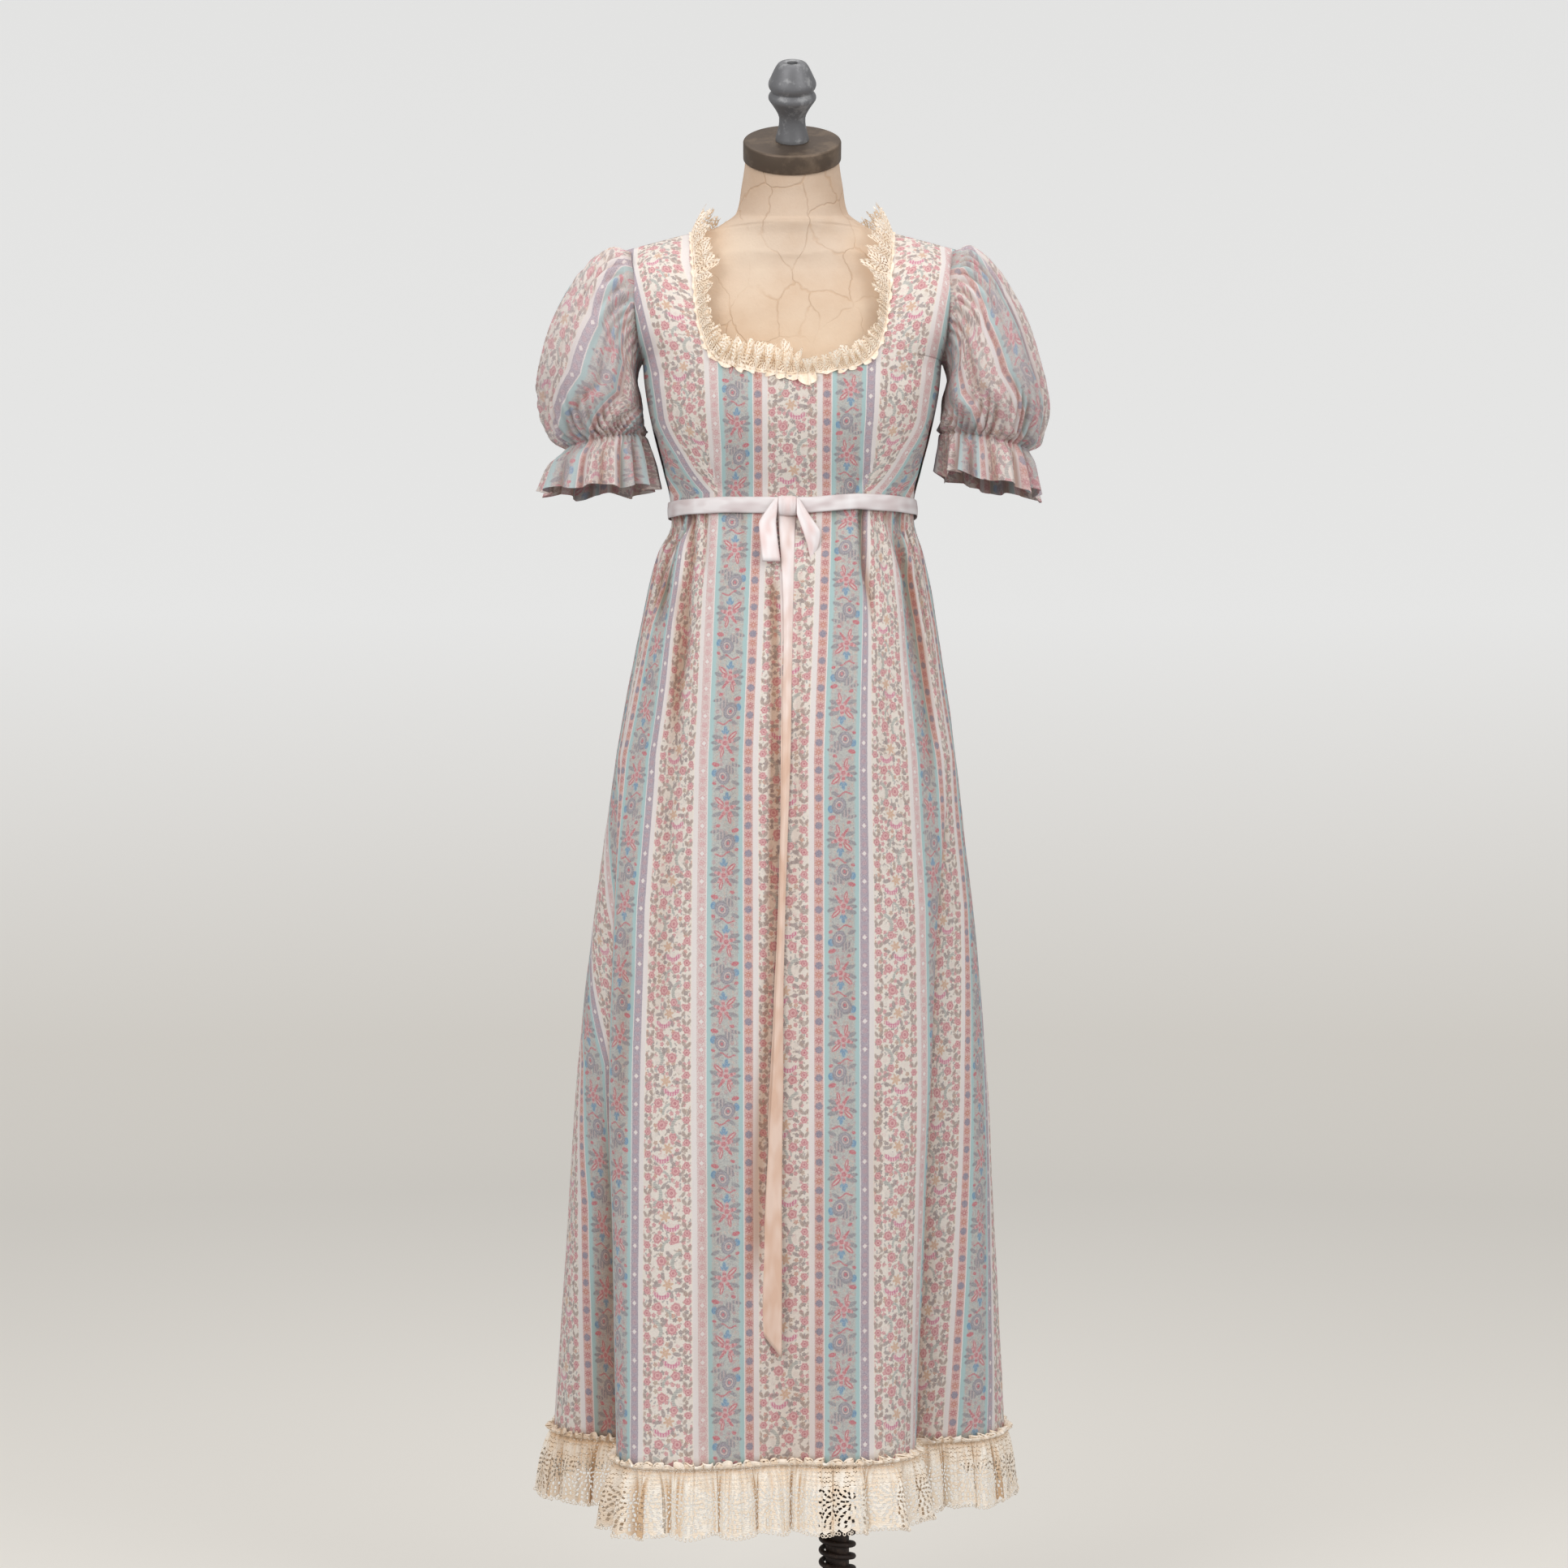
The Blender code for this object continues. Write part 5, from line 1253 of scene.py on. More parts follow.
def makeBodiceFront():
    middle = evenChain(neckLow(), 96)
    cornerX, cornerZ = bodice["neckLow"][-1]
    cornerAngle = angleAt(np.array([cornerX]), np.array([cornerZ]))[0]
    share = np.linspace(0, 1, 40)
    sideZ = cornerZ + (bodice["armholeZ"] - cornerZ) * share
    sideAngle = cornerAngle + (89.9 - cornerAngle) * share
    rightTop = bodicePoint(sideAngle, sideZ)
    leftTop = bodicePoint(-sideAngle[::-1], sideZ[::-1])
    middle[0] = leftTop[-1]
    middle[-1] = rightTop[0]
    top = np.concatenate([leftTop[:-1], middle, rightTop[1:]])
    angles = np.clip(angleAt(top[:, 0] - formX, top[:, 2]), -89.9, 89.9)
    down = np.linspace(0, 1, 90)[:, None]
    z = top[None, :, 2] + (bodice["lowZ"] - top[None, :, 2]) * down
    # the columns of the top edge run straight down in angle
    grid = bodicePoint(np.broadcast_to(angles[None, :], z.shape), z)
    grid[0] = top
    run = alongLength(grid[::-1])[::-1]
    normal = toNormals(grid)
    shift = -pressed(grid, bodiceCreases)
    u = bodicePrint(grid)
    loose = fade(down, 0.05, 0.3) * fade(1 - down, 0.03, 0.2)
    shift += rumple(u, run, 41, ((0.05, 1.0), (0.02, 0.5))) * 0.0007 * loose
    # a fine line pressed in along each dart
    fromDart = np.abs(np.abs(grid[..., 0] - formX) - np.interp(z, (1.300, 1.366), (0.0741, 0.0958)))
    shift -= 0.0008 * hump(fromDart, 0.0012) * fade(1.366 - z, 0.0, 0.02)
    grid = grid + normal * shift[..., None]
    grids = [(grid, dartedCorners(grid, np.stack([u, run], axis=-1)))]
    for side in (-1, 1):
        count = 64
        bottom = rightTop if side > 0 else leftTop[::-1]
        corner = bottom[0]
        inner = sideCurve(((abs(corner[0] - formX), corner[1], corner[2]),) + bodice["neckSide"], side, count)
        outer = sideCurve(bodice["armFront"], side, count)
        inner[0] = bottom[0]
        outer[0] = bottom[-1]
        shoulder = inner[-1] + (outer[-1] - inner[-1]) * np.linspace(0, 1, len(bottom))[:, None]
        strap = patch(bottom, shoulder, inner, outer)
        if side > 0:
            bottomRun = run[0, -len(bottom):]
        else:
            bottomRun = run[0, :len(bottom)][::-1]
        up = alongLength(strap) + bottomRun[None, :]
        u = bodicePrint(strap)
        strap = strap[::-1]
        flat = np.stack([u, up], axis=-1)[::-1]
        if side < 0:
            strap = strap[:, ::-1]
            flat = flat[:, ::-1]
        normal = toNormals(strap)
        wave = rumple(flat[..., 0], flat[..., 1], 45 + side, ((0.06, 1.0), (0.025, 0.5))) * 0.0006
        inside = np.clip(fromEnds(len(strap)) / 8.0, 0, 1)[:, None]
        strap = strap + normal * (wave * inside)[..., None]
        strap = strap + np.array([0.0, -0.0008, 0.0]) * (np.linspace(1, 0, count) ** 3)[:, None, None]
        grids.append((strap, quadCorners(flat)))
    return thicken(gridsMesh("bodice_front_cloth", grids, cotton), bodice["thickness"])


def makeBodiceBack(side, name):
    count = 64
    angles = np.linspace(179.65, 90.35, count) * side
    z = np.linspace(bodice["armholeZ"], bodice["lowZ"], 60)[:, None] * np.ones((1, count))
    lower = bodicePoint(np.broadcast_to(angles[None, :], z.shape), z)
    bottom = lower[0]
    neck = sideCurve(bodice["neckBack"], side, 39)[::-1].copy()
    neck[0, 0] = bottom[0, 0]
    outer = sideCurve(bodice["armBack"], side, 56)
    outer[0] = bottom[-1]
    shoulder = neck[-1] + (outer[-1] - neck[-1]) * np.linspace(0, 1, 26)[1:, None]
    top = np.concatenate([neck, shoulder])
    share = np.linspace(0, 1, 56)[:, None]
    inner = bottom[0] + (top[0] - bottom[0]) * share + np.array([0, 0.008, 0]) * np.sin(math.pi * share)
    upper = patch(bottom, top, inner, outer)
    grid = np.concatenate([upper[::-1], lower[1:]])
    if side > 0:
        grid = grid[:, ::-1]
    grid = grid[:, ::-1]
    run = alongLength(grid[::-1])[::-1]
    x = grid[..., 0] - formX
    u = -x * (1.0 + 0.08 * side) + 0.061 * side + 0.012
    normal = toNormals(grid)
    wave = rumple(u, run, 51 + side, ((0.06, 1.0), (0.025, 0.5))) * 0.0007
    wave *= np.clip(fromEnds(len(grid)) / 8.0, 0, 1)[:, None] * np.clip(fromEnds(count) / 4.0, 0, 1)[None, :]
    if normal[30, count // 2, 1] < 0:
        grid = grid[:, ::-1]
        run = run[:, ::-1]
        u = u[:, ::-1]
        normal = toNormals(grid)
        wave = wave[:, ::-1]
    grid = grid + normal * wave[..., None]
    grid[:8] += np.array([0.0, 0.0008, 0.0]) * (np.linspace(1, 0, 8) ** 2)[:, None, None]
    return thicken(gridMesh(name, grid, np.stack([u, run], axis=-1), cotton), bodice["thickness"])


dress(makeBodiceFront(), "cotton", "bodice_front")
dress(makeBodiceBack(-1, "bodice_back_left_cloth"), "cotton", "bodice_back_left")
dress(makeBodiceBack(1, "bodice_back_right_cloth"), "cotton", "bodice_back_right")
print("bodice made")


# The sleeves: outer x and z, inner x and z, half depth and gather height of each section

sleeves = {
    "left": ((0.1816, 1.5785, 0.1622, 1.4548, 0.0575, 0.0000),
             (0.1960, 1.5775, 0.1650, 1.4490, 0.0660, 0.0022),
             (0.2230, 1.5570, 0.1668, 1.4360, 0.0780, 0.0012),
             (0.2530, 1.5090, 0.1630, 1.4200, 0.0860, 0.0004),
             (0.2700, 1.4530, 0.1612, 1.4050, 0.0860, 0.0006),
             (0.2705, 1.4080, 0.1595, 1.3930, 0.0780, 0.0018),
             (0.2590, 1.3760, 0.1590, 1.3840, 0.0640, 0.0028),
             (0.2445, 1.3620, 0.1580, 1.3780, 0.0520, 0.0016),
             (0.2590, 1.3460, 0.1520, 1.3560, 0.0610, 0.0034),
             (0.2680, 1.3160, 0.1470, 1.3190, 0.0680, 0.0048)),
    "right": ((0.1806, 1.5790, 0.1622, 1.4548, 0.0575, 0.0000),
              (0.1940, 1.5800, 0.1650, 1.4490, 0.0660, 0.0022),
              (0.2200, 1.5560, 0.1672, 1.4360, 0.0780, 0.0012),
              (0.2470, 1.5090, 0.1632, 1.4200, 0.0860, 0.0004),
              (0.2650, 1.4560, 0.1615, 1.4060, 0.0880, 0.0006),
              (0.2740, 1.4120, 0.1598, 1.3950, 0.0820, 0.0018),
              (0.2665, 1.3740, 0.1592, 1.3860, 0.0660, 0.0028),
              (0.2560, 1.3610, 0.1590, 1.3800, 0.0520, 0.0016),
              (0.2600, 1.3470, 0.1575, 1.3610, 0.0600, 0.0034),
              (0.2650, 1.3120, 0.1560, 1.3360, 0.0660, 0.0048)),
    "leftPrint": ((-180, -90, 0, 46, 77, 97, 115, 137, 155, 180),
                  (340, 235, 130, 85, 61, 36.5, 2, -36, -61, -95)),
    "rightPrint": ((-180, -90, -10, 18, 40, 60, 90, 110, 125, 140, 160, 180),
                   (340, 230, 122, 85, 61, 36.5, 0, -36.5, -61, -85, -122, -150)),
    # how far the stripes swing round the sleeve at each section, in degrees
    "leftSwing": ((0, 1, 2.5, 4, 5.5, 7, 9), (0, 8, 34, 30, 0, -24, -24)),
    "rightSwing": ((0, 1, 2.5, 4, 5.5, 7, 9), (0, 6, 22, 18, 0, -12, -12)),
    # more rows near the elastic, level 7, and in the ruffle
    "levels": ((0.0, 0.10, 0.55, 0.68, 0.80, 0.98, 1.0), (0, 1.0, 5.6, 6.8, 7.4, 8.96, 9.0)),
    # depth of the folds by level: at the cap, above the cuff, in the ruffle and down the puff
    "capFold": ((0.0, 0.35, 1.0, 2.4, 4.0), (0.0, 0.0016, 0.0024, 0.0010, 0.0)),
    "cuffFold": ((4.2, 5.4, 6.5, 7.0, 7.25, 7.9), (0.0, 0.0022, 0.0036, 0.0014, 0.0014, 0.0)),
    "ruffleFold": ((7.0, 7.4, 8.2, 9.0), (0.0, 0.0016, 0.0046, 0.0078)),
    "puffFold": ((0.8, 2.2, 4.5, 6.2, 7.0), (0.0, 0.0026, 0.0040, 0.0034, 0.0)),
    "rowCount": 78,
    "columns": 290,
    "standOff": 0.00114,
    "thickness": 0.0005,
}


def cellsAt(edges, place):
    # the cell that holds each place, and how far through it the place lies
    k = np.clip(np.searchsorted(edges, place, side="right") - 1, 0, len(edges) - 2)
    return k, (place - edges[k]) / (edges[k + 1] - edges[k])


def unevenWaves(t, seed, count):
    # a closed row of rounded waves of uneven width and height
    dice = np.random.default_rng(seed)
    widths = dice.uniform(0.55, 1.5, count)
    edges = np.concatenate([[0.0], np.cumsum(widths)]) / widths.sum()
    heights = dice.uniform(0.55, 1.25, count)
    k, inside = cellsAt(edges, (np.asarray(t, float) / 360.0) % 1.0)
    return heights[k] * np.cos(inside * 2 * math.pi)


def makeSleeve(side, table, stripes, name, seed):
    levels = np.interp(np.linspace(0, 1, sleeves["rowCount"]), *sleeves["levels"])
    t = np.linspace(-180, 180, sleeves["columns"])
    shape = smoothRows(table, levels)
    shape[:, (0, 2)] += sleeves["standOff"]
    outer = shape[:, :2]
    inner = shape[:, 2:4]
    middle = (outer + inner) * 0.5
    half = (outer - inner) * 0.5
    halfLength = np.linalg.norm(half, axis=1)
    wave = 0.0
    for step, (fold, count) in enumerate((("capFold", 34), ("cuffFold", 40), ("ruffleFold", 15))):
        wave = wave + np.interp(levels, *sleeves[fold])[:, None] * unevenWaves(t, seed + step, count)[None, :]
    # long soft folds of the puff, which fall straight down
    swing = np.interp(levels, *sleeves["rightSwing" if side > 0 else "leftSwing"])
    puff = np.interp(levels, *sleeves["puffFold"])
    wave += puff[:, None] * unevenWaves(t[None, :] + 8 - swing[:, None], seed + 3, 9) * 0.8
    wave += puff[:, None] * unevenWaves(t[None, :] + 3 - swing[:, None] * 1.4, seed + 6, 17) * 0.28
    wave -= 0.0022 * hump(levels - 7.0, 0.12)[:, None]
    # the underarm stays smooth where the sleeve meets the bodice
    calm = 1 - 0.75 * hump(np.abs(np.abs(t) - 180), 30.0)[None, :] * (1 - fade(levels, 5, 8))[:, None]
    wave *= calm
    swell = 1.0 + wave / halfLength[:, None]
    cosine = np.cos(np.radians(t))[None, :]
    sine = np.sin(np.radians(t))[None, :]
    x = (middle[:, 0:1] + half[:, 0:1] * cosine * swell) * side + formX
    z = middle[:, 1:2] + half[:, 1:2] * cosine * swell
    y = -(shape[:, 4:5] + wave) * sine
    # the hem of the ruffle hangs unevenly
    z = z - fade(levels, 7.3, 9.0)[:, None] * 0.0035 * unevenWaves(t + 20, seed + 4, 7)[None, :]
    points = np.stack([np.broadcast_to(x, z.shape), np.broadcast_to(y, z.shape), z], axis=-1)
    turns, flats = np.asarray(stripes, float)
    turns = np.concatenate([[turns[0] - 60], turns, [turns[-1] + 60]])
    flats = np.concatenate([[flats[0] + 70], flats, [flats[-1] - 80]])
    u = np.interp(t[None, :] - swing[:, None], turns, flats) / 1000.0
    down = alongLength(points)
    v = down * (down[-1].mean() / np.maximum(down[-1], 0.01))[None, :]
    if side > 0:
        points = points[:, ::-1]
        u = u[:, ::-1]
        v = -v[:, ::-1]
    tuck = points[:1].copy()
    tuck[..., 0] -= side * 0.0080
    tuck[..., 1] *= 0.94
    tuck[..., 2] += (middle[0, 1] - tuck[..., 2]) * 0.04
    points = np.concatenate([tuck, points])
    u = np.concatenate([u[:1], u])
    v = np.concatenate([v[:1] - 0.008 * np.sign(v[-1:]), v])
    levels = np.concatenate([[0.0], levels])
    inward = np.interp(levels, (0, 1.2), (0, 1))[:, None]
    bump = rumple(u, v, seed + 5, ((0.045, 1.0), (0.02, 0.6), (0.009, 0.3))) * 0.0011 * inward
    bump[:, :2] = 0.0
    bump[:, -2:] = 0.0
    points = points + toNormals(points) * bump[..., None]
    piece = gridMesh(name, points, np.stack([u, v], axis=-1), sheerCotton)
    # painted shade: darker in hollows, over the whole right sleeve, on the inner side, along the elastic and
    # at the armhole; the bottom edge of the ruffle is darker too
    paintedShade = hollows(points, ((3, 2.2), (8, 2.2), (18, 1.5))) + (0.16 if side > 0 else 0.02)
    paintedShade += 0.26 * fade(np.abs(t), 110, 165)[None, :] * fade(levels, 0.6, 2.0)[:, None]
    paintedShade += 0.45 * hump(levels - 7.0, 0.16)[:, None] + 0.4 * hump(levels, 0.12)[:, None]
    paintedShade[-1] += 0.5
    setShade(piece, np.clip(paintedShade, 0, 1))
    return thicken(piece, sleeves["thickness"])


leftSleeve = makeSleeve(-1, sleeves["left"], sleeves["leftPrint"], "sleeve_left_cloth", 61)
rightSleeve = makeSleeve(1, sleeves["right"], sleeves["rightPrint"], "sleeve_right_cloth", 71)
dress(leftSleeve, "cotton", "sleeve_left")
dress(rightSleeve, "cotton", "sleeve_right")
print("sleeves made")


# Lace at the hem: rows down from the top of the heading

hem = {
    # height above or below the seam, distance out, heading wave, fold wave, fine gathers
    "rows": ((-0.0014, 0.0006, 0.0004, 0.0, 0.0), (0.0012, 0.0010, 0.0014, 0.0, 0.0),
             (0.0030, 0.0030, 0.0036, 0.0, 0.0002), (0.0024, 0.0052, 0.0042, 0.0, 0.0003),
             (0.0000, 0.0060, 0.0034, 0.0, 0.0003), (-0.0026, 0.0046, 0.0018, 0.0002, 0.0005),
             (-0.0036, 0.0018, 0.0004, 0.0006, 0.0008), (-0.0052, 0.0016, 0.0002, 0.0014, 0.0012),
             (-0.0085, 0.0030, 0.0, 0.0028, 0.0014), (-0.0160, 0.0046, 0.0, 0.0050, 0.0012),
             (-0.0260, 0.0062, 0.0, 0.0069, 0.0009), (-0.0380, 0.0080, 0.0, 0.0083, 0.0006),
             (-0.0540, 0.0098, 0.0, 0.0092, 0.0003), (-0.0700, 0.0116, 0.0, 0.0096, 0.0)),
    "foldPitch": 0.034,
    "headingPitch": 0.0098,
    "gatherPitch": 0.0052,
    "columns": 1500,
    "picotPitch": 0.0046,
    "picotRadius": 0.0016,
    "picotThread": 0.0005,
    # least and most turn of a picot about each axis
    "picotTurns": ((1.15, -0.3, -0.9), (1.95, 0.3, 0.9)),
}


def unevenLine(s, pitch, seed, power=0.8):
    # rounded waves along a line, uneven in width and height, from -1 to 1
    dice = np.random.default_rng(seed)
    count = int(s[-1] / pitch) + 3
    widths = pitch * dice.uniform(0.55, 1.5, count)
    edges = np.concatenate([[0.0], np.cumsum(widths)])
    heights = dice.uniform(0.5, 1.15, count)
    k, inside = cellsAt(edges, s)
    wave = np.cos(inside * 2 * math.pi)
    return heights[k] * np.sign(wave) * np.abs(wave) ** power


def pleats(s, pitch, seed):
    # rounded ridges with narrow valleys between them, uneven in width and depth
    dice = np.random.default_rng(seed)
    count = int(s[-1] / pitch) + 4
    widths = pitch * dice.uniform(0.35, 1.7, count)
    edges = np.concatenate([[0.0], np.cumsum(widths)]) - pitch * 0.5
    depths = dice.uniform(0.35, 1.1, count)
    k, inside = cellsAt(edges, s)
    return depths[k] * (2 * np.abs(np.cos(inside * math.pi)) ** 1.1 - 1)


def makeHemLace(points, name, seed):
    chain = points[-1]
    columns = hem["columns"]
    even = evenChain(chain, columns)
    length = np.linalg.norm(np.diff(even, axis=0), axis=1).sum()
    s = np.linspace(0, length, columns)
    reach = int(0.022 / (length / columns))
    ahead = even[np.minimum(np.arange(columns) + reach, columns - 1)]
    behind = even[np.maximum(np.arange(columns) - reach, 0)]
    along = ahead - behind
    out = unit(np.stack([along[:, 1], -along[:, 0], np.zeros(columns)], axis=-1))
    ends = fromEnds(columns) / reach
    first, last = np.sign(even[(0, -1), 0] - formX)
    side = np.where(np.arange(columns) < columns / 2, first, last)
    away = np.stack([side, np.zeros(columns), np.zeros(columns)], axis=-1)
    out = unit(away + (out - away) * np.clip(ends, 0, 1)[:, None])
    tangent = unit(np.gradient(even, axis=0))
    table = np.asarray(hem["rows"])
    place = np.concatenate([np.linspace(0, 7, 15), np.linspace(7, 13, 20)[1:]])
    rows = smoothRows(table, place)
    drops = rows[:, 0]
    rows = rows[:, 1:]
    folds = pleats(s, hem["foldPitch"], seed)
    slant = unevenLine(s + 0.012, hem["foldPitch"], seed)
    heading = unevenLine(s, hem["headingPitch"], seed + 1, 0.9)
    fine = unevenLine(s, hem["gatherPitch"], seed + 2, 1.0)
    small = unevenLine(s, 0.0125, seed + 5) * unevenLine(s, 0.09, seed + 6)
    ripple = 0.0026 * fade(-drops, 0.003, 0.020)[:, None] * small
    wave = rows[:, 1:2] * heading + rows[:, 2:3] * folds + rows[:, 3:4] * fine + ripple
    lean = rows[:, 2:3] * slant * 0.75 + rows[:, 1:2] * np.sin(s / hem["headingPitch"] * 2 * math.pi) * 0.6
    calm = np.clip(np.minimum(s, s[::-1]) / 0.006, 0, 1)[None, :]
    grid = even[None] + out[None] * (rows[:, 0:1] + wave * calm)[..., None]
    grid += tangent[None] * (lean * calm)[..., None]
    rise = unevenLine(s, 0.017, seed + 3) * 0.0014 - heading * 0.0012
    rise = rise * np.clip(0.5 + drops / 0.004, 0, 1)[:, None]
    sag = unevenLine(s, 0.05, seed + 4) * 0.0025 * np.clip(-drops / 0.07, 0, 1)[:, None]
    grid[..., 2] = skirt["hemZ"] + drops[:, None] + rise + sag
    v = alongLength(np.stack([drops, rows[:, 0]], axis=-1))
    piece = gridMesh(name, grid, crossed(alongLength(grid[20]), v), hemLace)
    # painted shade: darker in the hollows of the folds, in the troughs of the heading and along the gathered
    # line under the heading
    low = fade(-drops, 0.002, 0.02)[:, None]
    paintedShade = np.clip(hollows(grid, ((6, 2.0), (14, 2.2))), 0, 1) * low
    paintedShade += (1 - low) * (0.5 - 0.5 * heading) * 0.25
    seam = hump(drops + 0.0048, 0.0030)[:, None] * 0.45
    px = seenAt(grid)[0]
    # the part behind the big fold lies in its shadow
    seam = seam + 0.35 * (1 - fade(px, 740, 778)) * (grid[..., 1] < 0)
    setShade(piece, np.clip(paintedShade + seam, 0, 1))
    return piece, grid


def makePicots(name, grid, seed):
    # thread loops along the bottom edge, one every few millimetres
    run = alongLength(grid[-1])
    dice = np.random.default_rng(seed)
    steps = hem["picotPitch"] * dice.uniform(0.75, 1.3, int(run[-1] / hem["picotPitch"] * 1.2))
    at = np.cumsum(steps)
    at = at[at < run[-1] - 0.004]
    edge = grid[-1] * 0.75 + grid[-2] * 0.25
    places = np.stack([np.interp(at, run, edge[:, k]) for k in range(3)], axis=-1)
    mesh = bpy.data.meshes.new(name + "_places")
    mesh.from_pydata(places.tolist(), [], [])
    growth = Growth("picots", Radius="Float", Thread="Float", Seed="Int")
    given = growth.given
    ring = growth.circle(given["Radius"], 9)
    thread = growth.circle(given["Thread"], 4)
    loop = growth.node("GeometryNodeCurveToMesh", "Mesh", Curve=ring, Profile_Curve=thread)
    turn = growth.group.nodes.new("FunctionNodeRandomValue")
    turn.data_type = "FLOAT_VECTOR"
    turn.inputs[0].default_value, turn.inputs[1].default_value = hem["picotTurns"]
    growth.group.links.new(given["Seed"], turn.inputs["Seed"])
    spread = growth.node("GeometryNodeInstanceOnPoints", "Instances", Points=given["Geometry"],
                         Instance=loop, Rotation=turn.outputs[0])
    return growth.grow(name, mesh, spread, Radius=hem["picotRadius"], Thread=hem["picotThread"], Seed=seed,
                       Material=laceThread)


frontHem, frontHemGrid = makeHemLace(frontPoints, "hem_lace_front_net", 81)
backHem, backHemGrid = makeHemLace(backPoints, "hem_lace_back_net", 91)
dress(frontHem, "lace", "hem_lace_front")
dress(backHem, "lace", "hem_lace_back")
dress(makePicots("hem_picots_front_thread", frontHemGrid, 85), "lace")
dress(makePicots("hem_picots_back_thread", backHemGrid, 95), "lace")
print("hem lace made")


# Lace round the neck, gathered along the neckline

neck = {
    # free edge of the ruffle as seen from the front, picture places from the left shoulder to the right
    "free": ((883, 262), (887, 287), (881, 306), (886, 328), (893, 347), (884, 358), (876, 372), (875, 387),
             (880, 404), (891, 419), (906, 424), (923, 427), (939, 424), (954, 434), (970, 430), (983, 433),
             (1000, 449), (1011, 443), (1028, 441), (1044, 436), (1056, 431), (1065, 421), (1078, 405),
             (1080, 381), (1070, 366), (1059, 352), (1061, 337), (1065, 314), (1067, 293), (1065, 264)),
    "shoulderWidth": 0.0310,
    "under": 0.0060,
    "target": (0.0, -0.0100, 1.7200),
    # share of the width, lift, gather wave
    "rows": ((-1.0, 0.0030, 0.0022), (0.0, 0.0010, 0.0008), (0.10, 0.0024, 0.0022), (0.30, 0.0046, 0.0034),
             (0.60, 0.0070, 0.0048), (1.0, 0.0092, 0.0062)),
    "gatherPitch": 0.0090,
    "frontColumns": 900,
    "backColumns": 420,
    "rowCount": 22,
    # metres of ruffle for one point of the picture, and the least and most width
    "perPoint": 0.00092,
    "narrowest": 0.012,
    "widest": 0.036,
}


def neckChain(isFront, count):
    if isFront:
        middle = neckLow()
        edge = ((middle[-1, 0] - formX, middle[-1, 1], middle[-1, 2]),) + bodice["neckSide"]
        right = sideCurve(edge, 1, 60)
        left = sideCurve(edge, -1, 60)
        chain = np.concatenate([left[::-1][:-1], middle, right[1:]])
    else:
        right = sideCurve(bodice["neckBack"], 1, 80)
        left = sideCurve(bodice["neckBack"], -1, 80)
        chain = np.concatenate([right, left[::-1][1:]])
    return evenChain(chain, count)


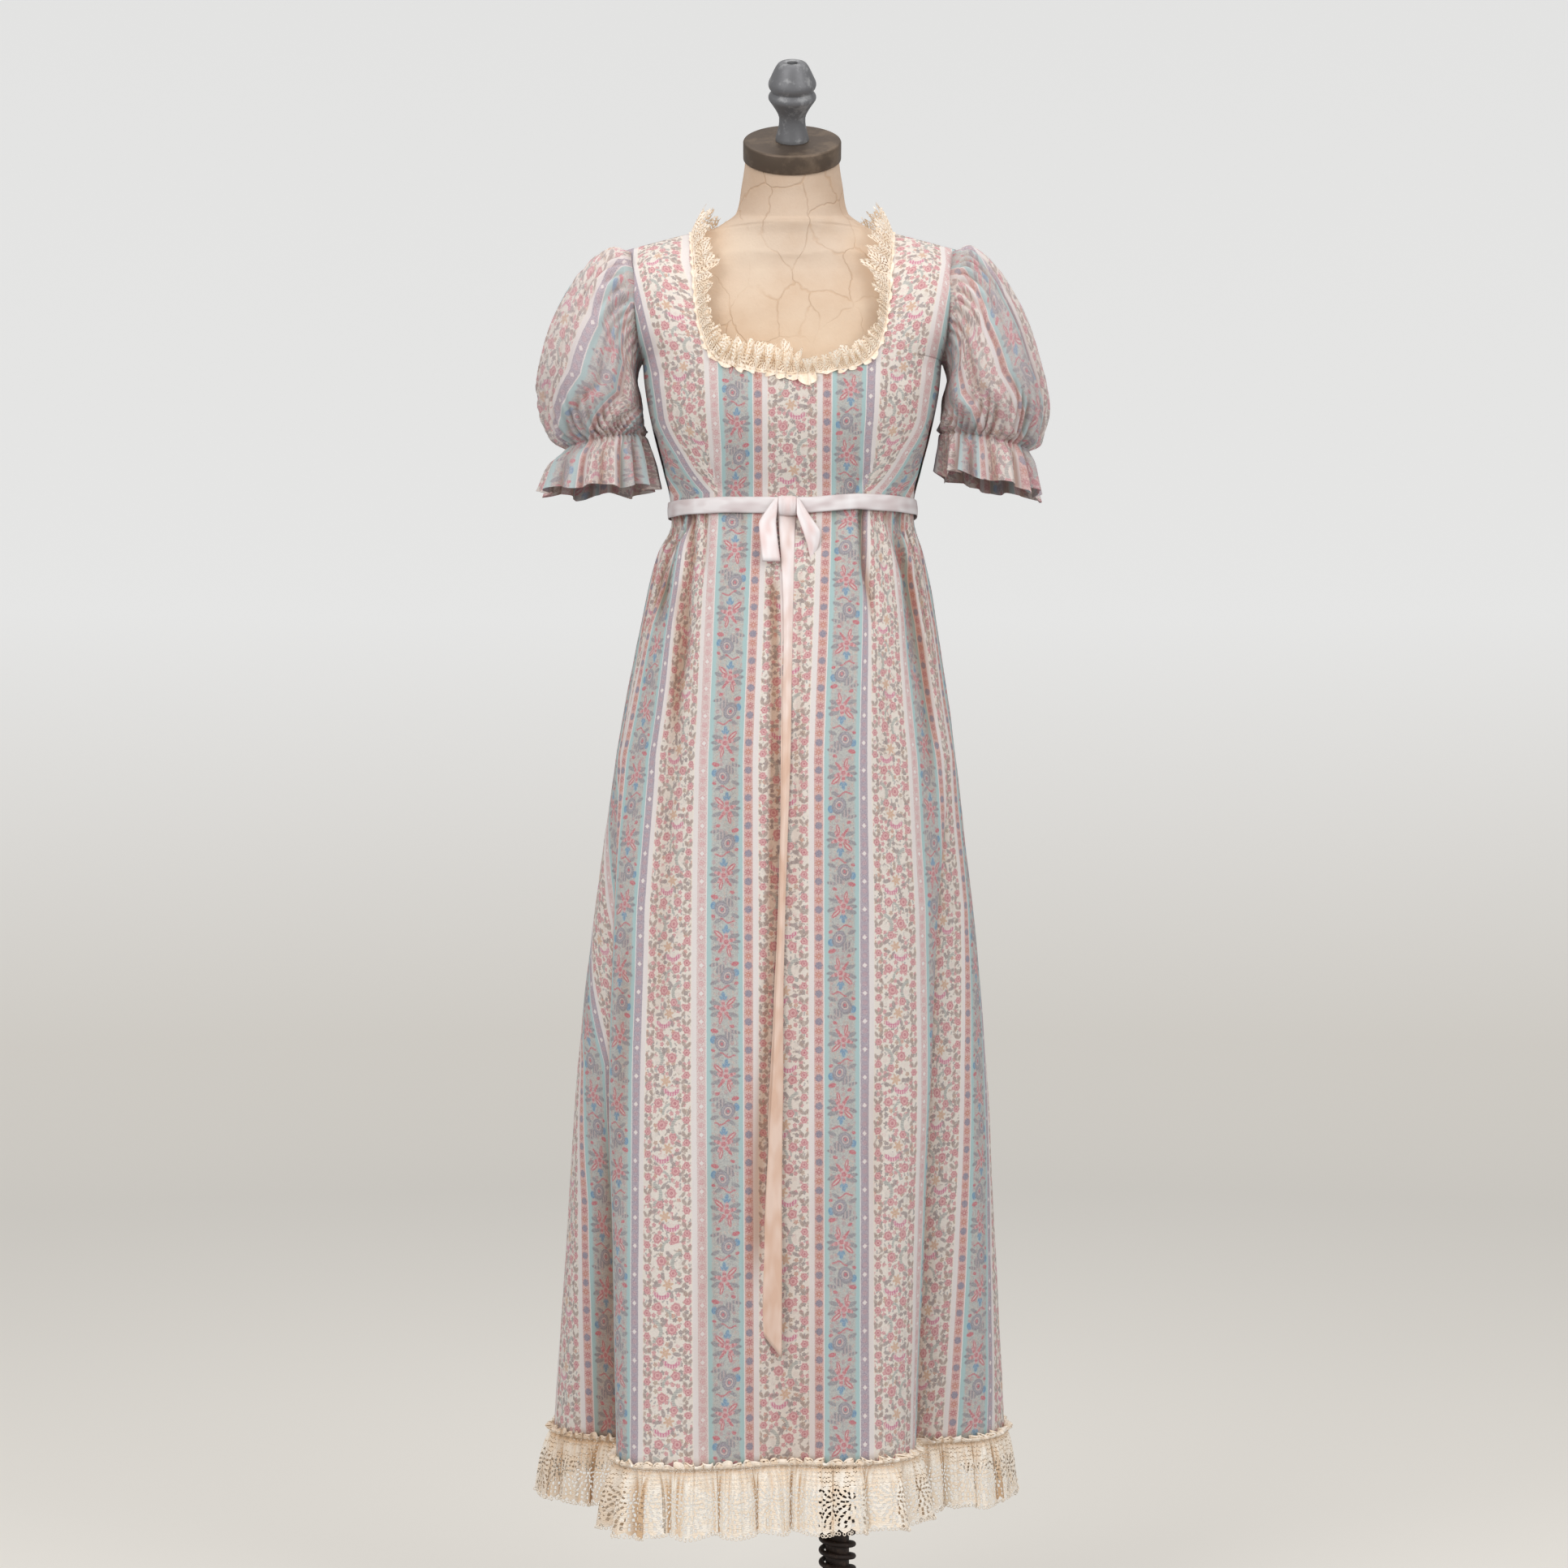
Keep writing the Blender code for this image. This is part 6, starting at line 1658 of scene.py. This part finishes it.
def makeNeckLace(isFront, name, seed):
    columns = neck["frontColumns" if isFront else "backColumns"]
    chain = neckChain(isFront, columns)
    length = np.linalg.norm(np.diff(chain, axis=0), axis=1).sum()
    s = np.linspace(0, length, columns)
    index = np.arange(columns)
    reach = columns // 22
    along = chain[np.minimum(index + reach, columns - 1)] - chain[np.maximum(index - reach, 0)]
    along = unit(along)
    ends = np.clip(fromEnds(columns) / reach, 0, 1)[:, None]
    level = np.stack([np.zeros(columns), np.where(along[:, 1] >= 0, 1.0, -1.0), np.zeros(columns)], axis=-1)
    along = unit(level + (along - level) * ends)
    target = np.array(neck["target"]) + np.array([formX, 0, 0])
    across = target - chain
    across = unit(across - along * (across * along).sum(axis=1, keepdims=True))
    outward = unit(np.cross(along, across))
    face = chain - np.array([formX, 0, 0])
    face[:, 2] = 0.02
    outward *= np.sign((outward * face).sum(axis=1, keepdims=True))
    share = np.concatenate([np.linspace(-1, -0.25, 4), np.linspace(0, 1, neck["rowCount"] - 4)])
    table = np.asarray(neck["rows"])
    lift = np.interp(share, table[:, 0], table[:, 1])[:, None]
    height = np.interp(share, table[:, 0], table[:, 2])[:, None]
    # tight loops at the bottom of the neckline, flatter at its sides
    low = hump(np.abs(s - length / 2), 0.110) if isFront else np.zeros(columns)
    tight = 1.0 + 0.35 * low
    wave = unevenLine(s, neck["gatherPitch"], seed, 0.8) * tight
    swing = unevenLine(s + neck["gatherPitch"] * 0.27, neck["gatherPitch"], seed, 1.0) * tight
    fine = unevenLine(s, 0.0036, seed + 1, 1.0)
    width = np.full(columns, neck["shoulderWidth"])
    if isFront:
        free = evenChain(np.pad(np.asarray(neck["free"], float), ((0, 0), (0, 1))), 240)[:, :2]
        seen = np.stack(seenAt(chain), axis=-1)
        gap = np.linalg.norm(seen[:, None] - free[None], axis=-1).min(axis=1)
        width = np.clip(gap * neck["perPoint"], neck["narrowest"], neck["widest"])
        blend = fade(chain[:, 2], 1.572, 1.590)
        width = width + (neck["shoulderWidth"] - width) * blend
    width = width * (1.0 + 0.16 * unevenLine(s, 0.021, seed + 2) + 0.10 * unevenLine(s, 0.008, seed + 4))
    below = neck["under"] * (0.35 + 0.65 * low) * (0.75 + 0.45 * unevenLine(s, 0.015, seed + 3))
    if isFront:
        px = seenAt(chain)[0]
        below = below + 0.0110 * hump(px - 993.0, 8.0) * hump(chain[:, 2] - 1.427, 0.02)
    wide = np.where(share[:, None] > 0, width[None, :], below[None, :]) * share[:, None]
    calm = np.clip(np.minimum(s, s[::-1]) / 0.006, 0, 1)[None, :]
    offset = lift + height * wave[None, :] * calm * (0.30 + 0.75 * low)
    offset += 0.0005 * fine[None, :] * (1 - np.abs(share[:, None]))
    lean = height * swing[None, :] * calm * (0.25 + 1.05 * low)
    points = chain[None] + across[None] * (wide + 0.0010)[..., None] + outward[None] * offset[..., None]
    points = points + along[None] * lean[..., None]
    v = np.where(share > 0, share * 0.030, share * 0.006) + 0.006
    piece = gridMesh(name, points[::-1], crossed(alongLength(points[-3]), v[::-1]), neckLace)
    # painted shade in the hollows of the gathers and along the line where the ruffle is sewn on
    upward = share[::-1, None]
    paintedShade = np.clip((1 - (wave + 1) * 0.5), 0, 1)[None, :] * (0.05 + 0.07 * np.abs(upward))
    paintedShade += 0.20 * hump(upward, 0.07)
    setShade(piece, np.clip(paintedShade, 0, 1))
    return piece, points[::-1]


frontNeck, frontNeckGrid = makeNeckLace(True, "neck_lace_front_net", 101)
backNeck, backNeckGrid = makeNeckLace(False, "neck_lace_back_net", 111)
dress(frontNeck, "lace", "neck_lace_front")
dress(backNeck, "lace", "neck_lace_back")
print("neck lace made")


# Satin sash, bow and tails

bow = {
    "sashOff": 0.0028,
    "sashHalf": 0.0084,
    "sashZ": 1.2954,
    "sashColumns": 420,
    # how far the sash rises at places across the front
    "sashLift": ((-0.130, -0.0006), (-0.0713, -0.0004), (-0.020, -0.0018), (0.020, -0.0014), (0.0693, 0.0032),
                 (0.130, 0.0026)),
    # left x, right x, height, distance off the sash, for the front layer of each loop
    "left": ((-0.0176, -0.0150, 1.3010, 0.0040), (-0.0270, -0.0160, 1.2880, 0.0070),
             (-0.0352, -0.0172, 1.2750, 0.0105), (-0.0338, -0.0156, 1.2560, 0.0112),
             (-0.0314, -0.0128, 1.2340, 0.0100)),
    "right": ((0.0044, 0.0066, 1.3005, 0.0040), (0.0046, 0.0174, 1.2830, 0.0075),
              (0.0110, 0.0298, 1.2650, 0.0110), (0.0158, 0.0274, 1.2500, 0.0112),
              (0.0190, 0.0212, 1.2355, 0.0095)),
    "tailFront": ((1.2870, -0.0152, 0.0042, 0.0095), (1.2750, -0.0146, 0.0034, 0.0095),
                  (1.2100, -0.0106, 0.0014, 0.0065), (1.0500, -0.0104, -0.0016, 0.0052),
                  (0.8300, -0.0150, -0.0085, 0.0050), (0.6370, -0.0242, -0.0102, 0.0050),
                  (0.4900, -0.0310, -0.0110, 0.0050), (0.4370, -0.0316, -0.0110, 0.0050)),
    "tailBack": ((1.2890, -0.0120, 0.0000, 0.0070), (1.2750, -0.0130, 0.0010, 0.0050),
                 (1.2100, -0.0128, 0.0008, 0.0030), (1.0500, -0.0116, -0.0030, 0.0026),
                 (0.8300, -0.0166, -0.0096, 0.0024), (0.6370, -0.0264, -0.0120, 0.0024),
                 (0.4900, -0.0322, -0.0124, 0.0024), (0.4470, -0.0326, -0.0124, 0.0024)),
    "point": 0.0260,
    "knot": ((-0.0154, 0.0046), (1.2822, 1.3028), 0.0085),
}


def ribbonMesh(name, points, material):
    flat = np.stack([alongLength(points), alongRows(points)], axis=-1)
    piece = gridMesh(name, points, flat, material)
    share = np.linspace(0, 1, points.shape[1])[None, :] * np.ones((len(points), 1))
    setShade(piece, share, "across")
    return thicken(piece, ribbon["thickness"])


def sashMesh():
    angle = np.linspace(0, 360, bow["sashColumns"], endpoint=False)
    rows = []
    shares = np.linspace(0, 1, 9)
    for share in shares:
        off = bow["sashOff"] + 0.0007 * math.sin(math.pi * share)
        wave = 0.0005 * np.sin(np.radians(angle * 5))
        wave += 0.0004 * np.sin(np.radians(angle * 13 + 40 + 60 * share))
        x, y = waistAt(angle, off + wave * (0.4 + share))
        front = fade(-y, -0.02, 0.03)
        lift = np.interp(x, *zip(*bow["sashLift"])) * front + 0.0006 * wave / 0.0009 * (share - 0.5)
        z = bow["sashZ"] + lift + bow["sashHalf"] * (1 - 2 * share)
        rows.append(np.stack([x + formX, y, z], axis=-1))
    points = np.stack(rows)
    points = np.concatenate([points, points[:, :1]], axis=1)
    flat = crossed(alongLength(points[4]), shares * ribbon["width"])
    piece = gridMesh("sash_ribbon", points, flat, sashSatin)
    setShade(piece, np.broadcast_to(shares[:, None], points.shape[:2]), "across")
    return thicken(piece, ribbon["thickness"])


def sashY(x):
    angle = np.degrees(np.arcsin(np.clip(x / (skirt["halfWidth"] + bow["sashOff"]), -1, 1)))
    return waistAt(angle, bow["sashOff"] + 0.0007)[1]


def loopMesh(name, table, seed):
    # the ribbon goes down in front, turns over at the bottom and comes back up behind
    count = 26
    knots = np.arange(len(table))
    places = np.linspace(0, len(table) - 1, count)
    bent = np.stack([np.interp(places, knots, column) for column in zip(*table)], axis=-1)
    front = bent * 0.75 + smoothRows(table, places) * 0.25
    rows = []
    for layer, line in ((0, front), (1, front[::-1])):
        for left, right, z, off in line:
            share = np.linspace(0, 1, 13)
            inset = 0.0012 * layer
            x = left + inset + (right - left - 2 * inset) * share
            back = np.minimum(sashY(x), skirtFrontY(x, np.full(13, z)))
            crown = 0.0022 * np.sin(math.pi * share) * (1 - layer) + 0.0008 * np.sin(share * 9 + seed)
            y = back - 0.0016 - off - crown * (0.4 + 8 * off) + layer * 0.0034
            rows.append(np.stack([x + formX, y, np.full(13, z) + layer * 0.0006], axis=-1))
        if layer == 0:
            low = rows[-1].copy()
            low[:, 1] += 0.0017
            low[:, 2] -= 0.0014
            rows.append(low)
    return ribbonMesh(name, np.stack(rows), bowSatin)


def tailMesh(name, table, crease, seed):
    count = 150
    rows = []
    wander = rumple(np.linspace(0, 0.86, count), np.zeros(count) + 0.3, seed, ((0.21, 1.0), (0.09, 0.5)))
    line = throughKnots([-row[0] for row in table], [row[1:] for row in table],
                        np.linspace(-table[0][0], -table[-1][0], count))
    zs = np.linspace(table[0][0], table[-1][0], count)
    for i in range(count):
        left, right, off = line[i]
        share = np.linspace(0, 1, 11)
        x = left + (right - left) * share + 0.0006 * wander[i]
        z = zs[i] - bow["point"] * share * max(0.0, (i - count + 30) / 30.0)
        back = skirtFrontY(x, z)
        fold = crease * np.abs(share - 0.46) * 2.0
        tilt = 0.0012 * math.sin(i * 0.045 + seed) * (share - 0.5)
        y = back - off + fold + tilt
        rows.append(np.stack([x + formX, np.minimum(y, back - 0.0008), z], axis=-1))
    return ribbonMesh(name, np.stack(rows), tailSatin)


def knotMesh():
    (lowX, highX), (lowZ, highZ), depth = bow["knot"]
    rows = []
    for t in np.linspace(0, math.pi, 17):
        share = np.linspace(0, 1, 15)
        x = lowX + (highX - lowX) * share
        # folds of the pulled ribbon run up and down the knot
        crease = 0.0007 * np.cos(share * 17 + 0.6) + 0.0004 * np.cos(share * 31 + 2.0)
        rounded = np.sin(math.pi * share) ** 0.35
        z = (lowZ + highZ) / 2 + (highZ - lowZ) / 2 * math.cos(t) * (0.90 + 0.10 * rounded)
        reach = depth * math.sin(t) ** 0.6 * (0.55 + 0.45 * rounded)
        y = sashY(x) - 0.0006 - reach - crease * math.sin(t)
        rows.append(np.stack([x + formX, y, z], axis=-1))
    return ribbonMesh("bow_knot_ribbon", np.stack(rows), bowSatin)


dress(sashMesh(), "ribbon", "sash")
dress(knotMesh(), "ribbon", "bow_knot")
dress(loopMesh("bow_loop_left_ribbon", bow["left"], 1), "ribbon", "bow_loop_left")
dress(loopMesh("bow_loop_right_ribbon", bow["right"], 2), "ribbon", "bow_loop_right")
dress(tailMesh("ribbon_tail_front_satin", bow["tailFront"], 0.0018, 3), "ribbon", "ribbon_tail_front")
dress(tailMesh("ribbon_tail_back_satin", bow["tailBack"], 0.0010, 5), "ribbon", "ribbon_tail_back")
print("ribbon made")


# The dress form

torso = {
    "sections": ((0.9300, 0.148, 0.098, 0.106, 0.000, 0.0, 1.0),
                 (0.9450, 0.158, 0.106, 0.115, 0.000, 0.0, 1.0),
                 (1.0000, 0.160, 0.108, 0.120, 0.000, 0.0, 1.0),
                 (1.0800, 0.150, 0.103, 0.110, 0.000, 0.0, 1.0),
                 (1.1800, 0.119, 0.087, 0.085, 0.000, 0.0, 1.0),
                 (1.2350, 0.115, 0.084, 0.078, 0.000, 0.0, 1.0),
                 (1.2960, 0.1245, 0.090, 0.080, 0.000, 0.0, 1.0),
                 (1.3450, 0.1345, 0.102, 0.084, 0.000, 0.0, 1.0),
                 (1.4000, 0.1475, 0.113, 0.091, 0.000, 0.0, 1.0),
                 (1.4550, 0.1530, 0.101, 0.094, 0.000, 0.0, 1.0),
                 (1.5050, 0.1570, 0.084, 0.087, 0.000, 0.0, 1.1),
                 (1.5450, 0.1620, 0.068, 0.077, 0.000, 0.0, 1.5),
                 (1.5680, 0.1640, 0.0655, 0.0745, 0.000, 0.0, 2.55),
                 (1.5811, 0.1590, 0.064, 0.069, 0.000, 0.0, 3.93),
                 (1.5965, 0.1060, 0.0632, 0.058, 0.000, 0.0, 2.6),
                 (1.6030, 0.0820, 0.0628, 0.057, 0.000, 3.0, 1.5),
                 (1.6180, 0.0610, 0.0625, 0.056, 0.000, 12.0, 1.0),
                 (1.6470, 0.0545, 0.054, 0.053, -0.010, 22.0, 1.0),
                 (1.6733, 0.0505, 0.0505, 0.0505, -0.0193, 30.0, 1.0)),
    "columns": 108,
    "neckRidgeZ": 1.5630,
}


def makeTorso():
    table = np.asarray(torso["sections"])
    columns = torso["columns"]
    place = np.linspace(0, len(table) - 1, 180)
    rows = smoothRows(table, place)
    rows[:, 0] = np.interp(place, np.arange(len(table)), table[:, 0])
    angle = np.radians(np.linspace(0, 360, columns, endpoint=False))
    sine = np.sin(angle)[None, :]
    cosine = np.cos(angle)[None, :]
    reach = np.abs(cosine) ** rows[:, 6:7]
    shrink = (0.0018 + 0.0012 * fade(rows[:, 0], 1.50, 1.56)) * (1 - fade(rows[:, 0], 1.585, 1.600))
    x = (rows[:, 1] - shrink)[:, None] * sine
    y = np.where(cosine > 0, -(rows[:, 2] - shrink)[:, None], (rows[:, 3] - shrink)[:, None]) * reach
    # a faint ridge where the neck begins, and shallow dents of the old padding
    arc = rows[:, 0:1] - torso["neckRidgeZ"] - 4.0 * x**2
    ridge = 0.0008 * hump(arc, 0.0018) * (1 - fade(np.abs(x), 0.030, 0.055)) * (cosine > 0)
    x = x * (1 + ridge / 0.06)
    y = y * (1 + ridge / 0.06)
    tilt = np.radians(rows[:, 5:6])
    z = rows[:, 0:1] + y * np.sin(tilt)
    y = rows[:, 4:5] + y * np.cos(tilt)
    z = np.broadcast_to(z, x.shape)
    # columns run to the right seen from outside
    points = np.stack([x + formX, y, z], axis=-1)[::-1]
    mesh = bpy.data.meshes.new("form_canvas")
    count = len(points)
    flatPoints = points.reshape(-1, 3)
    faces = gridFaces(count, columns, closed=True).tolist()
    faces.append(list(range(columns)))
    faces.append(list(range((count - 1) * columns, count * columns))[::-1])
    mesh.from_pydata(flatPoints.tolist(), [], faces)
    piece = placed("form_canvas", mesh, canvas)
    # painted shade: the canvas is darker and warmer near the lace
    edge = np.concatenate([frontNeckGrid[0, ::20], frontNeckGrid[-1, ::20], backNeckGrid[0, ::20]])
    near = np.ones(len(flatPoints))
    for start in range(0, len(flatPoints), 4000):
        part = flatPoints[start:start + 4000]
        near[start:start + 4000] = np.min(np.linalg.norm(part[:, None] - edge[None], axis=-1), axis=1)
    setShade(piece, np.clip(1 - near / 0.030, 0, 1) * 0.75)
    return piece


dress(makeTorso(), "form", "form_torso")


# Turned and wound metal

turnedParts = {
    "cap": ((0.0000, 0.0000), (0.0000, 0.0300), (0.0000, 0.0492), (-0.0003, 0.0508), (-0.0010, 0.0521),
            (-0.0024, 0.0528), (-0.0190, 0.0528), (-0.0206, 0.0526), (-0.0212, 0.0518), (-0.0212, 0.0300),
            (-0.0212, 0.0000)),
    "capPlace": (-0.0300, 1.6920, 30.0),
    "finial": ((0.0726, 0.0000), (0.0728, 0.0056), (0.0846, 0.0060), (0.0852, 0.0080), (0.0853, 0.0110),
               (0.0846, 0.0136), (0.0832, 0.0155), (0.0795, 0.0180), (0.0740, 0.0207), (0.0690, 0.0230),
               (0.0655, 0.0247), (0.0630, 0.0254), (0.0615, 0.0256), (0.0598, 0.0254), (0.0575, 0.0246),
               (0.0555, 0.0232), (0.0537, 0.0224), (0.0524, 0.0230), (0.0507, 0.0246), (0.0490, 0.0254),
               (0.0470, 0.0256), (0.0452, 0.0252), (0.0430, 0.0238), (0.0390, 0.0210), (0.0340, 0.0178),
               (0.0290, 0.0152), (0.0250, 0.0141), (0.0205, 0.0141), (0.0165, 0.0145), (0.0130, 0.0152),
               (0.0080, 0.0164), (0.0040, 0.0176), (0.0024, 0.0180), (0.0003, 0.0180), (0.0003, 0.0000)),
    "base": ((0.0600, 0.0000), (0.0600, 0.0294), (0.0594, 0.0302), (0.0560, 0.0336), (0.0500, 0.0356),
             (0.0430, 0.0378), (0.0400, 0.0404), (0.0375, 0.0470), (0.0340, 0.0700), (0.0300, 0.0960),
             (0.0275, 0.1080), (0.0240, 0.1320), (0.0205, 0.1560), (0.0180, 0.1700), (0.0150, 0.1810),
             (0.0122, 0.1878), (0.0095, 0.1908), (0.0060, 0.1920), (0.0025, 0.1914), (0.0000, 0.1896),
             (0.0000, 0.0000)),
    "column": ((0.9297, 0.0000), (0.9297, 0.0442), (0.9292, 0.0450), (0.9204, 0.0450), (0.9197, 0.0442),
               (0.9197, 0.0128), (0.2600, 0.0128), (0.2600, 0.0205), (0.2594, 0.0213), (0.2584, 0.0215),
               (0.2534, 0.0215), (0.2526, 0.0212), (0.2520, 0.0204), (0.2520, 0.0128), (0.1340, 0.0128),
               (0.1340, 0.0205), (0.1334, 0.0213), (0.1324, 0.0215), (0.1276, 0.0215), (0.1266, 0.0212),
               (0.1260, 0.0204), (0.1260, 0.0128), (0.0603, 0.0128), (0.0603, 0.0000)),
    "spring": {"radius": 0.0174, "wire": 0.0030, "pitch": 0.0130, "low": 0.1373, "high": 0.2487},
}


def turned(name, profile, steps, material, place=None):
    profile = np.asarray(profile, float)
    angle = np.linspace(0, 2 * math.pi, steps, endpoint=False)
    build = bmesh.new()
    rings = []
    for z, r in profile:
        if r == 0.0:
            rings.append([build.verts.new((0, 0, z))])
        else:
            rings.append([build.verts.new((r * math.sin(a), -r * math.cos(a), z)) for a in angle])
    for upper, lower in zip(rings, rings[1:]):
        for j in range(steps):
            k = (j + 1) % steps
            corners = [ring[at % len(ring)] for ring, at in ((upper, j), (lower, j), (lower, k), (upper, k))]
            unique = list(dict.fromkeys(corners))
            if len(unique) > 2:
                build.faces.new(unique)
    bmesh.ops.recalc_face_normals(build, faces=build.faces)
    mesh = bpy.data.meshes.new(name)
    if place:
        y, z, tilt = place
        move = Matrix.Translation((formX, y, z)) @ Matrix.Rotation(math.radians(tilt), 4, "X")
        bmesh.ops.transform(build, matrix=move, verts=build.verts)
    build.to_mesh(mesh)
    build.free()
    piece = placed(name, mesh, material)
    mesh.set_sharp_from_angle(angle=math.radians(40))
    return piece


def springCoil():
    size = turnedParts["spring"]
    height = size["high"] - size["low"]
    growth = Growth("coil", Turns="Float", Height="Float", Radius="Float", Wire="Float")
    given = growth.given
    spiral = growth.node("GeometryNodeCurveSpiral", "Curve", Resolution=36, Rotations=given["Turns"],
                         Start_Radius=given["Radius"], End_Radius=given["Radius"], Height=given["Height"])
    wire = growth.circle(given["Wire"], 12)
    coil = growth.node("GeometryNodeCurveToMesh", "Mesh", Curve=spiral, Profile_Curve=wire, Fill_Caps=True)
    piece = growth.grow("column_spring_wire", bpy.data.meshes.new("coil_base"), coil,
                        Height=height, Turns=height / size["pitch"], Radius=size["radius"],
                        Wire=size["wire"], Material=paint)
    piece.data.transform(Matrix.Translation((0.0, 0.0, size["low"])))
    return piece


dress(turned("neck_cap_turned", turnedParts["cap"], 128, bronze, turnedParts["capPlace"]), "cap", "neck_cap")
dress(turned("finial_turned", turnedParts["finial"], 72, iron, turnedParts["capPlace"]), "finial", "finial")
dress(turned("column_turned", turnedParts["column"], 48, paint), "column", "column")
dress(turned("base_turned", turnedParts["base"], 128, paint), "column", "base")
dress(springCoil(), "column", "column_spring")
print("stand made")


# Cut sizes of the cloth: width, length and how it is held

def evaluatedArea(piece):
    graph = bpy.context.evaluated_depsgraph_get()
    mesh = bpy.data.meshes.new_from_object(piece.evaluated_get(graph))
    area = sum(face.area for face in mesh.polygons)
    bpy.data.meshes.remove(mesh)
    return area


sheets = {
    "skirt_front_cloth": (0.88, 1.00, "gathered"),
    "skirt_back_cloth": (0.78, 1.00, "gathered"),
    "bodice_front_cloth": (0.46, 0.33, "stretched", 0.095),
    "bodice_back_left_cloth": (0.19, 0.31, "stretched"),
    "bodice_back_right_cloth": (0.19, 0.31, "stretched"),
    "sleeve_left_cloth": (0.44, 0.28, "gathered"),
    "sleeve_right_cloth": (0.44, 0.28, "gathered"),
    "hem_lace_front_net": (1.60, 0.081, "gathered"),
    "hem_lace_back_net": (1.45, 0.081, "gathered"),
    "neck_lace_front_net": (0.90, 0.036, "gathered"),
    "neck_lace_back_net": (0.42, 0.036, "gathered"),
    "sash_ribbon": (0.75, 0.0176, "stretched"),
    "bow_knot_ribbon": (0.040, 0.0200, "folded"),
    "bow_loop_left_ribbon": (0.150, 0.0176, "folded"),
    "bow_loop_right_ribbon": (0.120, 0.0176, "folded"),
    "ribbon_tail_front_satin": (0.86, 0.0176, "hung"),
    "ribbon_tail_back_satin": (0.86, 0.0176, "hung"),
}
for name, (wide, long, held, *area) in sheets.items():
    piece = bpy.data.objects[name]
    shown = evaluatedArea(piece) * (0.5 if any(m.type == "SOLIDIFY" for m in piece.modifiers) else 1.0)


# Floor, wall, light and camera

studio = {
    "floorRadius": 4.4,
    "curve": 1.8,
    "wallTop": 5.2,
    "columns": 96,
    "colour": ink(238, 238, 237),
    "low": ink(214, 210, 203),
    "glow": 0.31,
    "lights": 0.93,
    "ambient": 0.44,
    # name, place, aim, width and power
    "lamps": (("front left", (-2.6, -3.6, 3.0), (0, 0, 1.0), 2.6, 95.0),
              ("front right", (2.8, -3.4, 2.6), (0, 0, 1.0), 2.6, 80.0),
              ("above", (0.0, -0.4, 3.6), (0, 0.2, 0.8), 3.0, 36.0)),
}


def makeStage():
    # a round pale floor that curves up into a wall on every side
    turns = np.linspace(0, math.pi / 2, 15)
    profile = [(r, 0.0) for r in np.linspace(0.02, studio["floorRadius"], 12)[:-1]]
    profile += [(studio["floorRadius"] + studio["curve"] * math.sin(t), studio["curve"] * (1 - math.cos(t)))
                for t in turns]
    profile.append((studio["floorRadius"] + studio["curve"], studio["wallTop"]))
    angles = np.linspace(0, 2 * math.pi, studio["columns"] + 1)
    points = np.array([[(r * math.cos(t), r * math.sin(t), z) for t in angles] for r, z in profile])
    net = Net("pale wall")
    height = net.split(net.here())[2]
    # painted shade: the wall is darker towards the floor
    tone = net.mixed(net.below(height, 0.9, 1.2), studio["colour"], studio["low"])
    net.set(Base_Color=tone, Emission_Color=tone, Emission_Strength=studio["glow"], Roughness=0.9)
    piece = gridMesh("pale_sweep", points, points[..., :2], net.material)
    # only seen, so that it neither lights nor shades the part
    piece.visible_diffuse = False
    piece.visible_glossy = False
    piece.visible_shadow = False


def softLight(name, place, aim, width, power):
    light = bpy.data.lights.new(name, "AREA")
    light.shape = "RECTANGLE"
    light.size = width
    light.size_y = width
    light.energy = power * studio["lights"]
    lamp = bpy.data.objects.new(name, light)
    lamp.location = place
    lamp.rotation_euler = (Vector(aim) - Vector(place)).to_track_quat("-Z", "Y").to_euler()
    lamp.visible_camera = False
    bpy.context.collection.objects.link(lamp)


makeStage()
for lamp in studio["lamps"]:
    softLight(*lamp)
world = bpy.data.worlds.new("studio")
world.use_nodes = True
world.node_tree.nodes["Background"].inputs["Color"].default_value = (1.0, 1.0, 1.0, 1.0)
world.node_tree.nodes["Background"].inputs["Strength"].default_value = studio["ambient"]
bpy.context.scene.world = world
bpy.context.scene.view_settings.view_transform = "Standard"

camera = bpy.data.cameras.new("front view")
camera.lens = 72.0
camera.sensor_width = 36.0
seer = bpy.data.objects.new("front view", camera)
seer.location = eye
seer.rotation_euler = (math.radians(90), 0.0, 0.0)
bpy.context.collection.objects.link(seer)
bpy.context.scene.camera = seer
